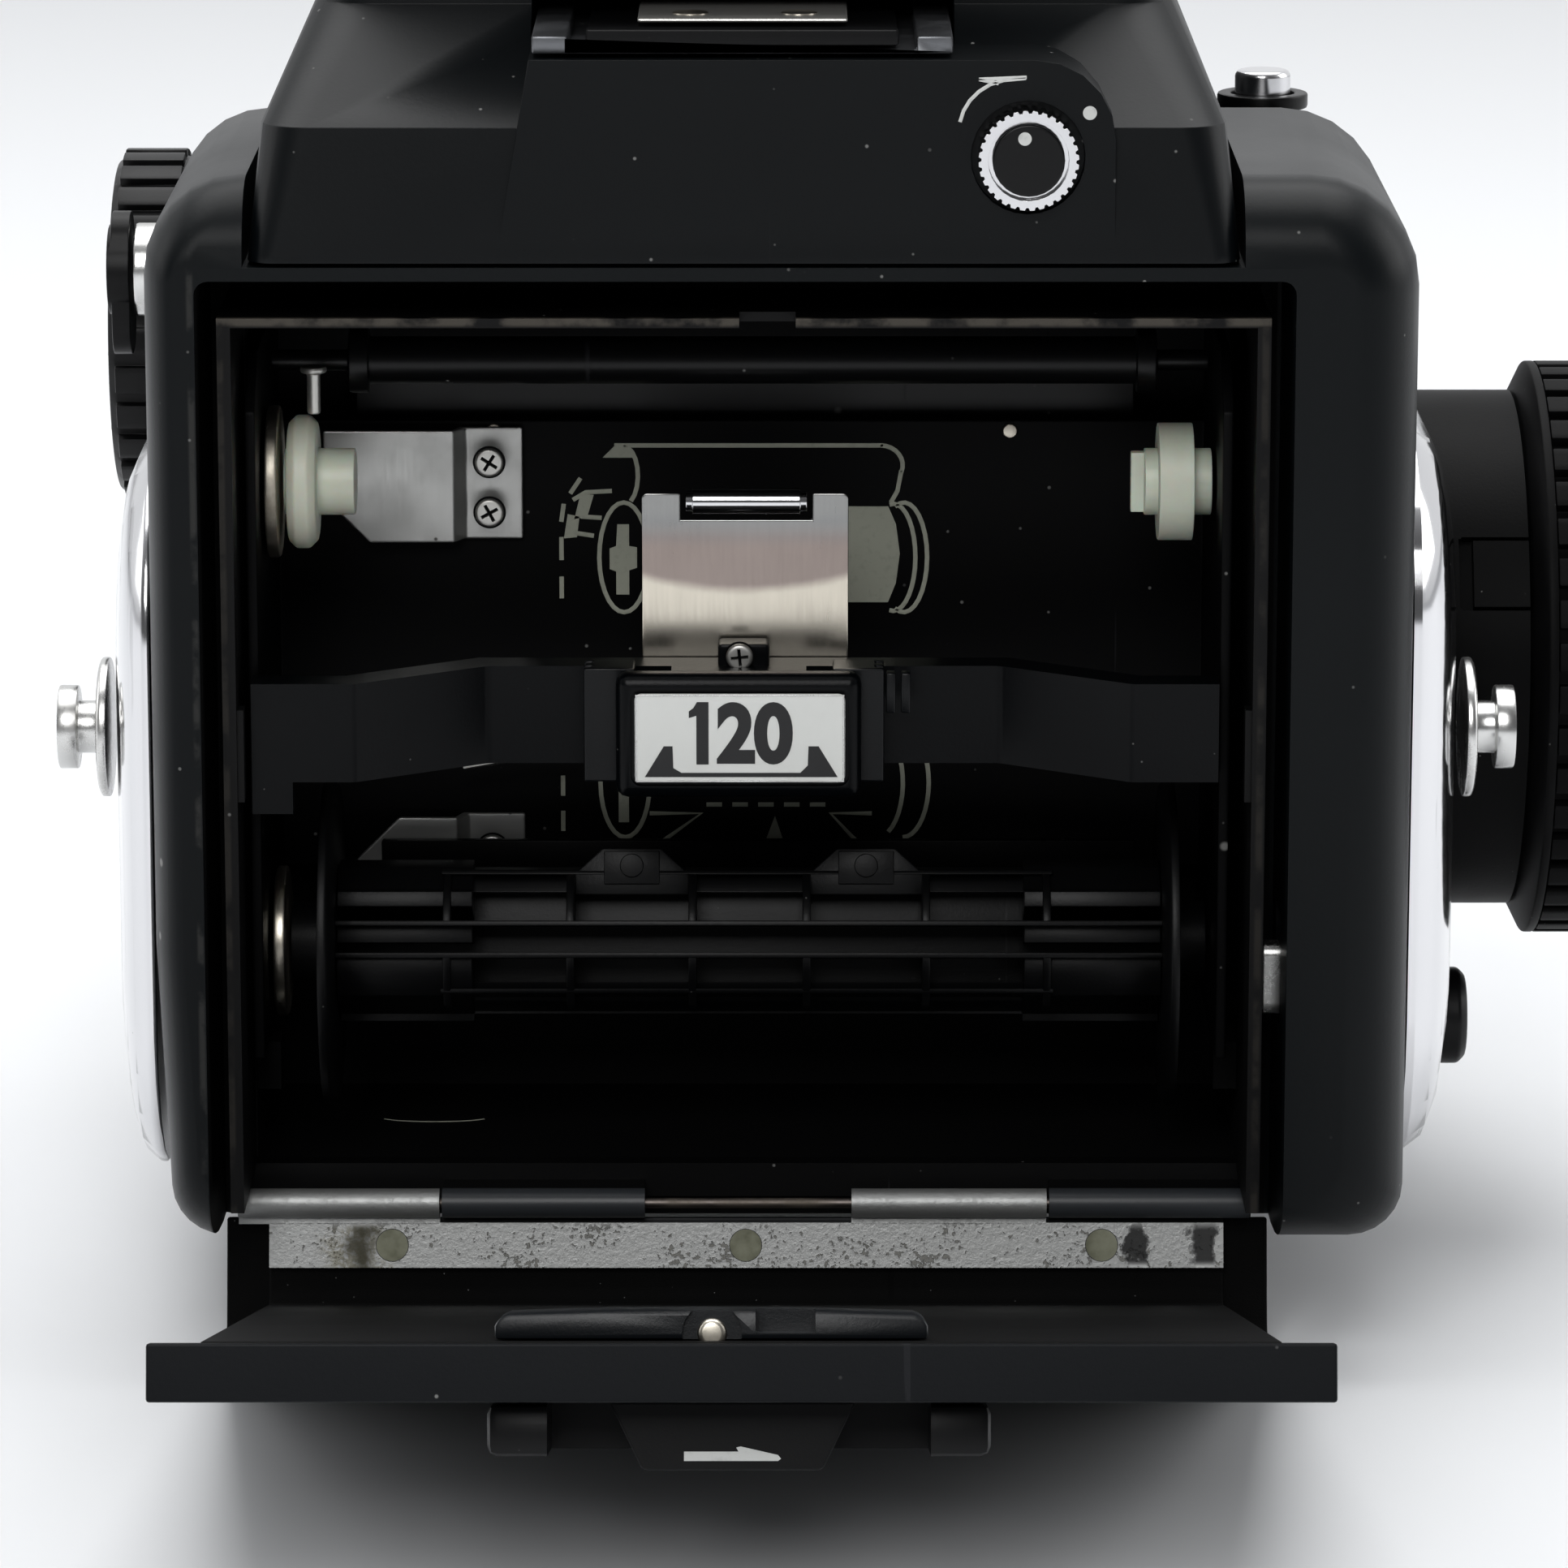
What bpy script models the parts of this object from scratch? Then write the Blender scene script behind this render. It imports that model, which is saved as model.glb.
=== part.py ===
"""Medium-format single-lens reflex camera with its back door open and its film insert in place.

Frame: metres, +Z up. The origin lies on the base plane, under the point where the optical axis
meets the film plane. +Y points out through the lens, +X to the winding side.
"""

from math import asin, atan2, ceil, cos, pi, radians, sin, sqrt, tan

import bmesh
import bpy
from mathutils import Matrix, Vector

GAP = 0.0003                     # gap kept between separate pieces
OVERSHOOT = 0.0010               # how far a cut runs past the face it opens

# Casing
CASE_LEFT = 0.0435               # optical axis to the left side
CASE_RIGHT = 0.0492              # optical axis to the winding side
CASE_BACK = 0.0380               # film plane to the rear faces
CASE_FRONT = 0.0600              # film plane to the front wall
CASE_HEIGHT = 0.0820
CASE_FRONT_HEIGHT = 0.0738
SHOULDER_START = 0.0030          # where the shoulders begin to fall towards the front
LEFT_SHOULDER = 0.0070
RIGHT_SHOULDER = 0.0080
REAR_SHOULDER = 0.0060           # rounding of the rear face's top, right and left edges
REAR_ROUND_RIGHT = 0.0050
REAR_ROUND_LEFT = 0.0025
FRONT_ROUND = 0.0030
LOWER_CORNER = 0.0040
CORNER_LEAST = 0.0008            # smallest corner of an inset section
SIDE_TAPER = 0.0010
TAPER_HEIGHT = 0.0250
HEEL_LENGTH = 0.0195             # rounded heel of the two pillars
HEEL_RISE = 0.0055
AXIS_HEIGHT = 0.0400

# Door recess between the pillars, and the film chamber
RECESS_LEFT = 0.0395
RECESS_RIGHT = 0.0399
RECESS_TOP = 0.0751
RECESS_DEPTH = 0.0165
RECESS_CORNER = 0.0010
CHAMBER_LEFT = 0.0370
CHAMBER_RIGHT = 0.0374
CHAMBER_FLOOR = 0.0050
CHAMBER_TOP = 0.0713
REST_HEIGHT = 0.0037             # small rests low on the chamber walls
REST_LOW = 0.0103
REST_DEPTH = 0.0018
REST_LENGTH = 0.0050

# Film gate and mirror box
GATE_WIDTH = 0.0560
GATE_HEIGHT = 0.0415
GATE_WALL = 0.0030
MIRROR_BOX_HALF = 0.0302
MIRROR_BOX_FLOOR = 0.0090
MIRROR_BOX_TOP = 0.0720
MIRROR_BOX_FRONT = 0.0570
MOUNT_BORE = 0.0270
CURTAIN_LAP = 0.0015
CURTAIN_THICKNESS = 0.0006

# Reflex mirror
MIRROR_HINGE_Y = 0.0085
MIRROR_HINGE_Z = 0.0685
MIRROR_LENGTH = 0.0440
MIRROR_WIDTH = 0.0540
MIRROR_THICKNESS = 0.0012
MIRROR_TILT = radians(45)
MIRROR_BACKING = 0.0010
MIRROR_BEARING = 0.0011
MIRROR_SET_BACK = 0.0016

# Focusing screen
SCREEN_OPENING = 0.0560
SCREEN_OPENING_NEAR = 0.0110
SCREEN_OPENING_FAR = 0.0500
SCREEN_LEDGE = 0.0018
SCREEN_SEAT = 0.0740
SCREEN_THICKNESS = 0.0015

# Base plate and tripod bush
BASE_PROUD = 0.0005
BASE_THICKNESS = 0.0015
BASE_HALF = 0.0345
BASE_NEAR = 0.0170
BASE_FAR = 0.0520
BASE_CORNER = 0.0050
BUSH_Y = 0.0220
BUSH_RADIUS = 0.0070
BUSH_BORE = 0.0032
BUSH_DEPTH = 0.0040

# Light-trap frame
RAIL_THICKNESS = 0.0010
RAIL_LEFT = 0.0381
RAIL_RIGHT = 0.0383
RAIL_BACK = 0.0355
RAIL_FOOT = 0.0047
LIP_THICKNESS = 0.0007
LIP_NOTCH = 0.0041
LIP_NOTCH_CENTRE = 0.0018
LIP_NOTCH_DEPTH = 0.0030
BAR_HEIGHT = 0.0021
BAR_DEPTH = 0.0018
TAB_LOW = 0.0360
TAB_HIGH = 0.0429
TAB_DEPTH = 0.0020
TAB_REACH = 0.0005

# Door hinge
HINGE_Y = -0.0265
HINGE_Z = 0.0029
KNUCKLE_RADIUS = 0.0011
PIN_RADIUS = 0.0004
PIN_CLEARANCE = 0.0003
DOOR_ANGLE = radians(75.2)
KNUCKLE_CUTS = (-0.0382, -0.0229, -0.0074, 0.0080, 0.0229, 0.0382)
LEAF_THICKNESS = 0.0004
LEAF_WIDTH = 0.0034
LEAF_SET_BACK = 0.0015
STRAP_THICKNESS = 0.0006

# Back door, described closed
DOOR_SKIN = 0.0015
DOOR_TOP_GAP = 0.0005
DOOR_FOOT = 0.0003
DOOR_FOOT_LENGTH = 0.0104
DOOR_FOOT_THICKNESS = 0.0014
DOOR_PAN_THICKNESS = 0.0039
DOOR_LIP = 0.0014
DOOR_TRAP = 0.0023
DOOR_PAN_LEFT = 0.0359
DOOR_PAN_RIGHT = 0.0362
DOOR_OUTER_CORNER = 0.0025
DOOR_INNER_CORNER = 0.0012
DOOR_TRAP_FLOOR = 0.0006

# Door latch
LATCH_LOW = 0.0575
LATCH_HIGH = 0.0705
LATCH_HALF = 0.0168
LATCH_HEIGHT = 0.0035
LATCH_RIM = 0.0028
LATCH_RIM_SIDE = 0.0040
KEY_ROOT_LEFT = 0.0087
KEY_ROOT_RIGHT = 0.0078
KEY_SLOPE = 0.0022
KEY_HEIGHT = 0.0046
CATCH_LEFT = 0.0163
CATCH_RIGHT = 0.0126
CATCH_LOW = 0.0620
CATCH_HIGH = 0.0702
CATCH_THICKNESS = 0.0020
CATCH_POCKET_LEFT = 0.0060
CATCH_POCKET_RIGHT = 0.0040
CATCH_POCKET_DEPTH = 0.0014
CATCH_RIM = 0.0016
CATCH_PIN_X = -0.0018
CATCH_PIN_RADIUS = 0.0011

# Film insert
INSERT_LEFT = 0.0366
INSERT_RIGHT = 0.0360
INSERT_PLATE = 0.0008
INSERT_LOW = 0.0150
INSERT_HIGH = 0.0680
INSERT_BACK = 0.0297
INSERT_FRONT = 0.0028
CORE_BACK = 0.0055
CORE_TOP = 0.0591
CORE_BOTTOM = 0.0240
PLATE_NOSE = 0.0050              # slanted upper rear corner of the side plates
PRESSURE_HALF = 0.0300
PRESSURE_HEIGHT = 0.0460
PRESSURE_THICKNESS = 0.0012

# Bridge and its handle block
BRIDGE_BACK = 0.0330
BRIDGE_DEPTH = 0.0030
BRIDGE_LOW = 0.0370
BRIDGE_HIGH = 0.0444
BRIDGE_DROP = 0.0064
BRIDGE_END_LEFT = 0.0362
BRIDGE_END_RIGHT = 0.0350
BRIDGE_KNEE = 0.0286
BRIDGE_ELBOW = 0.0190
HOOK_WIDTH = 0.0030
HOOK_LOW = 0.0346
HANDLE_LEFT = 0.0094
HANDLE_RIGHT = 0.0087
HANDLE_LOW = 0.0357
HANDLE_HIGH = 0.0451
HANDLE_DEPTH = 0.0024
HANDLE_CORNER = 0.0009
HANDLE_CORE = 0.0050
LABEL_LEFT = 0.0080
LABEL_RIGHT = 0.0075
LABEL_LOW = 0.0370
LABEL_HIGH = 0.0437
LABEL_CORNER = 0.0005
LABEL_THICKNESS = 0.0003
LABEL_POCKET = 0.0004
PINCH_LEFT = 0.0118
PINCH_RIGHT = 0.0104
PINCH_LENGTH = 0.0038
PINCH_DEPTH = 0.0033
PINCH_LOW = 0.0364
PINCH_HIGH = 0.0450
PINCH_RIB = 0.0006
PINCH_RIB_PLACES = (0.28, 0.72)  # shares of the key's depth

# Spring leaf with its roller
LEAF_LEFT = 0.0076
LEAF_RIGHT = 0.0078
LEAF_BOTTOM = 0.0390
LEAF_TOP = 0.0568
LEAF_SHEET = 0.0003
LEAF_ROLLER_RADIUS = 0.0010
LEAF_ROLLER_LEFT = 0.0043
LEAF_ROLLER_RIGHT = 0.0047
LEAF_ROLLER_CLEARANCE = 0.0004
CLIP_HALF = 0.0019
CLIP_HEIGHT = 0.0016

# Guide roller
ROLLER_Y = -0.0160
ROLLER_Z = 0.0656
ROLLER_RADIUS = 0.0018
ROLLER_LEFT = 0.0281
ROLLER_RIGHT = 0.0294
ROLLER_SHAFT = 0.0008
COLLAR_RADIUS = 0.0025
COLLAR_WIDTH = 0.0015

# Spool pivots
SUPPLY_Y = -0.0200
SUPPLY_Z = 0.0571
DISC_RADIUS = 0.0057
DISC_THICKNESS = 0.0009
WHEEL_RADIUS = 0.0050
WHEEL_WIDTH = 0.0022
WHEEL_CHAMFER = 0.0006
HUB_RADIUS = 0.0025
HUB_LENGTH = 0.0028
FLANGE_KEY_RADIUS = 0.0044
FLANGE_KEY_WIDTH = 0.0026
FLANGE_KEY_BOSS = 0.0014
NOSE_LENGTH = 0.0010
POST_RADIUS = 0.0005
POST_HEAD = 0.0010
POST_HEIGHT = 0.0036
POST_X = -0.0320
SPRING_FAR = 0.0322
SPRING_STEP = 0.0222
SPRING_NEAR = 0.0170
SPRING_SHEET = 0.0005
SPRING_RISE = 0.0016
SPRING_LOW = 0.0500
SPRING_HIGH = 0.0587
SPRING_CORNER = 0.0045

# Take-up spool
SPOOL_Y = -0.0184
SPOOL_Z = 0.0213
SPOOL_LEFT = 0.0318
SPOOL_RIGHT = 0.0325
FLANGE_RADIUS = 0.0125
FLANGE_THICKNESS = 0.0010
SPOOL_CORE = 0.0063
WINDOW_COUNT = 5
WINDOW_PITCH = 0.0082
WINDOW_WIDTH = 0.0074
WINDOW_DEPTH = 0.0022
WINDOW_HEIGHT = 0.0032
SPOOL_SLOT = 0.0022
SLOT_DEPTH = 0.0042
TOOTH_HEIGHT = 0.0014
TOOTH_LENGTH = 0.0080
TOOTH_DEPTH = 0.0020
PIVOT_RADIUS = 0.0040

# Prism finder
FINDER_LEFT = 0.0357
FINDER_RIGHT = 0.0359
FINDER_BOTTOM = 0.0764
FINDER_FRONT = 0.0470
FINDER_BEND = 0.0861
FINDER_BEND_IN = 0.0010
FINDER_BEND_BACK = 0.0010
HOOD_FOOT = 0.0935
HOOD_BACK = 0.0250
HOOD_IN = 0.0043
HOOD_TOP = 0.1240
HOOD_TOP_FRONT = 0.0120
HOOD_TOP_HALF = 0.0190
HOOD_NOSE = 0.0880
HOOD_CORNER = 0.0050
FINDER_CORNERS = (0.0020, 0.0045)  # plan corners of the foot and of the hood
PANEL_LEFT = 0.0176
PANEL_LEAN = 0.0023
PANEL_RIGHT = 0.0268
PANEL_BOTTOM = 0.0770
PANEL_TOP = 0.0911
PANEL_CORNER = 0.0058
CHANNEL_HALF = 0.0154
CHANNEL_ROOF = 0.0945
CHANNEL_END = -0.0080
CHANNEL_RAIL = 0.0026
CHANNEL_RAIL_HEIGHT = 0.0013
CHANNEL_WEB = 0.0003
SHOE_HALF = 0.0112
SHOE_HEIGHT = 0.0006
SHOE_LIP = 0.0012
SHEET_HALF = 0.0076
SHEET_THICKNESS = 0.0003
SHEET_START = -0.0310
EYEPIECE_Z = 0.1085
EYEPIECE_HALF = 0.0140
EYEPIECE_HEIGHT = 0.0170
EYEPIECE_DEPTH = 0.0050
EYEPIECE_RIM = 0.0030
EYEPIECE_CORNER = 0.0025
EYEGLASS_CORNER = 0.0015
EYEPIECE_POCKET = 0.0030
EYEGLASS_THICKNESS = 0.0014

# Finder lock knob
LOCK_X = 0.0205
LOCK_Z = 0.0841
LOCK_RECESS = 0.0041
LOCK_RECESS_DEPTH = 0.0012
LOCK_RADIUS = 0.0036
LOCK_HEIGHT = 0.0026
LOCK_TEETH = 32
LOCK_TOOTH = 0.0002
LOCK_CUP = 0.0029
LOCK_CUP_DEPTH = 0.0008
LOCK_CAP = 0.0026
LOCK_CAP_HEIGHT = 0.0006

# Side plates and strap lugs
PLATE_NEAR = -0.0300
PLATE_FAR = 0.0460
PLATE_CORNER = 0.0130
PLATE_RIM = 0.0006
LEFT_PLATE_LOW = 0.0040
LEFT_PLATE_HIGH = 0.0590
LEFT_PLATE_CROWN = 0.0040
RIGHT_PLATE_LOW = 0.0050
RIGHT_PLATE_HIGH = 0.0605
RIGHT_PLATE_CROWN = 0.0047
LUG_Y = -0.0150
LUG_Z = 0.0372
LUG_BASE_RADIUS = 0.0053
LUG_BASE = 0.0008
LUG_NECK_RADIUS = 0.0020
LUG_NECK = 0.0016
LUG_HEAD_RADIUS = 0.0032
LUG_HEAD = 0.0015

# Left dial and its neighbour
DIAL_Y = 0.0170
DIAL_Z = 0.0627
DIAL_RADIUS = 0.0140
DIAL_HEIGHT = 0.0057
DIAL_RIBS = 28
DIAL_RIB = 0.0007
DIAL_DISH = 0.0110
DIAL_DISH_DEPTH = 0.0006
LEVER_Y = -0.0130
LEVER_Z = 0.0720
LEVER_COLLAR = 0.0035
LEVER_COLLAR_WIDTH = 0.0019
LEVER_RADIUS = 0.0034
LEVER_WIDTH = 0.0017
LEVER_ARM_UP = 0.0044
LEVER_ARM_DOWN = 0.0064
LEVER_ARM_HALF = 0.0027
LEVER_ARM_WIDTH = 0.0014

# Winding side
WIND_Y = 0.0130
WIND_Z = 0.0375
WIND_NECK = 0.0204
WIND_NECK_LENGTH = 0.0109
WIND_RADIUS = 0.0227
WIND_LENGTH = 0.0100
WIND_RIBS = 43
WIND_RIB = 0.0008
WIND_DISH = 0.0170
WIND_DISH_DEPTH = 0.0012
WIND_TAB_LENGTH = 0.0052
WIND_TAB_HEIGHT = 0.0056
WIND_TAB_RISE = 0.0008
WIND_TAB_Z = 0.0131
STOP_Y = 0.0020
STOP_Z = 0.0101
STOP_RADIUS = 0.0038
STOP_LENGTH = 0.0072
STOP_TRAVEL = 0.0020

# Release button
RELEASE_X = 0.0410
RELEASE_Y = 0.0220
RELEASE_RADIUS = 0.0022
RELEASE_TOP = 0.0824
RELEASE_LENGTH = 0.0042
RELEASE_TRAVEL = 0.0015
RELEASE_COLLAR = 0.0036
RELEASE_COLLAR_LOW = 0.0794
RELEASE_COLLAR_HEIGHT = 0.0012

# Sprung lever beside the right rail
FEELER_Y = -0.0290
FEELER_Z = 0.0195
FEELER_LENGTH = 0.0045
FEELER_RADIUS = 0.0011
FEELER_WIDTH = 0.0008
FEELER_POCKET = 0.0009

# Lens
MOUNT_RADIUS = 0.0340
MOUNT_THICKNESS = 0.0030
BARREL_RADIUS = 0.0300
BARREL_FLANGE = 0.0080
TUBE_RADIUS = 0.0255
TUBE_WALL = 0.0020
APERTURE_RADIUS = 0.0312
APERTURE_WIDTH = 0.0065
APERTURE_RIBS = 20
FOCUS_RADIUS = 0.0335
FOCUS_WIDTH = 0.0200
FOCUS_RIBS = 32
GRIP_RIB = 0.0007
FRONT_WIDTH = 0.0100
FRONT_RADIUS = 0.0325
FRONT_BORE = 0.0210
FRONT_CONE = 0.0270
GLASS_CROWN = 0.0025
GLASS_EDGE = 0.0020
REAR_SEAT_BORE = 0.0190

# Places that follow from the sizes above
RECESS_FACE = -CASE_BACK + RECESS_DEPTH
SEAT_LEVEL = FINDER_BOTTOM - GAP
DOOR_HIGH = RECESS_TOP - DOOR_TOP_GAP
DOOR_LEFT = RECESS_LEFT - GAP
DOOR_RIGHT = RECESS_RIGHT - GAP
PAN_FACE = -CASE_BACK + DOOR_PAN_THICKNESS
FOOT_TOP = DOOR_FOOT + DOOR_FOOT_THICKNESS
FRAME_FRONT = RECESS_FACE - GAP
BRIDGE_FACE = -BRIDGE_BACK + BRIDGE_DEPTH + BRIDGE_DROP
DISC_FACE = -INSERT_LEFT + INSERT_PLATE + GAP
SPOOL_CENTRE = (SPOOL_RIGHT - SPOOL_LEFT) / 2
LEFT_SIDE = -CASE_LEFT - GAP
RIGHT_SIDE = CASE_RIGHT + GAP
MOUNT_FACE = CASE_FRONT + GAP
BARREL_BACK = MOUNT_FACE + MOUNT_THICKNESS + GAP


# --- modelling helpers ---------------------------------------------------------------------

def clear_scene():
    """Remove whatever the file already holds."""
    for item in list(bpy.data.objects):
        bpy.data.objects.remove(item, do_unlink=True)


def paint(name, colour, roughness, metallic=0.0):
    """One Principled material, made once and shared by name."""
    found = bpy.data.materials.get(name)
    if found:
        return found
    made = bpy.data.materials.new(name)
    made.use_nodes = True
    shader = made.node_tree.nodes["Principled BSDF"]
    shader.inputs["Base Color"].default_value = (*colour, 1.0)
    shader.inputs["Roughness"].default_value = roughness
    shader.inputs["Metallic"].default_value = metallic
    made.diffuse_color = (*colour, 1.0)
    return made


def black_enamel():
    return paint("black_enamel", (0.020, 0.020, 0.022), 0.42)


def black_plastic():
    return paint("black_plastic", (0.014, 0.014, 0.016), 0.50)


def black_rubber():
    return paint("black_rubber", (0.010, 0.010, 0.011), 0.80)


def chrome():
    return paint("chrome", (0.78, 0.78, 0.80), 0.12, 1.0)


def bright_steel():
    return paint("bright_steel", (0.62, 0.61, 0.58), 0.28, 1.0)


def satin_alloy():
    return paint("satin_alloy", (0.55, 0.55, 0.56), 0.38, 1.0)


def white_plastic():
    return paint("white_plastic", (0.66, 0.68, 0.60), 0.45)


def clear_glass():
    return paint("clear_glass", (0.05, 0.06, 0.08), 0.05)


def rounded(corners, step=radians(18)):
    """Outline through (u, v, radius) corners, each rounded by an arc of its radius."""
    outline = []
    for index, (u, v, radius) in enumerate(corners):
        corner = Vector((u, v))
        if radius <= 0:
            outline.append(corner)
            continue
        before = (Vector(corners[index - 1][:2]) - corner).normalized()
        after = (Vector(corners[(index + 1) % len(corners)][:2]) - corner).normalized()
        half = before.angle(after) / 2
        centre = corner + (before + after).normalized() * radius / sin(half)
        start = corner + before * radius / tan(half) - centre
        end = corner + after * radius / tan(half) - centre
        first = atan2(start.y, start.x)
        sweep = (atan2(end.y, end.x) - first + pi) % (2 * pi) - pi
        pieces = max(2, ceil(round(abs(sweep) / step, 3)))
        for piece in range(pieces + 1):
            turn = first + sweep * piece / pieces
            outline.append(centre + radius * Vector((cos(turn), sin(turn))))
    return outline


def rectangle(low, high, radius=0.0):
    """Rectangle between two (u, v) corners with rounded corners."""
    return rounded([(low[0], low[1], radius), (high[0], low[1], radius),
                    (high[0], high[1], radius), (low[0], high[1], radius)])


def circle(radius, u=0.0, v=0.0, steps=32):
    return [Vector((u + radius * cos(2 * pi * k / steps), v + radius * sin(2 * pi * k / steps)))
            for k in range(steps)]


def ribbed(radius, depth, count, u=0.0, v=0.0):
    """Round outline with flat-topped ribs, as on a grip."""
    outline = []
    for rib in range(count):
        for share, reach in ((0.00, -depth), (0.14, 0.0), (0.62, 0.0), (0.76, -depth)):
            turn = 2 * pi * (rib + share) / count
            outline.append(Vector((u + (radius + reach) * cos(turn),
                                   v + (radius + reach) * sin(turn))))
    return outline


def prism(outline, axis, low, high):
    """Extrude an outline of the two other coordinates along an axis, from low to high."""
    along = "XYZ".index(axis)
    across = [index for index in range(3) if index != along]
    shape = bmesh.new()
    ring = []
    for point in outline:
        place = [low, low, low]
        place[across[0]] = point[0]
        place[across[1]] = point[1]
        ring.append(shape.verts.new(place))
    face = shape.faces.new(ring)
    raised = bmesh.ops.extrude_face_region(shape, geom=[face])["geom"]
    lift = Vector((0.0, 0.0, 0.0))
    lift[along] = high - low
    bmesh.ops.translate(shape, vec=lift,
                        verts=[item for item in raised if isinstance(item, bmesh.types.BMVert)])
    bmesh.ops.recalc_face_normals(shape, faces=shape.faces)
    return shape


def box(low, high):
    """Box between two corners."""
    return prism(rectangle(low[:2], high[:2]), "Z", low[2], high[2])


def lathe(profile, axis, centre, steps=32):
    """Turn a closed (radius, along) profile about an axis through a centre."""
    along = "XYZ".index(axis)
    out = (along + 1) % 3
    shape = bmesh.new()
    ring = []
    for radius, reach in profile:
        place = list(centre)
        place[along] = reach
        place[out] += radius
        ring.append(shape.verts.new(place))
    edges = []
    for k, start in enumerate(ring):
        after = (k + 1) % len(ring)
        if profile[k][0] > 0 or profile[after][0] > 0:
            edges.append(shape.edges.new((start, ring[after])))
    spindle = Vector((0.0, 0.0, 0.0))
    spindle[along] = 1.0
    bmesh.ops.spin(shape, geom=ring + edges, cent=centre, axis=spindle, angle=2 * pi,
                   steps=steps, use_merge=True)
    bmesh.ops.remove_doubles(shape, verts=shape.verts, dist=1e-6)
    bmesh.ops.dissolve_degenerate(shape, edges=shape.edges, dist=1e-7)
    bmesh.ops.recalc_face_normals(shape, faces=shape.faces)
    return shape


def crowned(outline, centre, base, rim, crown, side):
    """Plate on an X face: upright rim, then a crown that flattens towards the middle."""
    shape = bmesh.new()
    levels = [(1.0, 0.0), (1.0, rim)]
    for share in (0.97, 0.90, 0.78, 0.60, 0.35):
        levels.append((share, rim + (crown - rim) * sqrt(1 - share ** 4)))
    rings = []
    for share, height in levels:
        rings.append([shape.verts.new((base + side * height,
                                       centre[0] + (point[0] - centre[0]) * share,
                                       centre[1] + (point[1] - centre[1]) * share))
                      for point in outline])
    for lower, upper in zip(rings, rings[1:]):
        for k in range(len(lower)):
            after = (k + 1) % len(lower)
            shape.faces.new((lower[k], lower[after], upper[after], upper[k]))
    shape.faces.new(rings[0])
    shape.faces.new(rings[-1])
    bmesh.ops.recalc_face_normals(shape, faces=shape.faces)
    return shape


def lofted(sections, axis):
    """Solid through (reach, outline) sections along an axis, all with as many points."""
    along = "XYZ".index(axis)
    across = [index for index in range(3) if index != along]
    shape = bmesh.new()
    rings = []
    for reach, outline in sections:
        ring = []
        for point in outline:
            place = [reach, reach, reach]
            place[across[0]] = point[0]
            place[across[1]] = point[1]
            ring.append(shape.verts.new(place))
        rings.append(ring)
    for near, far in zip(rings, rings[1:]):
        for k in range(len(near)):
            after = (k + 1) % len(near)
            shape.faces.new((near[k], near[after], far[after], far[k]))
    shape.faces.new(rings[0])
    shape.faces.new(rings[-1])
    bmesh.ops.recalc_face_normals(shape, faces=shape.faces)
    return shape


def merged(*shapes):
    """Several separate solids in one mesh."""
    whole = shapes[0]
    for shape in shapes[1:]:
        spare = bpy.data.meshes.new("spare")
        shape.to_mesh(spare)
        shape.free()
        whole.from_mesh(spare)
        bpy.data.meshes.remove(spare)
    return whole


def softened(shape, width, segments=2):
    """Round every edge of a solid that is sharper than 30 degrees."""
    sharp = [edge for edge in shape.edges if edge.calc_face_angle(0.0) > radians(30)]
    bmesh.ops.bevel(shape, geom=sharp, offset=width, offset_type="OFFSET", segments=segments,
                    profile=0.5, affect="EDGES", clamp_overlap=True)
    return shape


def add(name, shape, material, pivot=(0.0, 0.0, 0.0), parent=None):
    """Make an object whose origin is its pivot; parent is an empty and its own pivot."""
    mesh = bpy.data.meshes.new(name)
    bmesh.ops.translate(shape, vec=-Vector(pivot), verts=shape.verts)
    shape.to_mesh(mesh)
    shape.free()
    mesh.shade_smooth()
    mesh.set_sharp_from_angle(angle=radians(30))
    mesh.materials.append(material)
    item = bpy.data.objects.new(name, mesh)
    bpy.context.collection.objects.link(item)
    item.location = pivot
    if parent:
        item.parent = parent[0]
        item.location = Vector(pivot) - parent[1]
    return item


def shape_with(target, name, shape, operation="DIFFERENCE"):
    """Cut a shape out of a part, or join it on, with the shape kept as a hidden guide."""
    guide = add(f"{target.name}_{name}", shape, target.data.materials[0])
    if target.parent:
        guide.parent = target.parent
        guide.location = -Vector(target["parent_pivot"])
    guide.hide_render = True
    guide.display_type = "WIRE"
    step = target.modifiers.new(name, "BOOLEAN")
    step.operation = operation
    step.solver = "EXACT"
    step.object = guide
    return target


def cut(target, name, shape):
    return shape_with(target, name, shape)


def join(target, name, shape):
    return shape_with(target, name, shape, "UNION")


# --- casing --------------------------------------------------------------------------------

def rounding(distance, length, inset):
    """Inset of an elliptical edge rounding at a distance from the end it runs into."""
    if distance >= length:
        return 0.0
    return inset * (1 - sqrt(1 - (1 - distance / length) ** 2))


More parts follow.
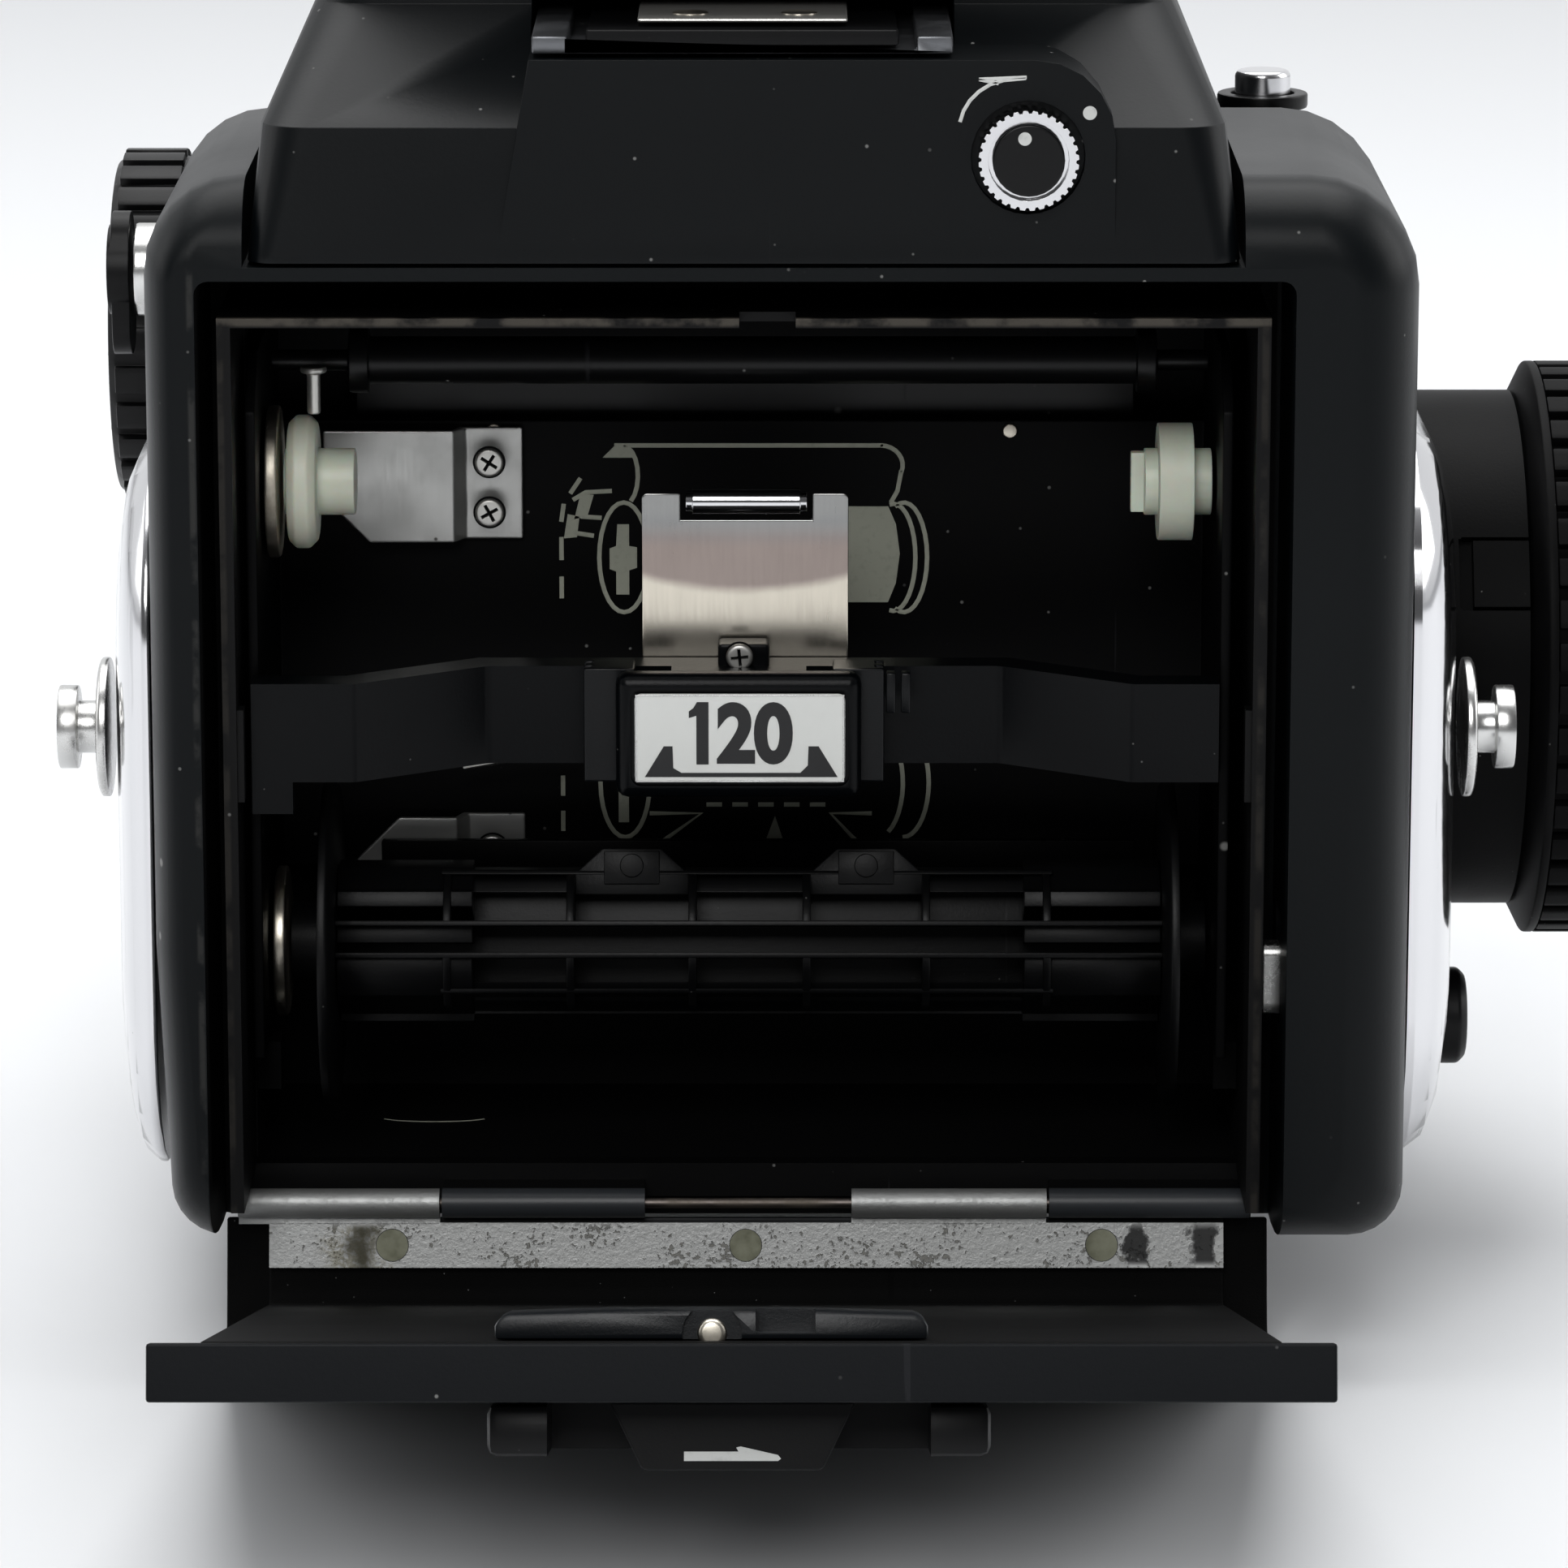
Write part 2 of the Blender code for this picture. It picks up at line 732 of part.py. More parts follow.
def casing_section(y):
    """Cross-section of the casing: rounded shoulders, tapering left side, heel and end edges."""
    rear, front = y + CASE_BACK, CASE_FRONT - y
    blunt = rounding(front, FRONT_ROUND, FRONT_ROUND)
    fall = max(0.0, y - SHOULDER_START) / (CASE_FRONT - SHOULDER_START)
    top = CASE_HEIGHT - (CASE_HEIGHT - CASE_FRONT_HEIGHT) * fall
    left = -CASE_LEFT + blunt + rounding(rear, REAR_SHOULDER, REAR_ROUND_LEFT)
    right = CASE_RIGHT - blunt - rounding(rear, REAR_SHOULDER, REAR_ROUND_RIGHT)
    top_inset = blunt + rounding(rear, REAR_SHOULDER, REAR_SHOULDER)
    low = BASE_PROUD + blunt + rounding(rear, HEEL_LENGTH, HEEL_RISE)
    lower = max(LOWER_CORNER - blunt, CORNER_LEAST)
    return rounded([(left + SIDE_TAPER, low, lower), (right, low, lower),
                    (right, top - top_inset, max(RIGHT_SHOULDER - top_inset, CORNER_LEAST)),
                    (left, top - top_inset, max(LEFT_SHOULDER - top_inset, CORNER_LEAST)),
                    (left, TAPER_HEIGHT, 0.0)], radians(15))


def casing_body():
    """Casing block lofted through its sections from the rear face to the front wall."""
    ends = [radians(angle) for angle in range(0, 91, 15)]
    stations = [-CASE_BACK + REAR_SHOULDER * (1 - cos(turn)) for turn in ends]
    stations += [-CASE_BACK + HEEL_LENGTH * share for share in (0.45, 0.70, 1.0)]
    stations.append(SHOULDER_START)
    stations += [CASE_FRONT - FRONT_ROUND * (1 - cos(turn)) for turn in reversed(ends[::2])]
    return lofted([(y, casing_section(y)) for y in stations], "Y")


def casing():
    """One-piece casing with its pillars, chamber, gate, mirror box and finder seat."""
    case = add("body_shell", casing_body(), black_enamel())
    recess = rounded([(-RECESS_LEFT, -OVERSHOOT, 0.0), (RECESS_RIGHT, -OVERSHOOT, 0.0),
                      (RECESS_RIGHT, RECESS_TOP, RECESS_CORNER),
                      (-RECESS_LEFT, RECESS_TOP, RECESS_CORNER)])
    cut(case, "recess", prism(recess, "Y", -CASE_BACK - OVERSHOOT, RECESS_FACE))
    cut(case, "chamber", prism(rectangle((-CHAMBER_LEFT, CHAMBER_FLOOR),
                                         (CHAMBER_RIGHT, CHAMBER_TOP)), "Y",
                               RECESS_FACE - OVERSHOOT, 0.0))
    for side, wall in (("left", -CHAMBER_LEFT), ("right", CHAMBER_RIGHT)):
        inward = REST_DEPTH if wall < 0 else -REST_DEPTH
        outward = -OVERSHOOT if wall < 0 else OVERSHOOT
        low, high = sorted((wall + inward, wall + outward))
        join(case, f"rest_{side}", box((low, SPOOL_Y - REST_LENGTH / 2, REST_LOW),
                                       (high, SPOOL_Y + REST_LENGTH / 2, REST_LOW + REST_HEIGHT)))
    cut(case, "gate", prism(rectangle((-GATE_WIDTH / 2, AXIS_HEIGHT - GATE_HEIGHT / 2),
                                      (GATE_WIDTH / 2, AXIS_HEIGHT + GATE_HEIGHT / 2)), "Y",
                            -OVERSHOOT, GATE_WALL + OVERSHOOT))
    cut(case, "mirror_box", box((-MIRROR_BOX_HALF, GATE_WALL, MIRROR_BOX_FLOOR),
                                (MIRROR_BOX_HALF, MIRROR_BOX_FRONT, MIRROR_BOX_TOP)))
    cut(case, "mount_bore", prism(circle(MOUNT_BORE, 0.0, AXIS_HEIGHT, 40), "Y",
                                  MIRROR_BOX_FRONT - OVERSHOOT, CASE_FRONT + OVERSHOOT))
    cut_finder_seat(case)
    cut_small_seats(case)
    return case


def cut_finder_seat(case):
    """Flat seat of the finder, the opening under it and the ledge of the focusing screen."""
    cut(case, "finder_seat", box((-FINDER_LEFT - GAP, -CASE_BACK - OVERSHOOT, SEAT_LEVEL),
                                 (FINDER_RIGHT + GAP, FINDER_FRONT + GAP,
                                  CASE_HEIGHT + OVERSHOOT)))
    half = SCREEN_OPENING / 2
    cut(case, "screen_opening", box((-half, SCREEN_OPENING_NEAR, MIRROR_BOX_TOP - OVERSHOOT),
                                    (half, SCREEN_OPENING_FAR - SCREEN_LEDGE * 3,
                                     SEAT_LEVEL + OVERSHOOT)))
    cut(case, "screen_ledge", box((-half - SCREEN_LEDGE, SCREEN_OPENING_NEAR - SCREEN_LEDGE,
                                   SCREEN_SEAT),
                                  (half + SCREEN_LEDGE, SCREEN_OPENING_FAR - SCREEN_LEDGE * 2,
                                   SEAT_LEVEL + OVERSHOOT)))


def cut_small_seats(case):
    """Seats of the base plate, tripod bush, buttons and feeler lever."""
    cut(case, "base_seat", prism(rectangle((-BASE_HALF - GAP, -BASE_NEAR - GAP),
                                           (BASE_HALF + GAP, BASE_FAR + GAP), BASE_CORNER),
                                 "Z", -OVERSHOOT, BASE_THICKNESS + GAP))
    cut(case, "bush_seat", prism(circle(BUSH_RADIUS + GAP, 0.0, BUSH_Y), "Z", 0.0,
                                 BASE_THICKNESS + BUSH_DEPTH + GAP))
    cut(case, "stop_bore", prism(circle(STOP_RADIUS + GAP, STOP_Y, STOP_Z, 24), "X",
                                 CASE_RIGHT - STOP_TRAVEL - GAP, CASE_RIGHT + OVERSHOOT))
    cut(case, "release_seat", prism(circle(RELEASE_COLLAR + GAP, RELEASE_X, RELEASE_Y, 24), "Z",
                                    RELEASE_COLLAR_LOW - GAP, CASE_HEIGHT + OVERSHOOT))
    bottom = RELEASE_TOP - RELEASE_LENGTH - RELEASE_TRAVEL - GAP
    cut(case, "release_bore", prism(circle(RELEASE_RADIUS + GAP, RELEASE_X, RELEASE_Y, 20), "Z",
                                    bottom, CASE_HEIGHT))
    cut(case, "feeler_pocket", box((RECESS_RIGHT - OVERSHOOT,
                                    FEELER_Y - FEELER_RADIUS * 2, FEELER_Z - FEELER_RADIUS * 2),
                                   (RECESS_RIGHT + FEELER_POCKET, FEELER_Y + FEELER_RADIUS * 3,
                                    FEELER_Z + FEELER_LENGTH + FEELER_RADIUS * 2)))


def base_plate():
    plate = add("base_plate", prism(rectangle((-BASE_HALF, -BASE_NEAR), (BASE_HALF, BASE_FAR),
                                              BASE_CORNER - GAP), "Z", 0.0, BASE_THICKNESS),
                black_enamel())
    cut(plate, "bush_hole", prism(circle(BUSH_RADIUS + GAP, 0.0, BUSH_Y), "Z", -OVERSHOOT,
                                  BASE_THICKNESS + OVERSHOOT))
    return plate


def tripod_bush():
    top = BASE_THICKNESS + BUSH_DEPTH
    return add("tripod_bush", lathe([(BUSH_BORE, GAP), (BUSH_RADIUS, GAP), (BUSH_RADIUS, top),
                                     (BUSH_BORE, top)], "Z", (0.0, BUSH_Y, 0.0), 24),
               satin_alloy())


def rear_frame():
    """Light-trap frame: two rails, a notched top lip, a foot bar and the fixed hinge knuckles."""
    outline = rounded([(-RAIL_LEFT, RAIL_FOOT, 0.0), (-RAIL_LEFT, CHAMBER_TOP + LIP_THICKNESS, 0.0),
                       (RAIL_RIGHT, CHAMBER_TOP + LIP_THICKNESS, 0.0), (RAIL_RIGHT, RAIL_FOOT, 0.0),
                       (RAIL_RIGHT - RAIL_THICKNESS, RAIL_FOOT, 0.0),
                       (RAIL_RIGHT - RAIL_THICKNESS, CHAMBER_TOP, 0.0),
                       (-RAIL_LEFT + RAIL_THICKNESS, CHAMBER_TOP, 0.0),
                       (-RAIL_LEFT + RAIL_THICKNESS, RAIL_FOOT, 0.0)])
    frame = add("rear_frame", prism(outline, "Y", -RAIL_BACK, FRAME_FRONT), black_enamel())
    bar_top = RAIL_FOOT + OVERSHOOT / 2
    bar_low = RAIL_FOOT - BAR_HEIGHT
    join(frame, "foot_bar", box((-RAIL_LEFT, FRAME_FRONT - BAR_DEPTH, bar_low),
                                (RAIL_RIGHT, FRAME_FRONT, bar_top)))
    cut(frame, "lip_notch", box((LIP_NOTCH_CENTRE - LIP_NOTCH / 2, -RAIL_BACK - OVERSHOOT,
                                 CHAMBER_TOP - OVERSHOOT),
                                (LIP_NOTCH_CENTRE + LIP_NOTCH / 2, -RAIL_BACK + LIP_NOTCH_DEPTH,
                                 CHAMBER_TOP + LIP_THICKNESS + OVERSHOOT)))
    for side, low, high in (("left", -RAIL_LEFT, -RAIL_LEFT + RAIL_THICKNESS + TAB_REACH),
                            ("right", RAIL_RIGHT - RAIL_THICKNESS - TAB_REACH, RAIL_RIGHT)):
        join(frame, f"tab_{side}", box((low, -RAIL_BACK + GAP, TAB_LOW),
                                       (high, -RAIL_BACK + TAB_DEPTH, TAB_HIGH)))
    for index, end_gap in ((1, GAP / 2), (4, 0.0)):
        low = KNUCKLE_CUTS[index] + GAP / 2
        high = KNUCKLE_CUTS[index + 1] - end_gap
        join(frame, f"knuckle_{index}", prism(circle(KNUCKLE_RADIUS, HINGE_Y, HINGE_Z, 20), "X",
                                              low, high))
        join(frame, f"strap_{index}", box((low, HINGE_Y, HINGE_Z + KNUCKLE_RADIUS
                                           - STRAP_THICKNESS),
                                          (high, FRAME_FRONT - BAR_DEPTH / 2,
                                           HINGE_Z + KNUCKLE_RADIUS - STRAP_THICKNESS / 8)))
    cut(frame, "pin_bore", prism(circle(PIN_RADIUS + PIN_CLEARANCE, HINGE_Y, HINGE_Z, 16), "X",
                                 KNUCKLE_CUTS[0] - OVERSHOOT, KNUCKLE_CUTS[-1] + OVERSHOOT))
    return frame


def hinge_pin():
    return add("hinge_pin", prism(circle(PIN_RADIUS, HINGE_Y, HINGE_Z, 12), "X",
                                  KNUCKLE_CUTS[0], KNUCKLE_CUTS[-1]), bright_steel())


def screen():
    half = SCREEN_OPENING / 2 + SCREEN_LEDGE - GAP
    near = SCREEN_OPENING_NEAR - SCREEN_LEDGE + GAP
    far = SCREEN_OPENING_FAR - SCREEN_LEDGE * 2 - GAP
    return add("focusing_screen", box((-half, near, SCREEN_SEAT + GAP),
                                      (half, far, SCREEN_SEAT + GAP + SCREEN_THICKNESS)),
               clear_glass())


def shutter_curtain():
    half = GATE_WIDTH / 2 + CURTAIN_LAP
    tall = GATE_HEIGHT / 2 + CURTAIN_LAP
    return add("shutter_curtain", box((-half, GATE_WALL + GAP, AXIS_HEIGHT - tall),
                                      (half, GATE_WALL + GAP + CURTAIN_THICKNESS,
                                       AXIS_HEIGHT + tall)), black_rubber())


def mirror():
    """Mirror glass on a backing plate that hinges on a rod along its upper rear edge."""
    pivot = (0.0, MIRROR_HINGE_Y, MIRROR_HINGE_Z)
    half = MIRROR_WIDTH / 2
    tilt = Matrix.Translation(pivot) @ Matrix.Rotation(-MIRROR_TILT, 4, "X")
    glass = box((-half, MIRROR_SET_BACK, 0.0), (half, MIRROR_LENGTH, MIRROR_THICKNESS))
    back = box((-half, 0.0, -GAP - MIRROR_BACKING), (half, MIRROR_LENGTH, -GAP))
    glass.transform(tilt)
    back.transform(tilt)
    add("mirror_glass", glass, chrome(), pivot)
    frame = add("mirror_frame", back, black_plastic(), pivot)
    reach = MIRROR_BOX_HALF - GAP
    join(frame, "hinge_rod", prism(circle(MIRROR_BEARING, pivot[1], pivot[2], 16), "X",
                                   -reach, reach))


# --- back door -----------------------------------------------------------------------------

def door_pivot():
    """Empty on the hinge line; the door's pieces hang on it and are described closed."""
    empty = bpy.data.objects.new("door_pivot", None)
    bpy.context.collection.objects.link(empty)
    place = Vector((0.0, HINGE_Y, HINGE_Z))
    empty.location = place
    empty.rotation_euler = (DOOR_ANGLE, 0.0, 0.0)
    return empty, place


def door_piece(name, shape, material, door):
    piece = add(name, shape, material, door[1], door)
    piece["parent_pivot"] = list(door[1])
    return piece


def door_shell(door):
    """L-shaped door: skin with a raised pan, a foot that curls under, and light traps."""
    foot_end = -CASE_BACK + DOOR_FOOT_LENGTH
    outline = rounded([(-CASE_BACK, DOOR_HIGH, 0.0),
                       (-CASE_BACK, DOOR_FOOT, DOOR_OUTER_CORNER),
                       (foot_end, DOOR_FOOT, 0.0), (foot_end, FOOT_TOP, 0.0),
                       (PAN_FACE, FOOT_TOP, DOOR_INNER_CORNER), (PAN_FACE, DOOR_HIGH, 0.0)])
    shell = door_piece("door_shell", prism(outline, "X", -DOOR_LEFT, DOOR_RIGHT),
                       black_enamel(), door)
    trap = rounded([(-CASE_BACK + DOOR_SKIN, DOOR_HIGH - DOOR_LIP, 0.0),
                    (-CASE_BACK + DOOR_SKIN, DOOR_FOOT + DOOR_TRAP_FLOOR, DOOR_INNER_CORNER),
                    (foot_end + OVERSHOOT, DOOR_FOOT + DOOR_TRAP_FLOOR, 0.0),
                    (foot_end + OVERSHOOT, DOOR_HIGH - DOOR_LIP, 0.0)])
    cut(shell, "trap_left", prism(trap, "X", -DOOR_LEFT - OVERSHOOT, -DOOR_PAN_LEFT))
    cut(shell, "trap_right", prism(trap, "X", DOOR_PAN_RIGHT, DOOR_RIGHT + OVERSHOOT))
    top = DOOR_HIGH - DOOR_LIP
    cut(shell, "trap_top", box((-DOOR_PAN_LEFT - OVERSHOOT, -CASE_BACK + DOOR_SKIN,
                                top - DOOR_TRAP),
                               (DOOR_PAN_RIGHT + OVERSHOOT, PAN_FACE + OVERSHOOT, top)))
    return shell


def door_leaf(door):
    """Bright hinge leaf on the foot's inner face, with its two moving knuckles."""
    low = FOOT_TOP + GAP
    near = HINGE_Y - LEAF_SET_BACK
    sheet = door_piece("door_leaf", box((-DOOR_PAN_LEFT, near - LEAF_WIDTH, low),
                                        (DOOR_PAN_RIGHT, near, low + LEAF_THICKNESS)),
                       satin_alloy(), door)
    for index in (0, 3):
        start = KNUCKLE_CUTS[index] + (GAP / 2 if index else 0.0)
        end = KNUCKLE_CUTS[index + 1] - GAP / 2
        start = max(start, -DOOR_PAN_LEFT)
        join(sheet, f"strap_{index}", box((start, near - GAP, low),
                                          (end, HINGE_Y, low + LEAF_THICKNESS)))
        join(sheet, f"knuckle_{index}", prism(circle(KNUCKLE_RADIUS, HINGE_Y, HINGE_Z, 20), "X",
                                              start, end))
    cut(sheet, "pin_bore", prism(circle(PIN_RADIUS + PIN_CLEARANCE, HINGE_Y, HINGE_Z, 16), "X",
                                 KNUCKLE_CUTS[0] - OVERSHOOT, KNUCKLE_CUTS[-1] + OVERSHOOT))
    return sheet


def latch_frame(door):
    """Raised frame round the sliding key on the door's outer face."""
    outer = -CASE_BACK - GAP
    frame = door_piece("latch_frame",
                       softened(box((-LATCH_HALF, outer - LATCH_HEIGHT, LATCH_LOW),
                                    (LATCH_HALF, outer, LATCH_HIGH)), 0.0006),
                       black_plastic(), door)
    cut(frame, "window", prism(rectangle((-LATCH_HALF + LATCH_RIM_SIDE, LATCH_LOW + LATCH_RIM),
                                         (LATCH_HALF - LATCH_RIM_SIDE, LATCH_HIGH - LATCH_RIM),
                                         0.0010), "Y", outer - LATCH_HEIGHT - OVERSHOOT,
                               outer + OVERSHOOT))
    return frame


def latch_key(door):
    """Trapezoid sliding key that stands out of the latch frame."""
    root = -CASE_BACK - GAP
    tip = root - KEY_HEIGHT
    outline = rounded([(-KEY_ROOT_LEFT, root, 0.0), (-KEY_ROOT_LEFT + KEY_SLOPE, tip, 0.0006),
                       (KEY_ROOT_RIGHT - KEY_SLOPE, tip, 0.0006), (KEY_ROOT_RIGHT, root, 0.0)])
    low = LATCH_LOW + LATCH_RIM + GAP
    high = LATCH_HIGH - LATCH_RIM - GAP
    return door_piece("latch_key", prism(outline, "Z", low, high), black_plastic(), door)


def catch_housing(door):
    """Housing of the latch on the pan, with a pocket and a bright pin in it."""
    base = PAN_FACE + GAP
    top = base + CATCH_THICKNESS
    housing = door_piece("catch_housing",
                         softened(box((-CATCH_LEFT, base, CATCH_LOW),
                                      (CATCH_RIGHT, top, CATCH_HIGH)), 0.0005),
                         black_plastic(), door)
    cut(housing, "pocket", box((-CATCH_POCKET_LEFT, top - CATCH_POCKET_DEPTH,
                                CATCH_LOW + CATCH_RIM),
                               (CATCH_POCKET_RIGHT, top + OVERSHOOT, CATCH_HIGH - CATCH_RIM)))
    floor = top - CATCH_POCKET_DEPTH + GAP
    middle = (CATCH_LOW + CATCH_HIGH) / 2
    door_piece("catch_pin", lathe([(0.0, floor), (CATCH_PIN_RADIUS, floor),
                                   (CATCH_PIN_RADIUS, top - GAP), (0.0, top)], "Y",
                                  (CATCH_PIN_X, 0.0, middle), 20), bright_steel(), door)


# --- film insert ---------------------------------------------------------------------------

def insert_frame():
    """Two side plates on a core plate, as one U-shaped section."""
    left, right = -INSERT_LEFT, INSERT_RIGHT
    plan = rounded([(left, -INSERT_BACK, 0.0), (left + INSERT_PLATE, -INSERT_BACK, 0.0),
                    (left + INSERT_PLATE, -CORE_BACK, 0.0),
                    (right - INSERT_PLATE, -CORE_BACK, 0.0),
                    (right - INSERT_PLATE, -INSERT_BACK, 0.0), (right, -INSERT_BACK, 0.0),
                    (right, -INSERT_FRONT, 0.0), (left, -INSERT_FRONT, 0.0)])
    frame = add("insert_frame", prism(plan, "Z", INSERT_LOW, INSERT_HIGH), black_plastic())
    for name, low, high in (("above", CORE_TOP, INSERT_HIGH + OVERSHOOT),
                            ("below", INSERT_LOW - OVERSHOOT, CORE_BOTTOM)):
        cut(frame, name, box((left + INSERT_PLATE, -CORE_BACK - OVERSHOOT, low),
                             (right - INSERT_PLATE, OVERSHOOT, high)))
    corner = rounded([(-INSERT_BACK - OVERSHOOT, INSERT_HIGH + OVERSHOOT, 0.0),
                      (-INSERT_BACK - OVERSHOOT, INSERT_HIGH - PLATE_NOSE, 0.0),
                      (-INSERT_BACK + PLATE_NOSE, INSERT_HIGH + OVERSHOOT, 0.0)])
    cut(frame, "noses", prism(corner, "X", left - OVERSHOOT, right + OVERSHOOT))
    return frame


def pressure_plate():
    high = AXIS_HEIGHT + PRESSURE_HEIGHT / 2
    front = -INSERT_FRONT + GAP
    return add("pressure_plate", box((-PRESSURE_HALF, front, high - PRESSURE_HEIGHT),
                                     (PRESSURE_HALF, front + PRESSURE_THICKNESS, high)),
               black_enamel())


def insert_bridge():
    """Cranked handle bar of the insert with its hook and the square handle block."""
    back, front = -BRIDGE_BACK, -BRIDGE_BACK + BRIDGE_DEPTH
    deep_back, deep_front = back + BRIDGE_DROP, front + BRIDGE_DROP
    slant = BRIDGE_KNEE + BRIDGE_DEPTH / 4
    elbow = BRIDGE_ELBOW + BRIDGE_DEPTH / 4
    plan = rounded([(-BRIDGE_END_LEFT, back, 0.0), (-BRIDGE_KNEE, back, 0.0008),
                    (-BRIDGE_ELBOW, deep_back, 0.0012), (BRIDGE_ELBOW, deep_back, 0.0012),
                    (BRIDGE_KNEE, back, 0.0008), (BRIDGE_END_RIGHT, back, 0.0),
                    (BRIDGE_END_RIGHT, front, 0.0), (slant, front, 0.0),
                    (elbow, deep_front, 0.0), (-elbow, deep_front, 0.0),
                    (-slant, front, 0.0), (-BRIDGE_END_LEFT, front, 0.0)])
    bridge = add("insert_bridge", prism(plan, "Z", BRIDGE_LOW, BRIDGE_HIGH), black_plastic())
    join(bridge, "hook", box((-BRIDGE_END_LEFT, back, HOOK_LOW),
                             (-BRIDGE_END_LEFT + HOOK_WIDTH, front, BRIDGE_LOW + OVERSHOOT)))
    join(bridge, "block", softened(box((-HANDLE_LEFT, back, HANDLE_LOW),
                                       (HANDLE_RIGHT, back + HANDLE_DEPTH, HANDLE_HIGH)),
                                   HANDLE_CORNER, 3))
    middle = (HANDLE_RIGHT - HANDLE_LEFT) / 2
    join(bridge, "block_core", box((middle - HANDLE_CORE, back + HANDLE_DEPTH / 2, BRIDGE_LOW),
                                   (middle + HANDLE_CORE, deep_back + OVERSHOOT, BRIDGE_HIGH)))
    join(bridge, "clip", softened(box((-CLIP_HALF, BRIDGE_FACE - BRIDGE_DEPTH + GAP,
                                       BRIDGE_HIGH - OVERSHOOT),
                                      (CLIP_HALF, BRIDGE_FACE - GAP, BRIDGE_HIGH
                                       + CLIP_HEIGHT)), 0.0003))
    cut(bridge, "label_pocket", prism(rectangle((-LABEL_LEFT - GAP, LABEL_LOW - GAP),
                                                (LABEL_RIGHT + GAP, LABEL_HIGH + GAP),
                                                LABEL_CORNER + GAP), "Y", back - OVERSHOOT,
                                      back + LABEL_POCKET))
    return bridge


def size_plate():
    front = -BRIDGE_BACK + LABEL_POCKET - GAP
    return add("size_plate", prism(rectangle((-LABEL_LEFT, LABEL_LOW), (LABEL_RIGHT, LABEL_HIGH),
                                             LABEL_CORNER), "Y", front - LABEL_THICKNESS, front),
               satin_alloy())


def pinch_keys():
    """Two ribbed keys that are pinched together beside the handle block."""
    back = -BRIDGE_BACK + HANDLE_DEPTH + GAP
    for side, outer in (("left", -PINCH_LEFT), ("right", PINCH_RIGHT)):
        inner = outer + PINCH_LENGTH if outer < 0 else outer - PINCH_LENGTH
        low, high = sorted((outer, inner))
        pivot = ((low + high) / 2, back + PINCH_DEPTH / 2, (PINCH_LOW + PINCH_HIGH) / 2)
        key = add(f"pinch_key_{side}", box((low, back, PINCH_LOW),
                                           (high, back + PINCH_DEPTH, PINCH_HIGH)),
                  black_plastic(), pivot)
        grooves = [box((outer - PINCH_RIB, back + PINCH_DEPTH * share - PINCH_RIB / 2,
                        PINCH_LOW - OVERSHOOT),
                       (outer + PINCH_RIB, back + PINCH_DEPTH * share + PINCH_RIB / 2,
                        PINCH_HIGH + OVERSHOOT)) for share in PINCH_RIB_PLACES]
        cut(key, "grooves", merged(*grooves))


def spring_leaf():
    """Bright leaf behind the handle block, notched for its roller."""
    front = BRIDGE_FACE + GAP
    outline = rounded([(-LEAF_LEFT, LEAF_BOTTOM, 0.0), (LEAF_RIGHT, LEAF_BOTTOM, 0.0),
                       (LEAF_RIGHT, LEAF_TOP, 0.0004),
                       (LEAF_ROLLER_RIGHT + LEAF_ROLLER_CLEARANCE, LEAF_TOP, 0.0),
                       (LEAF_ROLLER_RIGHT + LEAF_ROLLER_CLEARANCE, LEAF_TOP
                        - LEAF_ROLLER_RADIUS * 2, 0.0),
                       (-LEAF_ROLLER_LEFT - LEAF_ROLLER_CLEARANCE, LEAF_TOP
                        - LEAF_ROLLER_RADIUS * 2, 0.0),
                       (-LEAF_ROLLER_LEFT - LEAF_ROLLER_CLEARANCE, LEAF_TOP, 0.0),
                       (-LEAF_LEFT, LEAF_TOP, 0.0004)])
    return add("spring_leaf", prism(outline, "Y", front, front + LEAF_SHEET), bright_steel())


def leaf_roller():
    centre = (0.0, BRIDGE_FACE + GAP + LEAF_SHEET / 2,
              LEAF_TOP - LEAF_ROLLER_RADIUS + LEAF_ROLLER_CLEARANCE)
    waist = LEAF_ROLLER_RADIUS * 0.8
    step = LEAF_ROLLER_RADIUS * 0.5
    left, right = -LEAF_ROLLER_LEFT, LEAF_ROLLER_RIGHT
    return add("leaf_roller", lathe([(0.0, left), (waist, left), (waist, left + step),
                                     (LEAF_ROLLER_RADIUS, left + step),
                                     (LEAF_ROLLER_RADIUS, right - step), (waist, right - step),
                                     (waist, right), (0.0, right)], "X", centre, 20),
               chrome(), centre)


def guide_roller():
    """Long roller over the supply spool, with a collar and a stub shaft at each end."""
    centre = (0.0, ROLLER_Y, ROLLER_Z)
    left, right = -ROLLER_LEFT, ROLLER_RIGHT
    shaft_left = DISC_FACE
    shaft_right = INSERT_RIGHT - INSERT_PLATE - GAP
    return add("guide_roller", lathe([(0.0, shaft_left), (ROLLER_SHAFT, shaft_left),
                                      (ROLLER_SHAFT, left - COLLAR_WIDTH),
                                      (COLLAR_RADIUS, left - COLLAR_WIDTH),
                                      (COLLAR_RADIUS, left), (ROLLER_RADIUS, left),
                                      (ROLLER_RADIUS, right), (COLLAR_RADIUS, right),
                                      (COLLAR_RADIUS, right + COLLAR_WIDTH),
                                      (ROLLER_SHAFT, right + COLLAR_WIDTH),
                                      (ROLLER_SHAFT, shaft_right), (0.0, shaft_right)],
                                     "X", centre, 16), black_enamel(), centre)


def turned_shape(steps, centre, sides=24):
    """Solid turned along X from (x, radius) steps."""
    profile = [(0.0, steps[0][0])] + [(radius, x) for x, radius in steps] + [(0.0, steps[-1][0])]
    return lathe(profile, "X", centre, sides)


def turned(name, steps, centre, material, sides=24):
    return add(name, turned_shape(steps, centre, sides), material, centre)


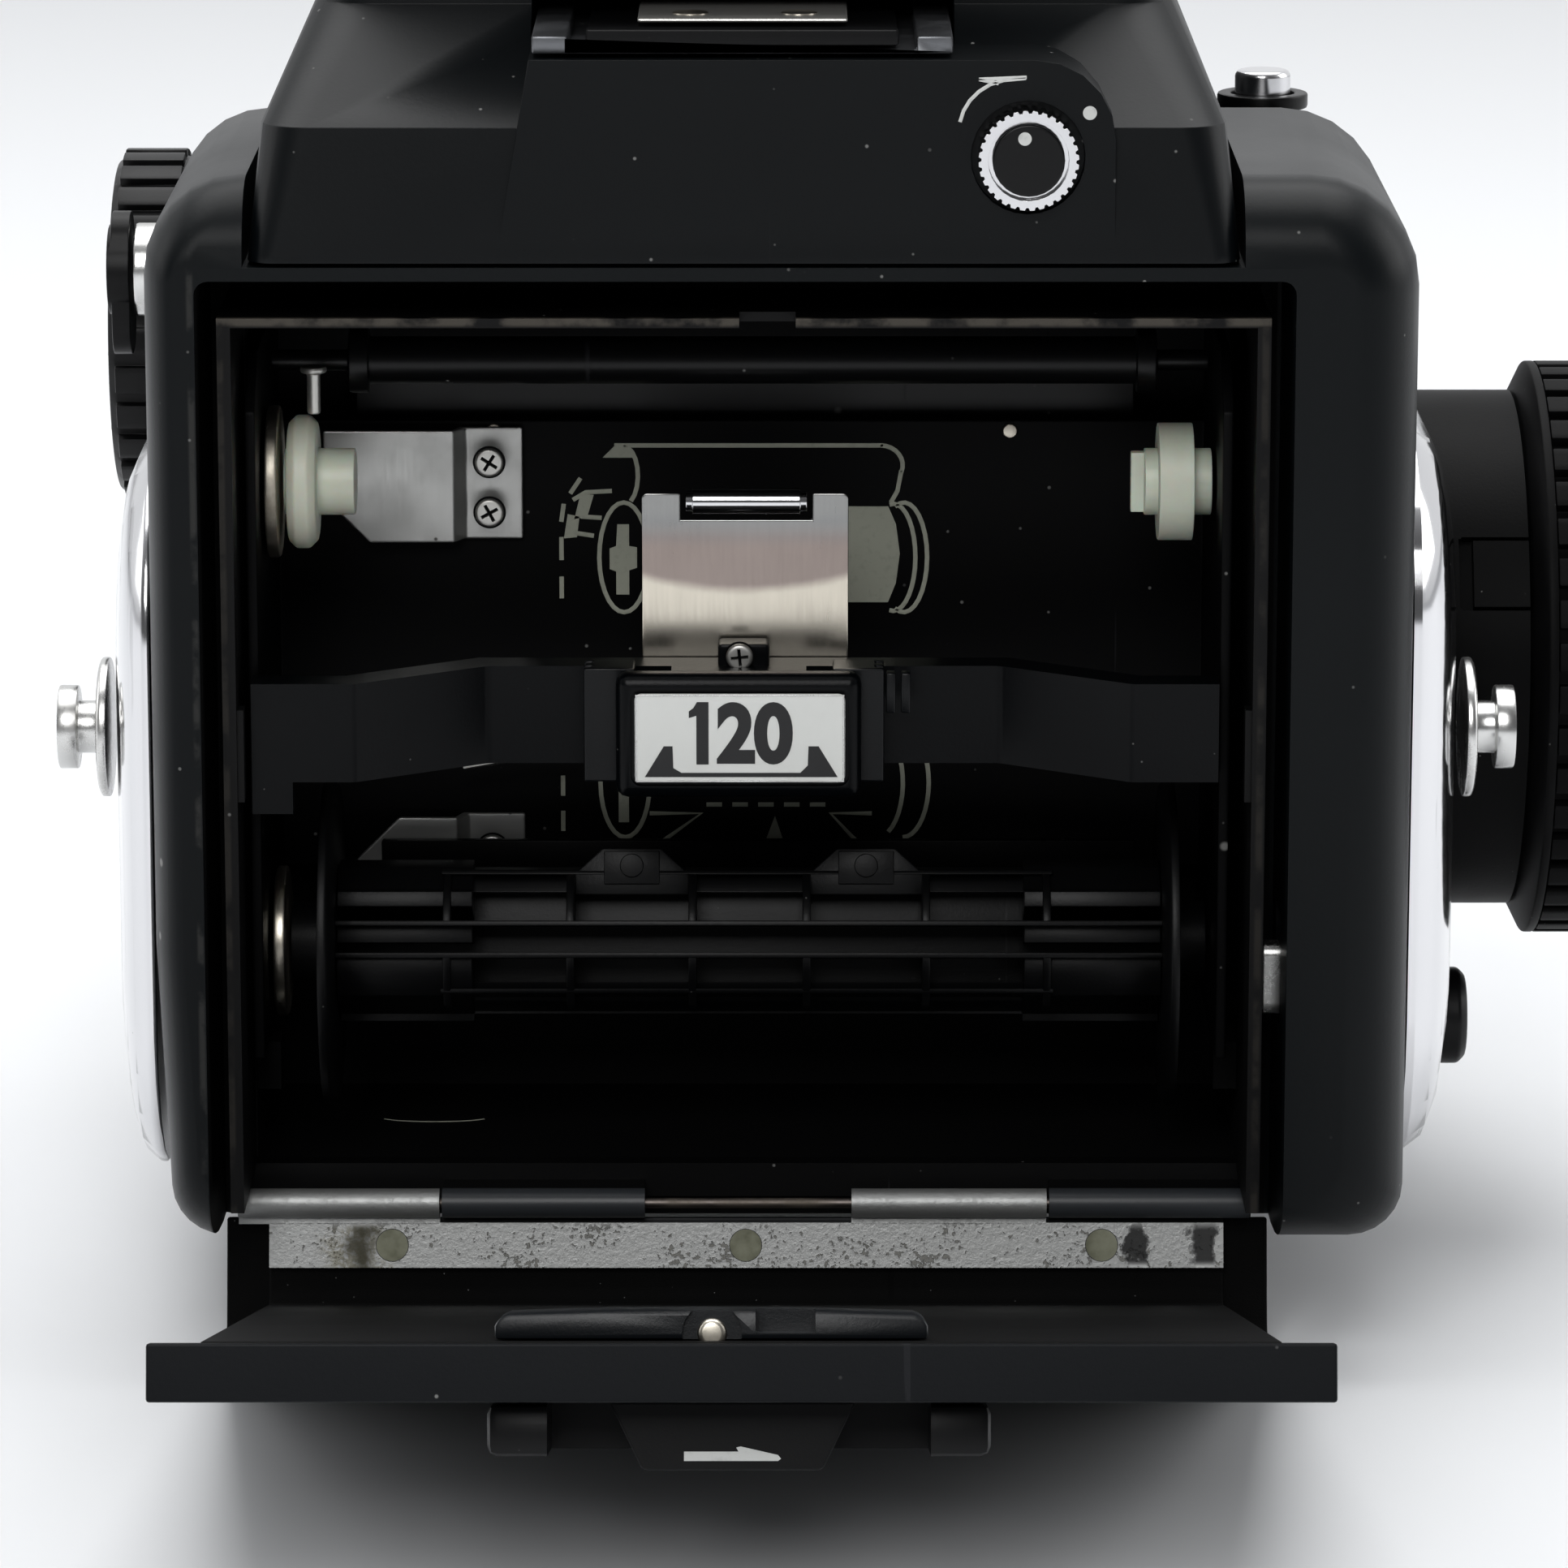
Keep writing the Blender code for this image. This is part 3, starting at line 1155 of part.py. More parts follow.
def pivot_discs():
    """Steel bearing discs of the two spools on the left side plate."""
    steps = [(DISC_FACE, DISC_RADIUS), (DISC_FACE + DISC_THICKNESS, DISC_RADIUS)]
    turned("supply_disc", steps, (0.0, SUPPLY_Y, SUPPLY_Z), bright_steel())
    turned("take_up_disc", steps, (0.0, SPOOL_Y, SPOOL_Z), bright_steel())


def supply_pivots():
    """White wheel on the left, white flanged key on the right, and the holder's post."""
    centre = (0.0, SUPPLY_Y, SUPPLY_Z)
    disc_end = DISC_FACE + DISC_THICKNESS
    wheel = disc_end + GAP * 2
    turned("supply_wheel", [(disc_end + GAP, HUB_RADIUS), (wheel, HUB_RADIUS),
                            (wheel, WHEEL_RADIUS - WHEEL_CHAMFER),
                            (wheel + WHEEL_CHAMFER, WHEEL_RADIUS),
                            (wheel + WHEEL_WIDTH - WHEEL_CHAMFER, WHEEL_RADIUS),
                            (wheel + WHEEL_WIDTH, WHEEL_RADIUS - WHEEL_CHAMFER),
                            (wheel + WHEEL_WIDTH, HUB_RADIUS),
                            (wheel + WHEEL_WIDTH + HUB_LENGTH, HUB_RADIUS)], centre,
           white_plastic())
    wall = INSERT_RIGHT - INSERT_PLATE - GAP
    flange = wall - FLANGE_KEY_BOSS
    key = turned("supply_key", [(flange - FLANGE_KEY_WIDTH - NOSE_LENGTH, HUB_RADIUS),
                                (flange - FLANGE_KEY_WIDTH, HUB_RADIUS),
                                (flange - FLANGE_KEY_WIDTH, FLANGE_KEY_RADIUS),
                                (flange, FLANGE_KEY_RADIUS), (flange, HUB_RADIUS),
                                (wall, HUB_RADIUS)], centre, white_plastic())
    blade = NOSE_LENGTH
    join(key, "blade", box((flange - FLANGE_KEY_WIDTH - NOSE_LENGTH - blade,
                            SUPPLY_Y - blade / 2, SUPPLY_Z - HUB_RADIUS * 0.9),
                           (flange - FLANGE_KEY_WIDTH, SUPPLY_Y + blade / 2,
                            SUPPLY_Z + HUB_RADIUS * 0.9)))
    foot = SUPPLY_Z + WHEEL_RADIUS + GAP
    add("supply_post", lathe([(0.0, foot), (POST_RADIUS, foot), (POST_RADIUS, foot
                                                                 + POST_HEIGHT - POST_RADIUS),
                              (POST_HEAD, foot + POST_HEIGHT - POST_RADIUS),
                              (POST_HEAD, foot + POST_HEIGHT), (0.0, foot + POST_HEIGHT)], "Z",
                             (POST_X, SUPPLY_Y - POST_HEAD, 0.0), 16), bright_steel())


def holder_spring(far, low, high, corner_low):
    """Cranked spring sheet screwed to the core plate, with one corner cut away."""
    seat = -CORE_BACK - GAP
    raised = seat - SPRING_RISE
    plan = rounded([(-far, raised - SPRING_SHEET, 0.0),
                    (-SPRING_STEP, raised - SPRING_SHEET, 0.0),
                    (-SPRING_STEP + SPRING_RISE / 2, seat - SPRING_SHEET, 0.0),
                    (-SPRING_NEAR, seat - SPRING_SHEET, 0.0), (-SPRING_NEAR, seat, 0.0),
                    (-SPRING_STEP + SPRING_RISE / 2 - SPRING_SHEET, seat, 0.0),
                    (-SPRING_STEP - SPRING_SHEET / 2, raised, 0.0), (-far, raised, 0.0)])
    edge, tip = (low, low + SPRING_CORNER) if corner_low else (high, high - SPRING_CORNER)
    away = -OVERSHOOT if corner_low else OVERSHOOT
    wedge = rounded([(-far - OVERSHOOT, edge + away, 0.0),
                     (-far + SPRING_CORNER, edge + away, 0.0),
                     (-far - OVERSHOOT, tip, 0.0)])
    corner = prism(wedge, "Y", raised - OVERSHOOT * 2, seat + OVERSHOOT)
    return prism(plan, "Z", low, high), corner


def holder_springs():
    """The upper spring and its mirror below."""
    middle = (SUPPLY_Z + SPOOL_Z) / 2
    inside_flange = SPOOL_LEFT - FLANGE_THICKNESS - GAP * 2
    for name, far, low, high, corner_low in (
            ("supply_spring", SPRING_FAR, SPRING_LOW, SPRING_HIGH, True),
            ("take_up_spring", inside_flange, 2 * middle - SPRING_HIGH,
             2 * middle - SPRING_LOW, False)):
        outline, corner = holder_spring(far, low, high, corner_low)
        cut(add(name, outline, bright_steel()), "corner", corner)


def take_up_spool():
    """Flanged spool whose ribbed core has windows, a film slot and two gripping teeth."""
    centre = (0.0, SPOOL_Y, SPOOL_Z)
    left, right = -SPOOL_LEFT, SPOOL_RIGHT
    steps = [(DISC_FACE + DISC_THICKNESS + GAP, PIVOT_RADIUS), (left, PIVOT_RADIUS),
             (left, FLANGE_RADIUS), (left + FLANGE_THICKNESS, FLANGE_RADIUS),
             (left + FLANGE_THICKNESS, SPOOL_CORE), (right - FLANGE_THICKNESS, SPOOL_CORE),
             (right - FLANGE_THICKNESS, FLANGE_RADIUS), (right, FLANGE_RADIUS),
             (right, PIVOT_RADIUS), (INSERT_RIGHT - INSERT_PLATE - GAP, PIVOT_RADIUS)]
    spool = turned("take_up_spool", steps, centre, black_plastic(), 32)
    span = WINDOW_COUNT * WINDOW_PITCH
    starts = [SPOOL_CENTRE - span / 2 + WINDOW_PITCH * (index + 0.5) - WINDOW_WIDTH / 2
              for index in range(WINDOW_COUNT)]
    for name, tilt in (("upper", radians(35)), ("lower", radians(-35)),
                       ("far_upper", radians(145)), ("far_lower", radians(-145))):
        windows = merged(*[box((start, -SPOOL_CORE - OVERSHOOT, -WINDOW_HEIGHT / 2),
                               (start + WINDOW_WIDTH, -SPOOL_CORE + WINDOW_DEPTH,
                                WINDOW_HEIGHT / 2)) for start in starts])
        windows.transform(Matrix.Translation(centre) @ Matrix.Rotation(-tilt, 4, "X"))
        cut(spool, f"windows_{name}", windows)
    for name, side in (("slot", -1), ("slot_far", 1)):
        low, high = sorted((side * (SPOOL_CORE + OVERSHOOT), side * (SPOOL_CORE - SLOT_DEPTH)))
        cut(spool, name, box((left + FLANGE_THICKNESS + OVERSHOOT, SPOOL_Y + low,
                              SPOOL_Z - SPOOL_SLOT / 2),
                             (right - FLANGE_THICKNESS - OVERSHOOT, SPOOL_Y + high,
                              SPOOL_Z + SPOOL_SLOT / 2)))
    for index, place in enumerate((SPOOL_CENTRE - WINDOW_PITCH, SPOOL_CENTRE + WINDOW_PITCH)):
        tooth = rounded([(place - TOOTH_LENGTH / 2, SPOOL_Z, 0.0),
                         (place + TOOTH_LENGTH / 2, SPOOL_Z, 0.0),
                         (place + TOOTH_LENGTH / 2 - TOOTH_HEIGHT,
                          SPOOL_Z + SPOOL_CORE + TOOTH_HEIGHT, 0.0),
                         (place - TOOTH_LENGTH / 2 + TOOTH_HEIGHT,
                          SPOOL_Z + SPOOL_CORE + TOOTH_HEIGHT, 0.0)])
        join(spool, f"tooth_{index}", prism(tooth, "Y", SPOOL_Y - TOOTH_DEPTH / 2,
                                            SPOOL_Y + TOOTH_DEPTH / 2))
    return spool


# --- finder --------------------------------------------------------------------------------

def at_height(profile, height):
    """Value at a height on a profile of (height, value) points, straight between them."""
    for (low, start), (high, end) in zip(profile, profile[1:]):
        if height <= high:
            return start + (end - start) * (height - low) / (high - low)
    return profile[-1][1]


def finder_section(height):
    """Plan section of the finder: upright foot, flared shoulder, then the narrowing hood."""
    rear = at_height(((FINDER_BOTTOM, -CASE_BACK), (PANEL_BOTTOM, -CASE_BACK),
                      (FINDER_BEND, -CASE_BACK + FINDER_BEND_BACK), (HOOD_FOOT, -HOOD_BACK)),
                     height)
    front = at_height(((FINDER_BOTTOM, FINDER_FRONT), (HOOD_NOSE, FINDER_FRONT),
                       (HOOD_TOP, HOOD_TOP_FRONT)), height)
    inward = at_height(((FINDER_BOTTOM, 0.0), (FINDER_BEND, FINDER_BEND_IN),
                        (HOOD_FOOT, HOOD_IN), (HOOD_TOP, FINDER_RIGHT - HOOD_TOP_HALF)), height)
    corner = at_height(((FINDER_BOTTOM, FINDER_CORNERS[0]), (HOOD_FOOT, FINDER_CORNERS[1])),
                       height)
    blunt = rounding(HOOD_TOP - height, HOOD_CORNER, HOOD_CORNER)
    return rectangle((-FINDER_LEFT + inward + blunt, rear + blunt),
                     (FINDER_RIGHT - inward - blunt, front - blunt),
                     max(corner - blunt, CORNER_LEAST))


def finder_housing():
    """Prism housing lofted through its plan sections, with the raised panel and the channel."""
    heights = [FINDER_BOTTOM, PANEL_BOTTOM, FINDER_BEND, HOOD_NOSE, HOOD_FOOT]
    heights += [HOOD_TOP - HOOD_CORNER * (1 - sin(radians(angle))) for angle in range(0, 91, 15)]
    housing = add("finder_housing", lofted([(z, finder_section(z)) for z in heights], "Z"),
                  black_enamel())
    panel = rounded([(-PANEL_LEFT, PANEL_BOTTOM, 0.0), (PANEL_RIGHT, PANEL_BOTTOM, 0.0),
                     (PANEL_RIGHT, PANEL_TOP, PANEL_CORNER),
                     (-PANEL_LEFT + PANEL_LEAN, PANEL_TOP, 0.0)])
    join(housing, "panel", prism(panel, "Y", -CASE_BACK + GAP / 3, -HOOD_BACK + OVERSHOOT))
    cut(housing, "channel", box((-CHANNEL_HALF, -CASE_BACK + OVERSHOOT, PANEL_TOP),
                                (CHANNEL_HALF, CHANNEL_END, CHANNEL_ROOF)))
    cut(housing, "eyepiece_pocket",
        prism(rectangle((-EYEPIECE_HALF + EYEPIECE_RIM, EYEPIECE_Z - EYEPIECE_HEIGHT / 2
                         + EYEPIECE_RIM),
                        (EYEPIECE_HALF - EYEPIECE_RIM, EYEPIECE_Z + EYEPIECE_HEIGHT / 2
                         - EYEPIECE_RIM), EYEGLASS_CORNER), "Y", -HOOD_BACK - OVERSHOOT,
              -HOOD_BACK + EYEPIECE_POCKET))
    cut(housing, "lock_recess", prism(circle(LOCK_RECESS, LOCK_X, LOCK_Z, 28), "Y",
                                      -CASE_BACK - OVERSHOOT, -CASE_BACK + LOCK_RECESS_DEPTH))
    return housing


def eyepiece():
    """Rectangular eyepiece frame on the hood and the glass in its pocket."""
    back = -HOOD_BACK - GAP
    half, tall = EYEPIECE_HALF, EYEPIECE_HEIGHT / 2
    frame = add("eyepiece_frame", prism(rectangle((-half, EYEPIECE_Z - tall),
                                                  (half, EYEPIECE_Z + tall), EYEPIECE_CORNER),
                                        "Y", back - EYEPIECE_DEPTH, back), black_rubber())
    cut(frame, "window", prism(rectangle((-half + EYEPIECE_RIM, EYEPIECE_Z - tall
                                          + EYEPIECE_RIM),
                                         (half - EYEPIECE_RIM, EYEPIECE_Z + tall
                                          - EYEPIECE_RIM), EYEGLASS_CORNER), "Y",
                               back - EYEPIECE_DEPTH - OVERSHOOT, back + OVERSHOOT))
    deep = -HOOD_BACK + EYEPIECE_POCKET - GAP
    add("eyepiece_glass", prism(rectangle((-half + EYEPIECE_RIM + GAP, EYEPIECE_Z - tall
                                           + EYEPIECE_RIM + GAP),
                                          (half - EYEPIECE_RIM - GAP, EYEPIECE_Z + tall
                                           - EYEPIECE_RIM - GAP), EYEGLASS_CORNER - GAP), "Y",
                                deep - EYEGLASS_THICKNESS, deep), clear_glass())


def accessory_channel():
    """Two bright rails, the black shoe block between them and its riveted spring sheet."""
    start = -CASE_BACK + OVERSHOOT
    end = CHANNEL_END - GAP
    floor = PANEL_TOP + GAP
    top = floor + CHANNEL_RAIL_HEIGHT
    outer = CHANNEL_HALF - GAP
    inner = outer - CHANNEL_RAIL
    web = floor + CHANNEL_WEB
    section = rounded([(-outer, floor, 0.0), (outer, floor, 0.0), (outer, top, 0.0),
                       (inner, top, 0.0), (inner, web, 0.0), (-inner, web, 0.0),
                       (-inner, top, 0.0), (-outer, top, 0.0)])
    add("shoe_rails", prism(section, "Y", start, end), satin_alloy())
    seat = web + GAP
    block = add("shoe_block", box((-SHOE_HALF, start, seat), (SHOE_HALF, end,
                                                              seat + SHOE_HEIGHT)),
                black_plastic())
    join(block, "lip", box((-SHOE_HALF, start, seat), (SHOE_HALF, start + SHOE_LIP,
                                                       seat + SHOE_LIP)))
    sheet_low = seat + SHOE_HEIGHT + GAP
    add("shoe_sheet", box((-SHEET_HALF, SHEET_START, sheet_low),
                          (SHEET_HALF, end, sheet_low + SHEET_THICKNESS)), bright_steel())


def finder_lock():
    """Knurled lock knob in its round recess, with a black cap in its dished face."""
    pivot = (LOCK_X, -CASE_BACK, LOCK_Z)
    floor = -CASE_BACK + LOCK_RECESS_DEPTH - GAP
    face = floor - LOCK_HEIGHT
    knob = add("lock_knob", prism(ribbed(LOCK_RADIUS, LOCK_TOOTH, LOCK_TEETH, LOCK_X, LOCK_Z),
                                  "Y", face, floor), chrome(), pivot)
    cut(knob, "cup", prism(circle(LOCK_CUP, LOCK_X, LOCK_Z, 28), "Y", face - OVERSHOOT,
                           face + LOCK_CUP_DEPTH))
    seat = face + LOCK_CUP_DEPTH - GAP
    add("lock_cap", prism(circle(LOCK_CAP, LOCK_X, LOCK_Z, 28), "Y", seat - LOCK_CAP_HEIGHT,
                          seat), black_plastic(), pivot)


# --- sides ---------------------------------------------------------------------------------

def side_plates():
    """Polished crowned plates, cut out for the dial on the left and the grip on the right."""
    outline = rectangle((PLATE_NEAR, LEFT_PLATE_LOW), (PLATE_FAR, LEFT_PLATE_HIGH), PLATE_CORNER)
    centre = ((PLATE_NEAR + PLATE_FAR) / 2, (LEFT_PLATE_LOW + LEFT_PLATE_HIGH) / 2)
    left = add("side_plate_left", crowned(outline, centre, LEFT_SIDE, PLATE_RIM,
                                          LEFT_PLATE_CROWN, -1), chrome())
    cut(left, "dial_hole", prism(circle(DIAL_RADIUS + GAP * 2, DIAL_Y, DIAL_Z, 28), "X",
                                 LEFT_SIDE - LEFT_PLATE_CROWN - OVERSHOOT,
                                 LEFT_SIDE + OVERSHOOT))
    outline = rectangle((PLATE_NEAR, RIGHT_PLATE_LOW), (PLATE_FAR, RIGHT_PLATE_HIGH),
                        PLATE_CORNER)
    centre = (centre[0], (RIGHT_PLATE_LOW + RIGHT_PLATE_HIGH) / 2)
    right = add("side_plate_right", crowned(outline, centre, RIGHT_SIDE, PLATE_RIM,
                                            RIGHT_PLATE_CROWN, 1), chrome())
    for name, radius, y, z in (("grip_hole", WIND_NECK, WIND_Y, WIND_Z),
                               ("stop_hole", STOP_RADIUS, STOP_Y, STOP_Z)):
        cut(right, name, prism(circle(radius + GAP, y, z, 28), "X", RIGHT_SIDE - OVERSHOOT,
                               RIGHT_SIDE + RIGHT_PLATE_CROWN + OVERSHOOT))


def strap_lugs():
    """Turned mushroom lugs on the crown of each side plate."""
    for name, base, side in (("strap_lug_left", LEFT_SIDE - LEFT_PLATE_CROWN - GAP, -1),
                             ("strap_lug_right", RIGHT_SIDE + RIGHT_PLATE_CROWN + GAP, 1)):
        steps = [(base, LUG_BASE_RADIUS), (base + side * LUG_BASE, LUG_BASE_RADIUS),
                 (base + side * LUG_BASE, LUG_NECK_RADIUS),
                 (base + side * (LUG_BASE + LUG_NECK), LUG_NECK_RADIUS),
                 (base + side * (LUG_BASE + LUG_NECK), LUG_HEAD_RADIUS),
                 (base + side * (LUG_BASE + LUG_NECK + LUG_HEAD), LUG_HEAD_RADIUS)]
        turned(name, steps, (0.0, LUG_Y, LUG_Z), satin_alloy(), 20)


def left_dial():
    """Large ribbed dial with a shallow dished face."""
    outer = LEFT_SIDE - DIAL_HEIGHT
    dial = add("speed_dial", prism(ribbed(DIAL_RADIUS, DIAL_RIB, DIAL_RIBS, DIAL_Y, DIAL_Z), "X",
                                   outer, LEFT_SIDE), black_plastic(), (0.0, DIAL_Y, DIAL_Z))
    cut(dial, "dish", prism(circle(DIAL_DISH, DIAL_Y, DIAL_Z, 40), "X", outer - OVERSHOOT,
                            outer + DIAL_DISH_DEPTH))


def mode_lever():
    """Small disc with a two-ended lever plate, on a bright collar."""
    centre = (0.0, LEVER_Y, LEVER_Z)
    collar = LEFT_SIDE - LEVER_COLLAR_WIDTH
    turned("lever_collar", [(LEFT_SIDE, LEVER_COLLAR), (collar, LEVER_COLLAR)], centre,
           satin_alloy())
    face = collar - GAP
    lever = turned("mode_lever", [(face, LEVER_RADIUS), (face - LEVER_WIDTH, LEVER_RADIUS)],
                   centre, black_plastic())
    join(lever, "arm", prism(rectangle((LEVER_Y - LEVER_ARM_HALF, LEVER_Z - LEVER_ARM_DOWN),
                                       (LEVER_Y + LEVER_ARM_HALF, LEVER_Z + LEVER_ARM_UP),
                                       LEVER_ARM_HALF * 0.9), "X", face - LEVER_ARM_WIDTH, face))


def winding_side():
    """Round collar with a raised tab, the ribbed winding knob on it, and the stop button."""
    centre = (0.0, WIND_Y, WIND_Z)
    neck_end = RIGHT_SIDE + WIND_NECK_LENGTH
    collar = add("winding_collar", prism(circle(WIND_NECK, WIND_Y, WIND_Z, 48), "X", RIGHT_SIDE,
                                         neck_end), black_plastic())
    tab = box((neck_end - GAP - WIND_TAB_LENGTH, -WIND_NECK - WIND_TAB_RISE,
               -WIND_TAB_HEIGHT / 2),
              (neck_end - GAP, -WIND_NECK + OVERSHOOT * 2, WIND_TAB_HEIGHT / 2))
    tab.transform(Matrix.Translation(centre)
                  @ Matrix.Rotation(-asin(WIND_TAB_Z / WIND_NECK), 4, "X"))
    join(collar, "tab", tab)
    start = neck_end + GAP
    end = start + WIND_LENGTH
    knob = add("winding_knob", prism(ribbed(WIND_RADIUS, WIND_RIB, WIND_RIBS, WIND_Y, WIND_Z),
                                     "X", start, end), black_plastic(), centre)
    cut(knob, "dish", prism(circle(WIND_DISH, WIND_Y, WIND_Z, 32), "X", end - WIND_DISH_DEPTH,
                            end + OVERSHOOT))
    place = (0.0, STOP_Y, STOP_Z)
    turned("stop_button", [(RIGHT_SIDE, STOP_RADIUS), (RIGHT_SIDE + STOP_LENGTH - GAP * 2,
                                                       STOP_RADIUS),
                           (RIGHT_SIDE + STOP_LENGTH, STOP_RADIUS - GAP * 2)], place,
           black_plastic(), 24)


def release_button():
    """Shutter release in its collar on the right shoulder."""
    place = (RELEASE_X, RELEASE_Y, 0.0)
    low = RELEASE_COLLAR_LOW
    high = low + RELEASE_COLLAR_HEIGHT
    add("release_collar", lathe([(RELEASE_RADIUS + GAP, low), (RELEASE_COLLAR, low),
                                 (RELEASE_COLLAR, high), (RELEASE_RADIUS + GAP, high)], "Z",
                                place, 28), black_plastic())
    bottom = RELEASE_TOP - RELEASE_LENGTH
    add("release_button", lathe([(0.0, bottom), (RELEASE_RADIUS, bottom),
                                 (RELEASE_RADIUS, RELEASE_TOP - GAP),
                                 (RELEASE_RADIUS - GAP, RELEASE_TOP), (0.0, RELEASE_TOP)], "Z",
                                place, 24), chrome(), (RELEASE_X, RELEASE_Y, RELEASE_TOP))


def feeler():
    """Round-ended sprung lever between the right rail and the pillar."""
    pivot = (RAIL_RIGHT + GAP + FEELER_WIDTH / 2, FEELER_Y, FEELER_Z)
    outline = rectangle((FEELER_Y - FEELER_RADIUS, FEELER_Z - FEELER_RADIUS),
                        (FEELER_Y + FEELER_RADIUS, FEELER_Z + FEELER_LENGTH),
                        FEELER_RADIUS * 0.98)
    return add("feeler_lever", prism(outline, "X", pivot[0] - FEELER_WIDTH / 2,
                                     RECESS_RIGHT + FEELER_POCKET - GAP), satin_alloy(), pivot)


# --- lens ----------------------------------------------------------------------------------

def lens():
    """Mount ring, barrel, aperture and focus rings, and the front group that slides."""
    centre = (0.0, 0.0, AXIS_HEIGHT)
    add("lens_mount_ring", lathe([(MOUNT_BORE, MOUNT_FACE), (MOUNT_RADIUS, MOUNT_FACE),
                                  (MOUNT_RADIUS, MOUNT_FACE + MOUNT_THICKNESS),
                                  (MOUNT_BORE, MOUNT_FACE + MOUNT_THICKNESS)], "Y", centre, 32),
        chrome())
    flange_end = BARREL_BACK + BARREL_FLANGE
    rings_end = flange_end + GAP + APERTURE_WIDTH + GAP + FOCUS_WIDTH
    bore = TUBE_RADIUS - TUBE_WALL
    barrel = add("lens_barrel", lathe([(bore, BARREL_BACK), (BARREL_RADIUS, BARREL_BACK),
                                       (BARREL_RADIUS, flange_end), (TUBE_RADIUS, flange_end),
                                       (TUBE_RADIUS, rings_end), (bore, rings_end)], "Y", centre,
                                      32), black_enamel())
    join(barrel, "rear_seat", lathe([(REAR_SEAT_BORE + GAP, BARREL_BACK),
                                     (bore + GAP, BARREL_BACK),
                                     (bore + GAP, BARREL_BACK + BARREL_FLANGE / 2),
                                     (REAR_SEAT_BORE + GAP, BARREL_BACK
                                      + BARREL_FLANGE / 2)], "Y", centre, 32))
    start = flange_end + GAP
    for name, radius, width, ribs in (("aperture_ring", APERTURE_RADIUS, APERTURE_WIDTH,
                                       APERTURE_RIBS),
                                      ("focus_ring", FOCUS_RADIUS, FOCUS_WIDTH, FOCUS_RIBS)):
        ring = add(name, prism(ribbed(radius, GRIP_RIB, ribs, 0.0, AXIS_HEIGHT), "Y", start,
                               start + width), black_rubber(), (0.0, start, AXIS_HEIGHT))
        cut(ring, "bore", prism(circle(TUBE_RADIUS + GAP, 0.0, AXIS_HEIGHT, 32), "Y",
                                start - OVERSHOOT, start + width + OVERSHOOT))
        start += width + GAP
    front = rings_end + GAP
    end = front + FRONT_WIDTH
    add("front_cell", lathe([(FRONT_BORE - TUBE_WALL, front), (FRONT_RADIUS, front),
                             (FRONT_RADIUS, end), (FRONT_CONE, end),
                             (FRONT_BORE + GAP, end - FRONT_WIDTH * 0.6),
                             (FRONT_BORE + GAP, front + TUBE_WALL),
                             (FRONT_BORE - TUBE_WALL, front + TUBE_WALL)], "Y", centre, 32),
        black_enamel())
    glass_seat = front + TUBE_WALL + GAP
    add("front_glass", lens_element(centre, FRONT_BORE, glass_seat), clear_glass())


def lens_element(centre, radius, seat):
    """Glass disc with a crowned front face."""
    face = seat + GLASS_EDGE
    crown = [(radius * cos(turn), face + GLASS_CROWN * sin(turn))
             for turn in (radians(angle) for angle in range(0, 90, 18))]
    return lathe([(0.0, seat), (radius, seat)] + crown + [(0.0, face + GLASS_CROWN)], "Y",
                 centre, 32)


def build():
    clear_scene()
    casing()
    base_plate()
    tripod_bush()
    rear_frame()
    hinge_pin()
    screen()
    shutter_curtain()
    mirror()
    door = door_pivot()
    door_shell(door)
    door_leaf(door)
    latch_frame(door)
    latch_key(door)
    catch_housing(door)
    insert_frame()
    pressure_plate()
    insert_bridge()
    size_plate()
    pinch_keys()
    spring_leaf()
    leaf_roller()
    guide_roller()
    pivot_discs()
    supply_pivots()
    holder_springs()
    take_up_spool()
    finder_housing()
    eyepiece()
    accessory_channel()
    finder_lock()
    side_plates()
    strap_lugs()
    left_dial()
    mode_lever()
    winding_side()
    release_button()
    feeler()
    lens()


build()
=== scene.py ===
"""Looks of a medium-format reflex camera with its back door open.

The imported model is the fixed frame. This script gives every solid its finish, adds the small
pieces that lie on the solids (screws, rivets, printed marks, scales) and sets the floor, the
light and the camera. Everything is in metres, +Z up, +Y out through the lens.
"""

import logging
import math
from dataclasses import dataclass
from enum import Enum
from typing import ClassVar

import bmesh
import bpy
from mathutils import Matrix, Vector


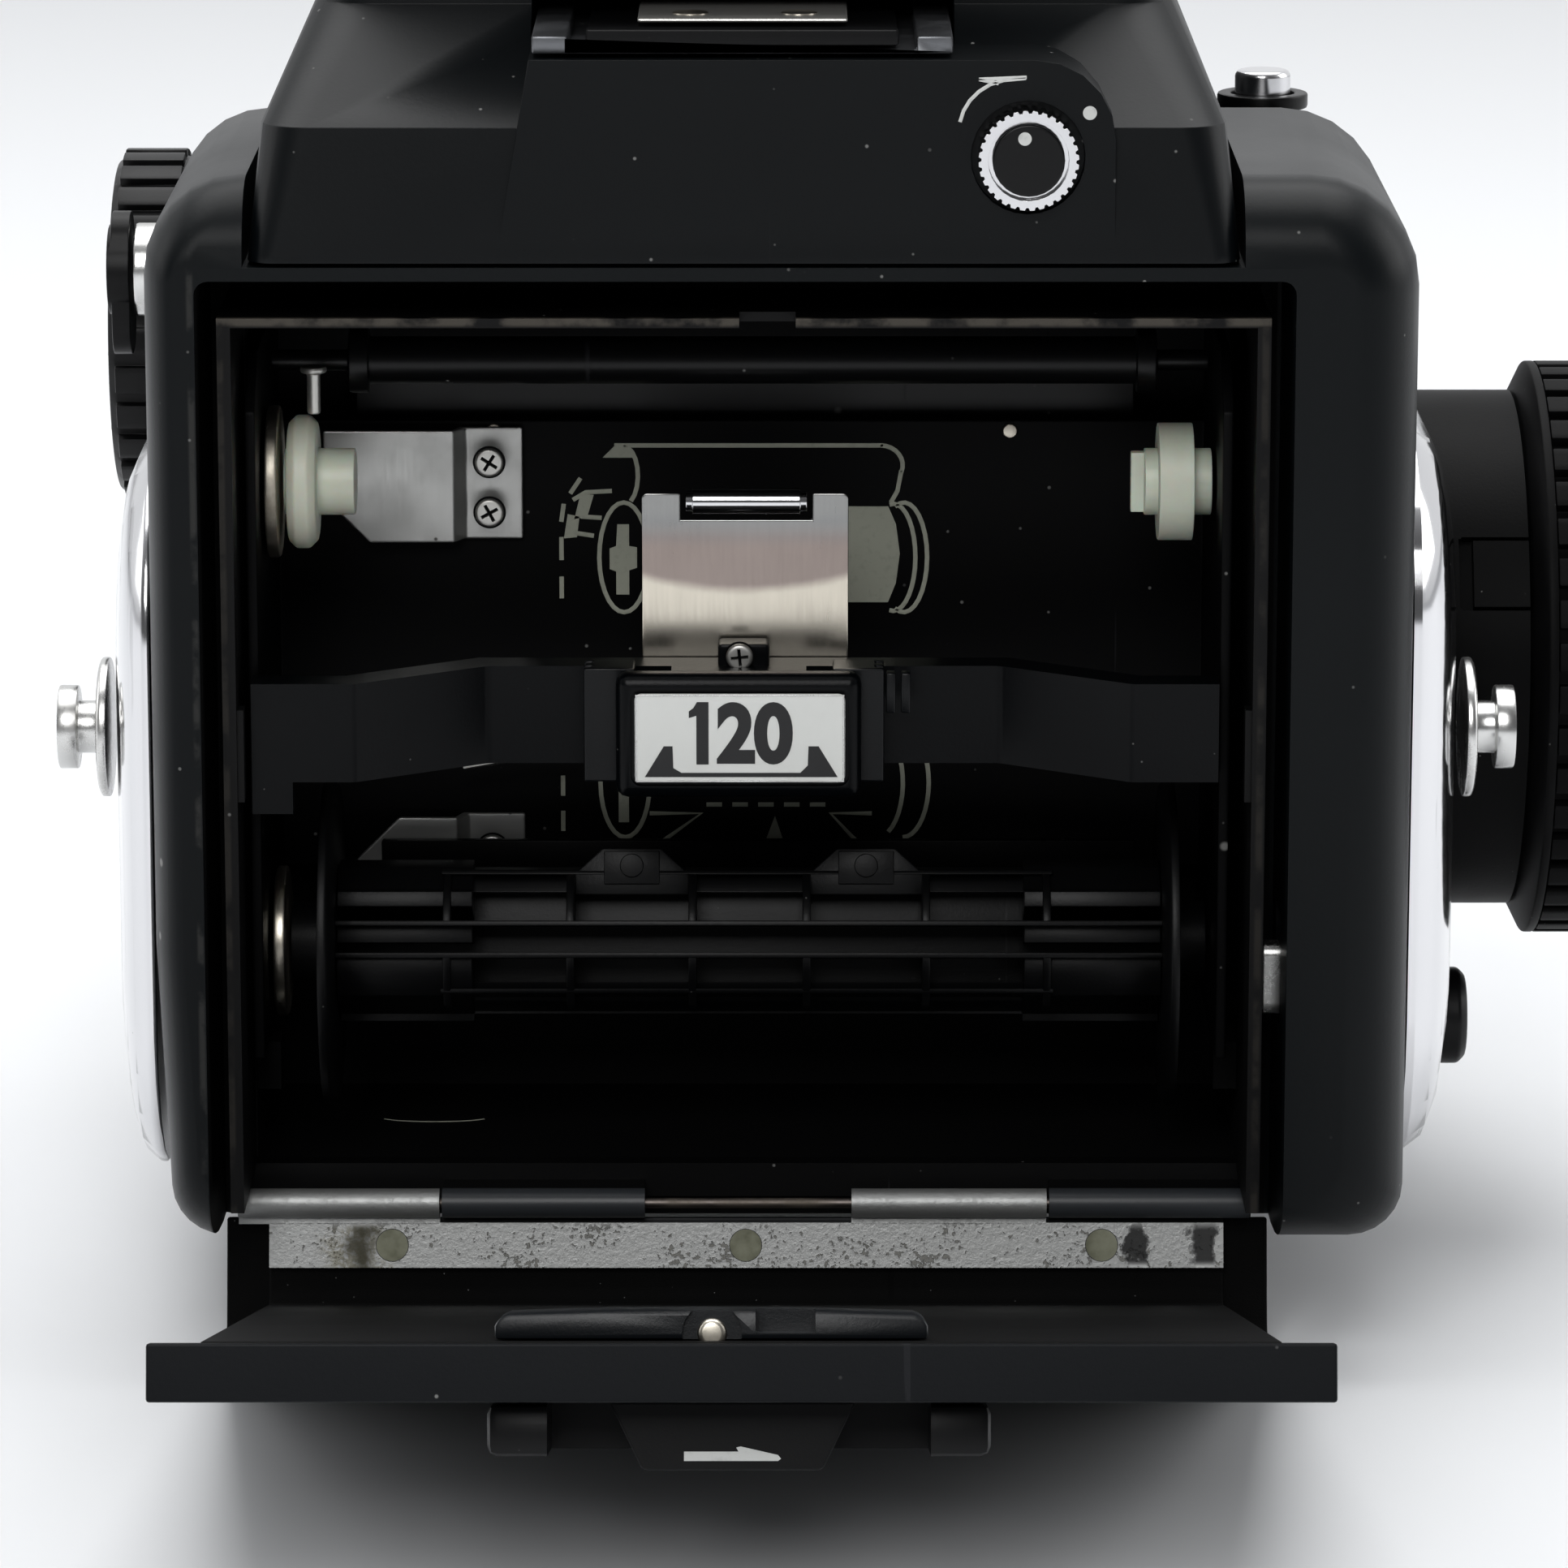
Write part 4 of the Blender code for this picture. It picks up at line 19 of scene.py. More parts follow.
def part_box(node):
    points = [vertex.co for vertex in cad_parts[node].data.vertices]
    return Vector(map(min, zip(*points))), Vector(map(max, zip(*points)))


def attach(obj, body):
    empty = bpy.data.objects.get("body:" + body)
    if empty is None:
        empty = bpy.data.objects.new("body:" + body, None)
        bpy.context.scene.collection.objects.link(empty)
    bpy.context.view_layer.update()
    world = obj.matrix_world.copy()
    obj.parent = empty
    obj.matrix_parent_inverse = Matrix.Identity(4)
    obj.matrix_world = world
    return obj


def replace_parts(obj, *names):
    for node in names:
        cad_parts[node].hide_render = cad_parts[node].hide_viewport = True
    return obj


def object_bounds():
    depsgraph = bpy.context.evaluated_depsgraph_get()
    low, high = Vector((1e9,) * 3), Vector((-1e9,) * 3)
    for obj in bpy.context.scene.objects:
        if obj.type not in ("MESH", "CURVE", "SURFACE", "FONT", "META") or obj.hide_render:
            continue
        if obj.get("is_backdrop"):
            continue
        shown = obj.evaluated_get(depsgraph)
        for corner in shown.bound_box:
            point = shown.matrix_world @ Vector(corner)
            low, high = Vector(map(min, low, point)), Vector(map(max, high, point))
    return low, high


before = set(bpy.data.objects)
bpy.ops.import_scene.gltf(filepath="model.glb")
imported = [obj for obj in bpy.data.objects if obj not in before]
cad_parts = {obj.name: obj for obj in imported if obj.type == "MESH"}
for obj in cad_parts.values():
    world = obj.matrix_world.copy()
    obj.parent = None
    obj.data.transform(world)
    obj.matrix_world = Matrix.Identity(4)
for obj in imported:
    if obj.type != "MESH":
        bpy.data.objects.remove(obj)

LOG = logging.getLogger("reflex_camera")
Colour = tuple[float, float, float]
Place = tuple[float, float, float]
Spot = tuple[float, float]
Fixing = tuple[str, str]
Shape = bmesh.types.BMesh
Socket = bpy.types.NodeSocket

# The body and the material slot of the pieces that are fixed to a solid.
ON_HOUSING: Fixing = ("camera_body", "plastic_housing")
ON_PLASTIC: Fixing = ("camera_body", "black_plastic")
ON_ALLOY: Fixing = ("camera_body", "satin_alloy")
ON_STEEL: Fixing = ("camera_body", "bright_steel")
ON_LEAF: Fixing = ("back_door", "satin_alloy")
ON_LATCH: Fixing = ("back_door", "black_plastic")

MM = 0.001
# Printed marks stand LIFT off what they lie on and are FILM thick; heads stand HEAD_LIFT off.
LIFT = 0.00001
FILM = 0.00003
HEAD_LIFT = 0.00002
# Corners nearer to each other than this are one corner.
SAME_SPOT = 1e-7
DOOR_HINGE = Vector((0.0, -0.0265, 0.0029))
DOOR_ANGLE = math.radians(75.2)
# ALONG_BAR turns a section drawn in (y, z) so that its height runs along x; AS_DRAWN leaves
# flat work where it was drawn.
ALONG_BAR = Matrix(((0, 0, 1, 0), (1, 0, 0, 0), (0, 1, 0, 0), (0, 0, 0, 1)))
AS_DRAWN = Matrix.Identity(4)


class Side(Enum):
    """The way that a mark or a screw faces."""

    BACK = ((1, 0, 0), (0, 0, 1))
    FRONT = ((-1, 0, 0), (0, 0, 1))
    LEFT = ((0, -1, 0), (0, 0, 1))
    RIGHT = ((0, 1, 0), (0, 0, 1))
    TOP = ((1, 0, 0), (0, 1, 0))
    UNDER = ((1, 0, 0), (0, -1, 0))

    def seat(self, place: Place | Vector) -> Matrix:
        """Matrix that lays flat work, drawn in X and Y, on this side.

        Args:
            place: Where the drawing's own origin goes, in metres.

        Returns:
            The matrix, whose third axis points away from the part.
        """
        across, up = (Vector(axis) for axis in self.value)
        out = across.cross(up)
        turned = Matrix((across, up, out)).transposed().to_4x4()
        return Matrix.Translation(Vector(place)) @ turned


def door_turn() -> Matrix:
    """Matrix from the closed door to the open one that the part rests in."""
    return (Matrix.Translation(DOOR_HINGE) @ Matrix.Rotation(DOOR_ANGLE, 4, "X")
            @ Matrix.Translation(-DOOR_HINGE))


def placed(name: str, data: bpy.types.ID) -> bpy.types.Object:
    """New object in the scene.

    Args:
        name: Its name.
        data: The mesh, curve, lamp or camera that it holds.

    Returns:
        The object.
    """
    holder = bpy.data.objects.new(name, data)
    bpy.context.scene.collection.objects.link(holder)
    return holder


def baked(holder: bpy.types.Object) -> bpy.types.Mesh:
    """New mesh of an object, with its modifiers or its curve worked out."""
    bpy.context.view_layer.update()
    return bpy.data.meshes.new_from_object(
        holder.evaluated_get(bpy.context.evaluated_depsgraph_get()))


# --- shader building ----------------------------------------------------------------------


class Value:
    """A number that varies over a surface; arithmetic on it adds Math nodes."""

    def __init__(self, nodes: "Nodes", socket: Socket) -> None:
        """Wrap one output socket of a node tree."""
        self.nodes = nodes
        self.socket = socket

    def _with(self, operation: str, *operands: "Value | float") -> "Value":
        """Add one Math node over the operands and wrap its output."""
        made = self.nodes.node("ShaderNodeMath", {"operation": operation}, operands)
        return Value(self.nodes, made.outputs[0])

    def __add__(self, other: "Value | float") -> "Value":
        """Sum."""
        return self._with("ADD", self, other)

    def __radd__(self, other: float) -> "Value":
        """Sum, reflected."""
        return self._with("ADD", other, self)

    def __sub__(self, other: "Value | float") -> "Value":
        """Difference."""
        return self._with("SUBTRACT", self, other)

    def __rsub__(self, other: float) -> "Value":
        """Difference, reflected."""
        return self._with("SUBTRACT", other, self)

    def __mul__(self, other: "Value | float") -> "Value":
        """Product."""
        return self._with("MULTIPLY", self, other)

    def __rmul__(self, other: float) -> "Value":
        """Product, reflected."""
        return self._with("MULTIPLY", other, self)

    def size(self) -> "Value":
        """The value without its sign."""
        return self._with("ABSOLUTE", self)

    def larger(self, other: "Value | float") -> "Value":
        """The larger of two values."""
        return self._with("MAXIMUM", self, other)

    def above(self, edge: "Value | float", soft: float) -> "Value":
        """0 well below an edge and 1 well above it, smooth between.

        Args:
            edge: The value at which the result is a half.
            soft: Half the width of the change.

        Returns:
            The mask.
        """
        made = self.nodes.node("ShaderNodeMapRange", {"interpolation_type": "SMOOTHSTEP"},
                               {"Value": self - edge, "From Min": -soft, "From Max": soft})
        return Value(self.nodes, made.outputs[0])

    def below(self, edge: "Value | float", soft: float) -> "Value":
        """1 well below an edge and 0 well above it."""
        return 1.0 - self.above(edge, soft)

    def between(self, low: float, high: float, soft: float) -> "Value":
        """1 between two edges and 0 outside them."""
        return self.above(low, soft) * self.below(high, soft)


Feed = Value | Socket | float | Colour | None


class Nodes:
    """A node tree while its nodes are laid."""

    def __init__(self, tree: bpy.types.NodeTree) -> None:
        """Work on one tree."""
        self.tree = tree

    def node(self, kind: str, settings: dict | None = None,
             inputs: dict | list | tuple | None = None) -> bpy.types.Node:
        """Add any node.

        Args:
            kind: The node's type.
            settings: Its own settings, which are set first.
            inputs: Values or links of its sockets, by name, by number or in order.

        Returns:
            The node.
        """
        made = self.tree.nodes.new(kind)
        for name, value in (settings or {}).items():
            setattr(made, name, value)
        pairs = inputs.items() if isinstance(inputs, dict) else enumerate(inputs or [])
        for key, value in pairs:
            self.feed(made.inputs[key], value)
        return made

    def feed(self, socket: Socket, value: Feed) -> None:
        """Link a varying value to a socket, or set a constant on it.

        Args:
            socket: The input socket.
            value: What it takes, or None to leave it alone.
        """
        if value is None:
            return
        if isinstance(value, Value):
            self.tree.links.new(value.socket, socket)
        elif isinstance(value, Socket):
            self.tree.links.new(value, socket)
        elif socket.type == "RGBA":
            socket.default_value = (*value, 1.0)
        else:
            socket.default_value = value

    def axes(self, place: Socket) -> tuple[Value, Value, Value]:
        """The three coordinates of a place, in metres."""
        made = self.node("ShaderNodeSeparateXYZ", {}, [place])
        return tuple(Value(self, made.outputs[index]) for index in range(3))


class Shader(Nodes):
    """One material while its nodes are laid."""

    def __init__(self, name: str) -> None:
        """Start an empty material with its Principled shader.

        Args:
            name: The material's name.
        """
        self.material = bpy.data.materials.new(name)
        self.material.use_nodes = True
        super().__init__(self.material.node_tree)
        self.surface = self.tree.nodes["Principled BSDF"]
        self.here = self.node("ShaderNodeTexCoord").outputs["Object"]

    def dress(self, **feeds: Feed) -> None:
        """Feed the Principled shader's own sockets, with _ for a space in their names."""
        for name, value in feeds.items():
            self.feed(self.surface.inputs[name.replace("_", " ")], value)

    def place(self, stretch: Place = (1.0, 1.0, 1.0), turn: Place = (0.0, 0.0, 0.0),
              shift: Place = (0.0, 0.0, 0.0)) -> Socket:
        """Object coordinates that are stretched, turned and then moved."""
        return self.node("ShaderNodeMapping", {}, {"Vector": self.here, "Location": shift,
                                                   "Rotation": turn, "Scale": stretch}).outputs[0]

    def closed_door(self) -> tuple[Value, Value, Value]:
        """Coordinates that a place on the open door has when the door is closed.

        Returns:
            The three coordinates, in metres.
        """
        turn = Matrix.Rotation(-DOOR_ANGLE, 4, "X")
        shift = DOOR_HINGE - turn @ DOOR_HINGE
        return self.axes(self.place(turn=(-DOOR_ANGLE, 0.0, 0.0), shift=tuple(shift)))

    def noise(self, scale: float, detail: float = 3.0, roughness: float = 0.55,
              place: Socket | None = None) -> Value:
        """Cloudy noise between 0 and 1, with about scale clouds in a metre."""
        made = self.node("ShaderNodeTexNoise", {}, {"Vector": place or self.here, "Scale": scale,
                                                    "Detail": detail, "Roughness": roughness})
        return Value(self, made.outputs[0])

    def specks(self, scale: float, size: float, share: float) -> Value:
        """Scattered round specks.

        Args:
            scale: How many cells there are in a metre.
            size: A speck's radius as a share of a cell.
            share: The share of cells that hold a speck.

        Returns:
            A mask that is 1 on a speck.
        """
        made = self.node("ShaderNodeTexVoronoi", {}, {"Vector": self.here, "Scale": scale})
        lot = self.node("ShaderNodeSeparateColor", {}, [made.outputs["Color"]])
        near = Value(self, made.outputs["Distance"]).below(size, size * 0.4)
        return near * Value(self, lot.outputs[0]).below(share, 0.001)

    def scratches(self, scale: float, turn: float, edge: float) -> Value:
        """Fine lines that run one way, turned about all three axes."""
        lines = self.place((1.0, 0.035, 0.035), (turn, turn * 0.7, turn * 1.3))
        return self.noise(scale, 2.0, 0.5, lines).above(edge, 0.012)

    def mix(self, share: Value | float, first: Feed, second: Feed) -> Socket:
        """Colour that goes from the first to the second with share."""
        return self.node("ShaderNodeMix", {"data_type": "RGBA"},
                         {0: share, 6: first, 7: second}).outputs[2]

    def layers(self, ground: Feed, *coats: tuple[Value, Colour]) -> Socket:
        """Colour of a ground with coats laid over it.

        Args:
            ground: The ground's colour.
            coats: The share and the colour of each coat, in order.

        Returns:
            The colour.
        """
        for share, colour in coats:
            ground = self.mix(share, ground, colour)
        return ground

    def bump(self, height: Value, depth: float,
             onto: Socket | None = None) -> Socket:
        """Normal of a relief that is depth metres deep where height goes from 0 to 1."""
        return self.node("ShaderNodeBump", {}, {"Strength": 1.0, "Distance": depth,
                                                "Height": height, "Normal": onto}).outputs[0]


# --- finishes -----------------------------------------------------------------------------


@dataclass(frozen=True)
class Finish:
    """A named surface finish; each kind of finish lays its own nodes."""

    name: str
    colour: Colour
    roughness: float

    def material(self) -> bpy.types.Material:
        """Material of the finish, made once and shared by name.

        Returns:
            The material.
        """
        found = bpy.data.materials.get(self.name)
        if found:
            return found
        shader = Shader(self.name)
        self.lay(shader)
        return shader.material

    def lay(self, shader: Shader) -> None:
        """Lay the nodes of the finish."""
        shader.dress(Base_Color=self.colour, Roughness=self.roughness)


@dataclass(frozen=True)
class Enamel(Finish):
    """Sprayed satin paint: orange peel, handling marks, dust and a few chips."""

    dust: float = 0.05
    peel: float = 0.000006
    chips: float = 0.006
    gloss: float = 0.22
    chip_tone: Colour = (0.16, 0.16, 0.155)
    rub_tone: Colour = (0.10, 0.10, 0.11)
    dust_tone: Colour = (0.30, 0.30, 0.29)

    def coat(self, shader: Shader) -> tuple[Socket, Value, Socket]:
        """Paint without its places of wear.

        Args:
            shader: The material that the nodes go into.

        Returns:
            Colour, roughness and normal of the painted surface.
        """
        dust = shader.specks(900.0, 0.11, self.dust) * shader.noise(160.0).above(0.42, 0.10)
        chip = shader.specks(420.0, 0.13, self.chips)
        rub = shader.scratches(900.0, 0.6, 0.755) + shader.scratches(760.0, 2.1, 0.765)
        tone = shader.layers(self.colour, (chip, self.chip_tone), (rub * 0.07, self.rub_tone),
                             (dust * 0.55, self.dust_tone))
        handled = shader.noise(34.0, 4.0) - 0.5
        rough = self.roughness + handled * 0.22 + dust * 0.3 + rub * 0.08
        relief = shader.noise(2600.0, 2.0) + shader.noise(7000.0, 2.0) * 0.6 - chip * 3.0
        return tone, rough, shader.bump(relief, self.peel)

    def lay(self, shader: Shader) -> None:
        """Paint all over.

        Args:
            shader: The material that the nodes go into.
        """
        tone, rough, relief = self.coat(shader)
        shader.dress(Base_Color=tone, Roughness=rough, Normal=relief,
                     Specular_IOR_Level=self.gloss)


@dataclass(frozen=True)
class CasingPaint(Enamel):
    """Casing: satin paint outside, matt black in the chamber, grained covering in front."""

    wall: float = 0.0396
    ceiling: float = 0.0752
    rear: float = -0.0376
    outer_rim: float = 0.0398
    inner_rim: float = 0.0392
    cover_face: float = 0.0597
    cover_height: Spot = (0.0040, 0.0730)
    cover_cells: float = 950.0
    chamber_tone: Colour = (0.0010, 0.0010, 0.0012)
    worn_tone: Colour = (0.16, 0.155, 0.145)
    edge: float = 0.0001

    def lay(self, shader: Shader) -> None:
        """Paint, with the chamber, the worn inner edges and the covering by place.

        Args:
            shader: The material that the nodes go into.
        """
        tone, rough, relief = self.coat(shader)
        along, deep, high = shader.axes(shader.here)
        inside = deep.above(self.rear, self.edge) * along.size().below(self.wall, self.edge)
        inside = inside * high.below(self.ceiling, self.edge)
        outer = (along + self.outer_rim).size().below(0.00022, 0.00012)
        outer = outer * deep.below(-0.0370, 0.0004)
        inner = (along.size() - self.inner_rim).size().below(0.00015, 0.00008)
        inner = inner * deep.below(self.rear, 0.0002)
        rubbed = outer * shader.noise(260.0, 5.0).above(0.50, 0.06)
        rubbed = rubbed + inner * shader.noise(420.0, 5.0).above(0.63, 0.03)
        tone = shader.layers(tone, (inside, self.chamber_tone), (rubbed * 0.14, self.worn_tone))
        cover = deep.above(self.cover_face, self.edge) * high.between(*self.cover_height, 0.0003)
        cells = shader.node("ShaderNodeTexVoronoi", {"feature": "DISTANCE_TO_EDGE"},
                            {"Vector": shader.here, "Scale": self.cover_cells})
        grain = Value(shader, cells.outputs["Distance"]).above(0.12, 0.12) * cover
        shader.dress(Base_Color=tone, Roughness=rough + inside * 0.25 + cover * 0.15,
                     Normal=shader.bump(grain, 0.00012, relief), Specular_IOR_Level=self.gloss)


@dataclass(frozen=True)
class DoorPaint(Enamel):
    """Back door: satin paint, with flock in the side traps and on the hinge line."""

    inner_face: float = -0.0372
    trap_ends: Spot = (-0.0359, 0.0362)
    trap_top: float = 0.0700
    pan_face: float = -0.0376
    pan_height: Spot = (0.0075, 0.0744)
    bare_height: float = 0.0130
    pan_tone: Colour = (0.0002, 0.0002, 0.0003)
    flock_tone: Colour = (0.0015, 0.0015, 0.0015)
    bare_tone: Colour = (0.09, 0.09, 0.085)
    lint_tone: Colour = (0.20, 0.20, 0.20)

    def lay(self, shader: Shader) -> None:
        """Paint the door by its own closed coordinates.

        Args:
            shader: The material that the nodes go into.
        """
        tone, rough, relief = self.coat(shader)
        along, deep, high = shader.closed_door()
        within = deep.above(self.inner_face, 0.0002)
        ends = along.above(self.trap_ends[1], 0.0001) + along.below(self.trap_ends[0], 0.0001)
        ends = ends * high.below(self.trap_top, 0.0001)
        ragged = shader.noise(1400.0, 4.0) * 0.0016
        line = (high + ragged).below(self.pan_height[0], 0.0002) * deep.below(-0.0290, 0.0002)
        flock = (ends + line).above(0.5, 0.2) * within
        fibre = shader.noise(9000.0, 2.0)
        pan = deep.above(self.pan_face, 0.0002) * high.between(*self.pan_height, 0.0001)
        bare = ends * within * (high - self.bare_height).size().below(0.0030, 0.0012)
        bare = bare * shader.noise(900.0, 3.0).above(0.50, 0.05)
        lint = shader.specks(2200.0, 0.10, 0.05) * flock
        tone = shader.layers(tone, (pan * 0.95, self.pan_tone), (flock, self.flock_tone),
                             (bare * 0.8, self.bare_tone), (lint * 0.7, self.lint_tone))
        shader.dress(Base_Color=tone, Roughness=rough + flock * 0.45 + pan * 0.20,
                     Normal=shader.bump(fibre * flock, 0.00006, relief),
                     Specular_IOR_Level=self.gloss)


@dataclass(frozen=True)
class TrapPaint(Enamel):
    """Light-trap frame: matt paint that is worn to warm grey along its rear edges."""

    rear: float = -0.0350
    top_line: float = 0.0718
    side_line: float = 0.0379
    worn_tone: Colour = (0.090, 0.080, 0.066)

    def lay(self, shader: Shader) -> None:
        """Paint, with the worn line along the top and side edges by place.

        Args:
            shader: The material that the nodes go into.
        """
        tone, rough, relief = self.coat(shader)
        along, deep, high = shader.axes(shader.here)
        rear = deep.below(self.rear, 0.0003)
        top = (high - self.top_line).size().below(0.00035, 0.00015)
        sides = (along.size() - self.side_line).size().below(0.00025, 0.00012)
        worn = rear * top.larger(sides * 0.25) * shader.noise(330.0, 5.0).above(0.47, 0.10)
        tone = shader.mix(worn * 0.7, tone, self.worn_tone)
        shader.dress(Base_Color=tone, Roughness=rough, Normal=relief,
                     Specular_IOR_Level=self.gloss)


@dataclass(frozen=True)
class Moulding(Finish):
    """Moulded plastic with a fine eroded grain and a light rub on it."""

    grain: float = 0.000010
    dust: float = 0.04
    gloss: float = 0.25
    dust_tone: Colour = (0.28, 0.28, 0.27)

    def lay(self, shader: Shader) -> None:
        """Grain, rubbed patches and dust.

        Args:
            shader: The material that the nodes go into.
        """
        grain = shader.noise(4200.0, 3.0) + shader.noise(11000.0, 2.0) * 0.5
        rub = shader.noise(60.0, 4.0) - 0.5
        dust = shader.specks(1500.0, 0.10, self.dust) * shader.noise(210.0).above(0.48, 0.06)
        nick = shader.scratches(1200.0, 1.1, 0.77)
        pale = tuple(min(1.0, part * 3.0 + 0.03) for part in self.colour)
        tone = shader.layers(self.colour, (nick * 0.4, pale), (dust * 0.5, self.dust_tone))
        shader.dress(Base_Color=tone, Roughness=self.roughness + rub * 0.18 + dust * 0.2,
                     Normal=shader.bump(grain, self.grain), Specular_IOR_Level=self.gloss)


@dataclass(frozen=True)
class Rubber(Finish):
    """Ribbed or soft rubber with dust that clings to it."""

    bloom_tone: Colour = (0.012, 0.012, 0.013)
    dust_tone: Colour = (0.14, 0.14, 0.135)
    gloss: float = 0.07

    def lay(self, shader: Shader) -> None:
        """Matt, cloudy and dusty.

        Args:
            shader: The material that the nodes go into.
        """
        cloud = shader.noise(90.0, 5.0)
        bloom = cloud.above(0.60, 0.15) * 0.5
        dust = shader.specks(1700.0, 0.14, 0.05)
        tone = shader.layers(self.colour, (bloom * 0.35, self.bloom_tone),
                             (dust * 0.4, self.dust_tone))
        shader.dress(Base_Color=tone, Roughness=self.roughness + (cloud - 0.5) * 0.12,
                     Normal=shader.bump(shader.noise(6500.0, 3.0), 0.000012),
                     Specular_IOR_Level=self.gloss)


@dataclass(frozen=True)
class Metal(Finish):
    """Bare metal: drawn or turned lines, fine marks, specks of tarnish and a soft stain."""

    lines: Place = (1.0, 1.0, 1.0)
    line_depth: float = 0.0000012
    stain: float = 0.25
    specks: float = 0.02
    stain_colour: Colour = (0.20, 0.17, 0.13)
    speck_tone: Colour = (0.05, 0.045, 0.04)
    shine: float = 1.0

    def lay(self, shader: Shader) -> None:
        """Lines, stain and specks.

        Args:
            shader: The material that the nodes go into.
        """
        drawn = shader.noise(5200.0, 2.0, 0.6, shader.place(self.lines))
        cloud = shader.noise(150.0, 5.0, 0.6)
        spot = shader.specks(1100.0, 0.16, self.specks)
        dull = cloud.above(0.56, 0.14) * self.stain
        tone = shader.layers(self.colour, (dull, self.stain_colour),
                             (spot * 0.8, self.speck_tone))
        nick = shader.scratches(1500.0, 0.9, 0.74)
        rough = self.roughness + (drawn - 0.5) * 0.12 + dull * 0.5 + spot * 0.3 + nick * 0.1
        shader.dress(Base_Color=tone, Metallic=self.shine, Roughness=rough,
                     Normal=shader.bump(drawn + nick * 2.0, self.line_depth))


@dataclass(frozen=True)
class HingeMetal(Metal):
    """Hinge leaf: pitted plating, an oily brown stain at the left, corrosion at the right."""

    bar_edge: float = -0.0283
    pit_tone: Colour = (0.15, 0.145, 0.125)
    halo_tone: Colour = (0.16, 0.145, 0.085)
    oil_tone: Colour = (0.040, 0.036, 0.016)
    rot_tone: Colour = (0.008, 0.008, 0.008)
    shine: float = 0.72

    def lay(self, shader: Shader) -> None:
        """Pits all over, with the stain and the corrosion by place.

        Args:
            shader: The material that the nodes go into.
        """
        along, deep, _ = shader.closed_door()
        grime = shader.noise(300.0, 5.0, 0.60)
        fine = shader.noise(2600.0, 4.0, 0.62)
        bar = deep.below(self.bar_edge, 0.0003)
        pits = (grime * 0.42 + fine * 0.58).above(0.580, 0.012) * (bar * 0.6 + 0.12)
        ragged = (shader.noise(700.0, 5.0) - 0.5) * 0.0034
        oil = ((along + 0.0288).size() + ragged).below(0.0008, 0.0009) * bar
        halo = ((along + 0.0292).size() + ragged * 1.6).below(0.0022, 0.0016) * bar
        left = ((along - 0.0295).size() + ragged).below(0.0007, 0.0002)
        right = ((along - 0.0347).size() + ragged * 0.8).below(0.0008, 0.0002)
        rot = left.larger(right) * bar * deep.above(-0.0311, 0.0003)
        halo = halo * fine.above(0.46, 0.06)
        tone = shader.layers(self.colour, (pits, self.pit_tone), (halo * 0.6, self.halo_tone),
                             (oil * 0.92, self.oil_tone), (rot * 0.95, self.rot_tone))
        shine = self.shine - (pits * 0.4 + oil * 0.6 + rot * 0.7)
        rough = self.roughness + (self.shine - shine) * 0.35 + (fine - 0.5) * 0.12
        shader.dress(Base_Color=tone, Metallic=shine, Roughness=rough,
                     Normal=shader.bump(fine - pits * 1.5 - rot * 2.0, 0.000035))


@dataclass(frozen=True)
class LeafMetal(Metal):
    """Spring leaf: bright rolled steel with painted reflections: a pinkish band under its roller,
    a grey-blue band at the top and a dark patch at the lower right.
    """

    reflection_band_tone: Colour = (0.235, 0.185, 0.175)
    ear_reflection_tone: Colour = (0.20, 0.215, 0.23)
    foot_reflection_tone: Colour = (0.035, 0.033, 0.03)
    speck_tone: Colour = (0.02, 0.02, 0.02)

    def lay(self, shader: Shader) -> None:
        """Rolled lines, the painted reflection band with its bowed edge, the painted reflections
        at the top and the lower right, and a few black specks.

        Args:
            shader: The material that the nodes go into.
        """
        along, _, high = shader.axes(shader.here)
        # Painted reflections, by place on the leaf: a pinkish band with a bowed lower edge under
        # the roller and a grey-blue band along the top.
        bow = high - along * along * 18.0
        wander = (shader.noise(260.0, 3.0) - 0.5) * 0.0006
        band = (bow + wander).above(0.0495, 0.0005) * high.below(0.0545, 0.0012)
        ears = high.above(0.0537, 0.0012)
        drawn = shader.noise(3600.0, 2.0, 0.6, shader.place((1.0, 1.0, 0.06)))
        # Painted dark reflection over the lower right corner of the leaf.
        foot = (along * 0.55 - (high - 0.0390)).above(0.0024, 0.0005) * along.above(0.0, 0.002)
        spot = shader.specks(520.0, 0.07, 0.06)
        tone = shader.layers(self.colour, (band * 0.85, self.reflection_band_tone),
                             (ears * 0.8, self.ear_reflection_tone), (foot * 0.9, self.foot_reflection_tone),
                             (spot, self.speck_tone))
        smear = shader.noise(120.0, 5.0) - 0.5
        rough = self.roughness + smear * 0.16 + (drawn - 0.5) * 0.10 + spot * 0.4
        shader.dress(Base_Color=tone, Metallic=self.shine, Roughness=rough,
                     Normal=shader.bump(drawn, 0.0000008))


@dataclass(frozen=True)
class MilkyPlastic(Finish):
    """Translucent white nylon, a little yellowed."""

    aged_tone: Colour = (0.56, 0.57, 0.46)

    def lay(self, shader: Shader) -> None:
        """Cloudy colour with light that goes a little way in.

        Args:
            shader: The material that the nodes go into.
        """
        cloud = shader.noise(240.0, 4.0)
        tone = shader.mix(cloud.above(0.55, 0.2) * 0.5, self.colour, self.aged_tone)
        shader.dress(Base_Color=tone, Roughness=self.roughness + (cloud - 0.5) * 0.2,
                     Subsurface_Weight=0.35, Subsurface_Scale=0.002,
                     Normal=shader.bump(shader.noise(3000.0), 0.000006))


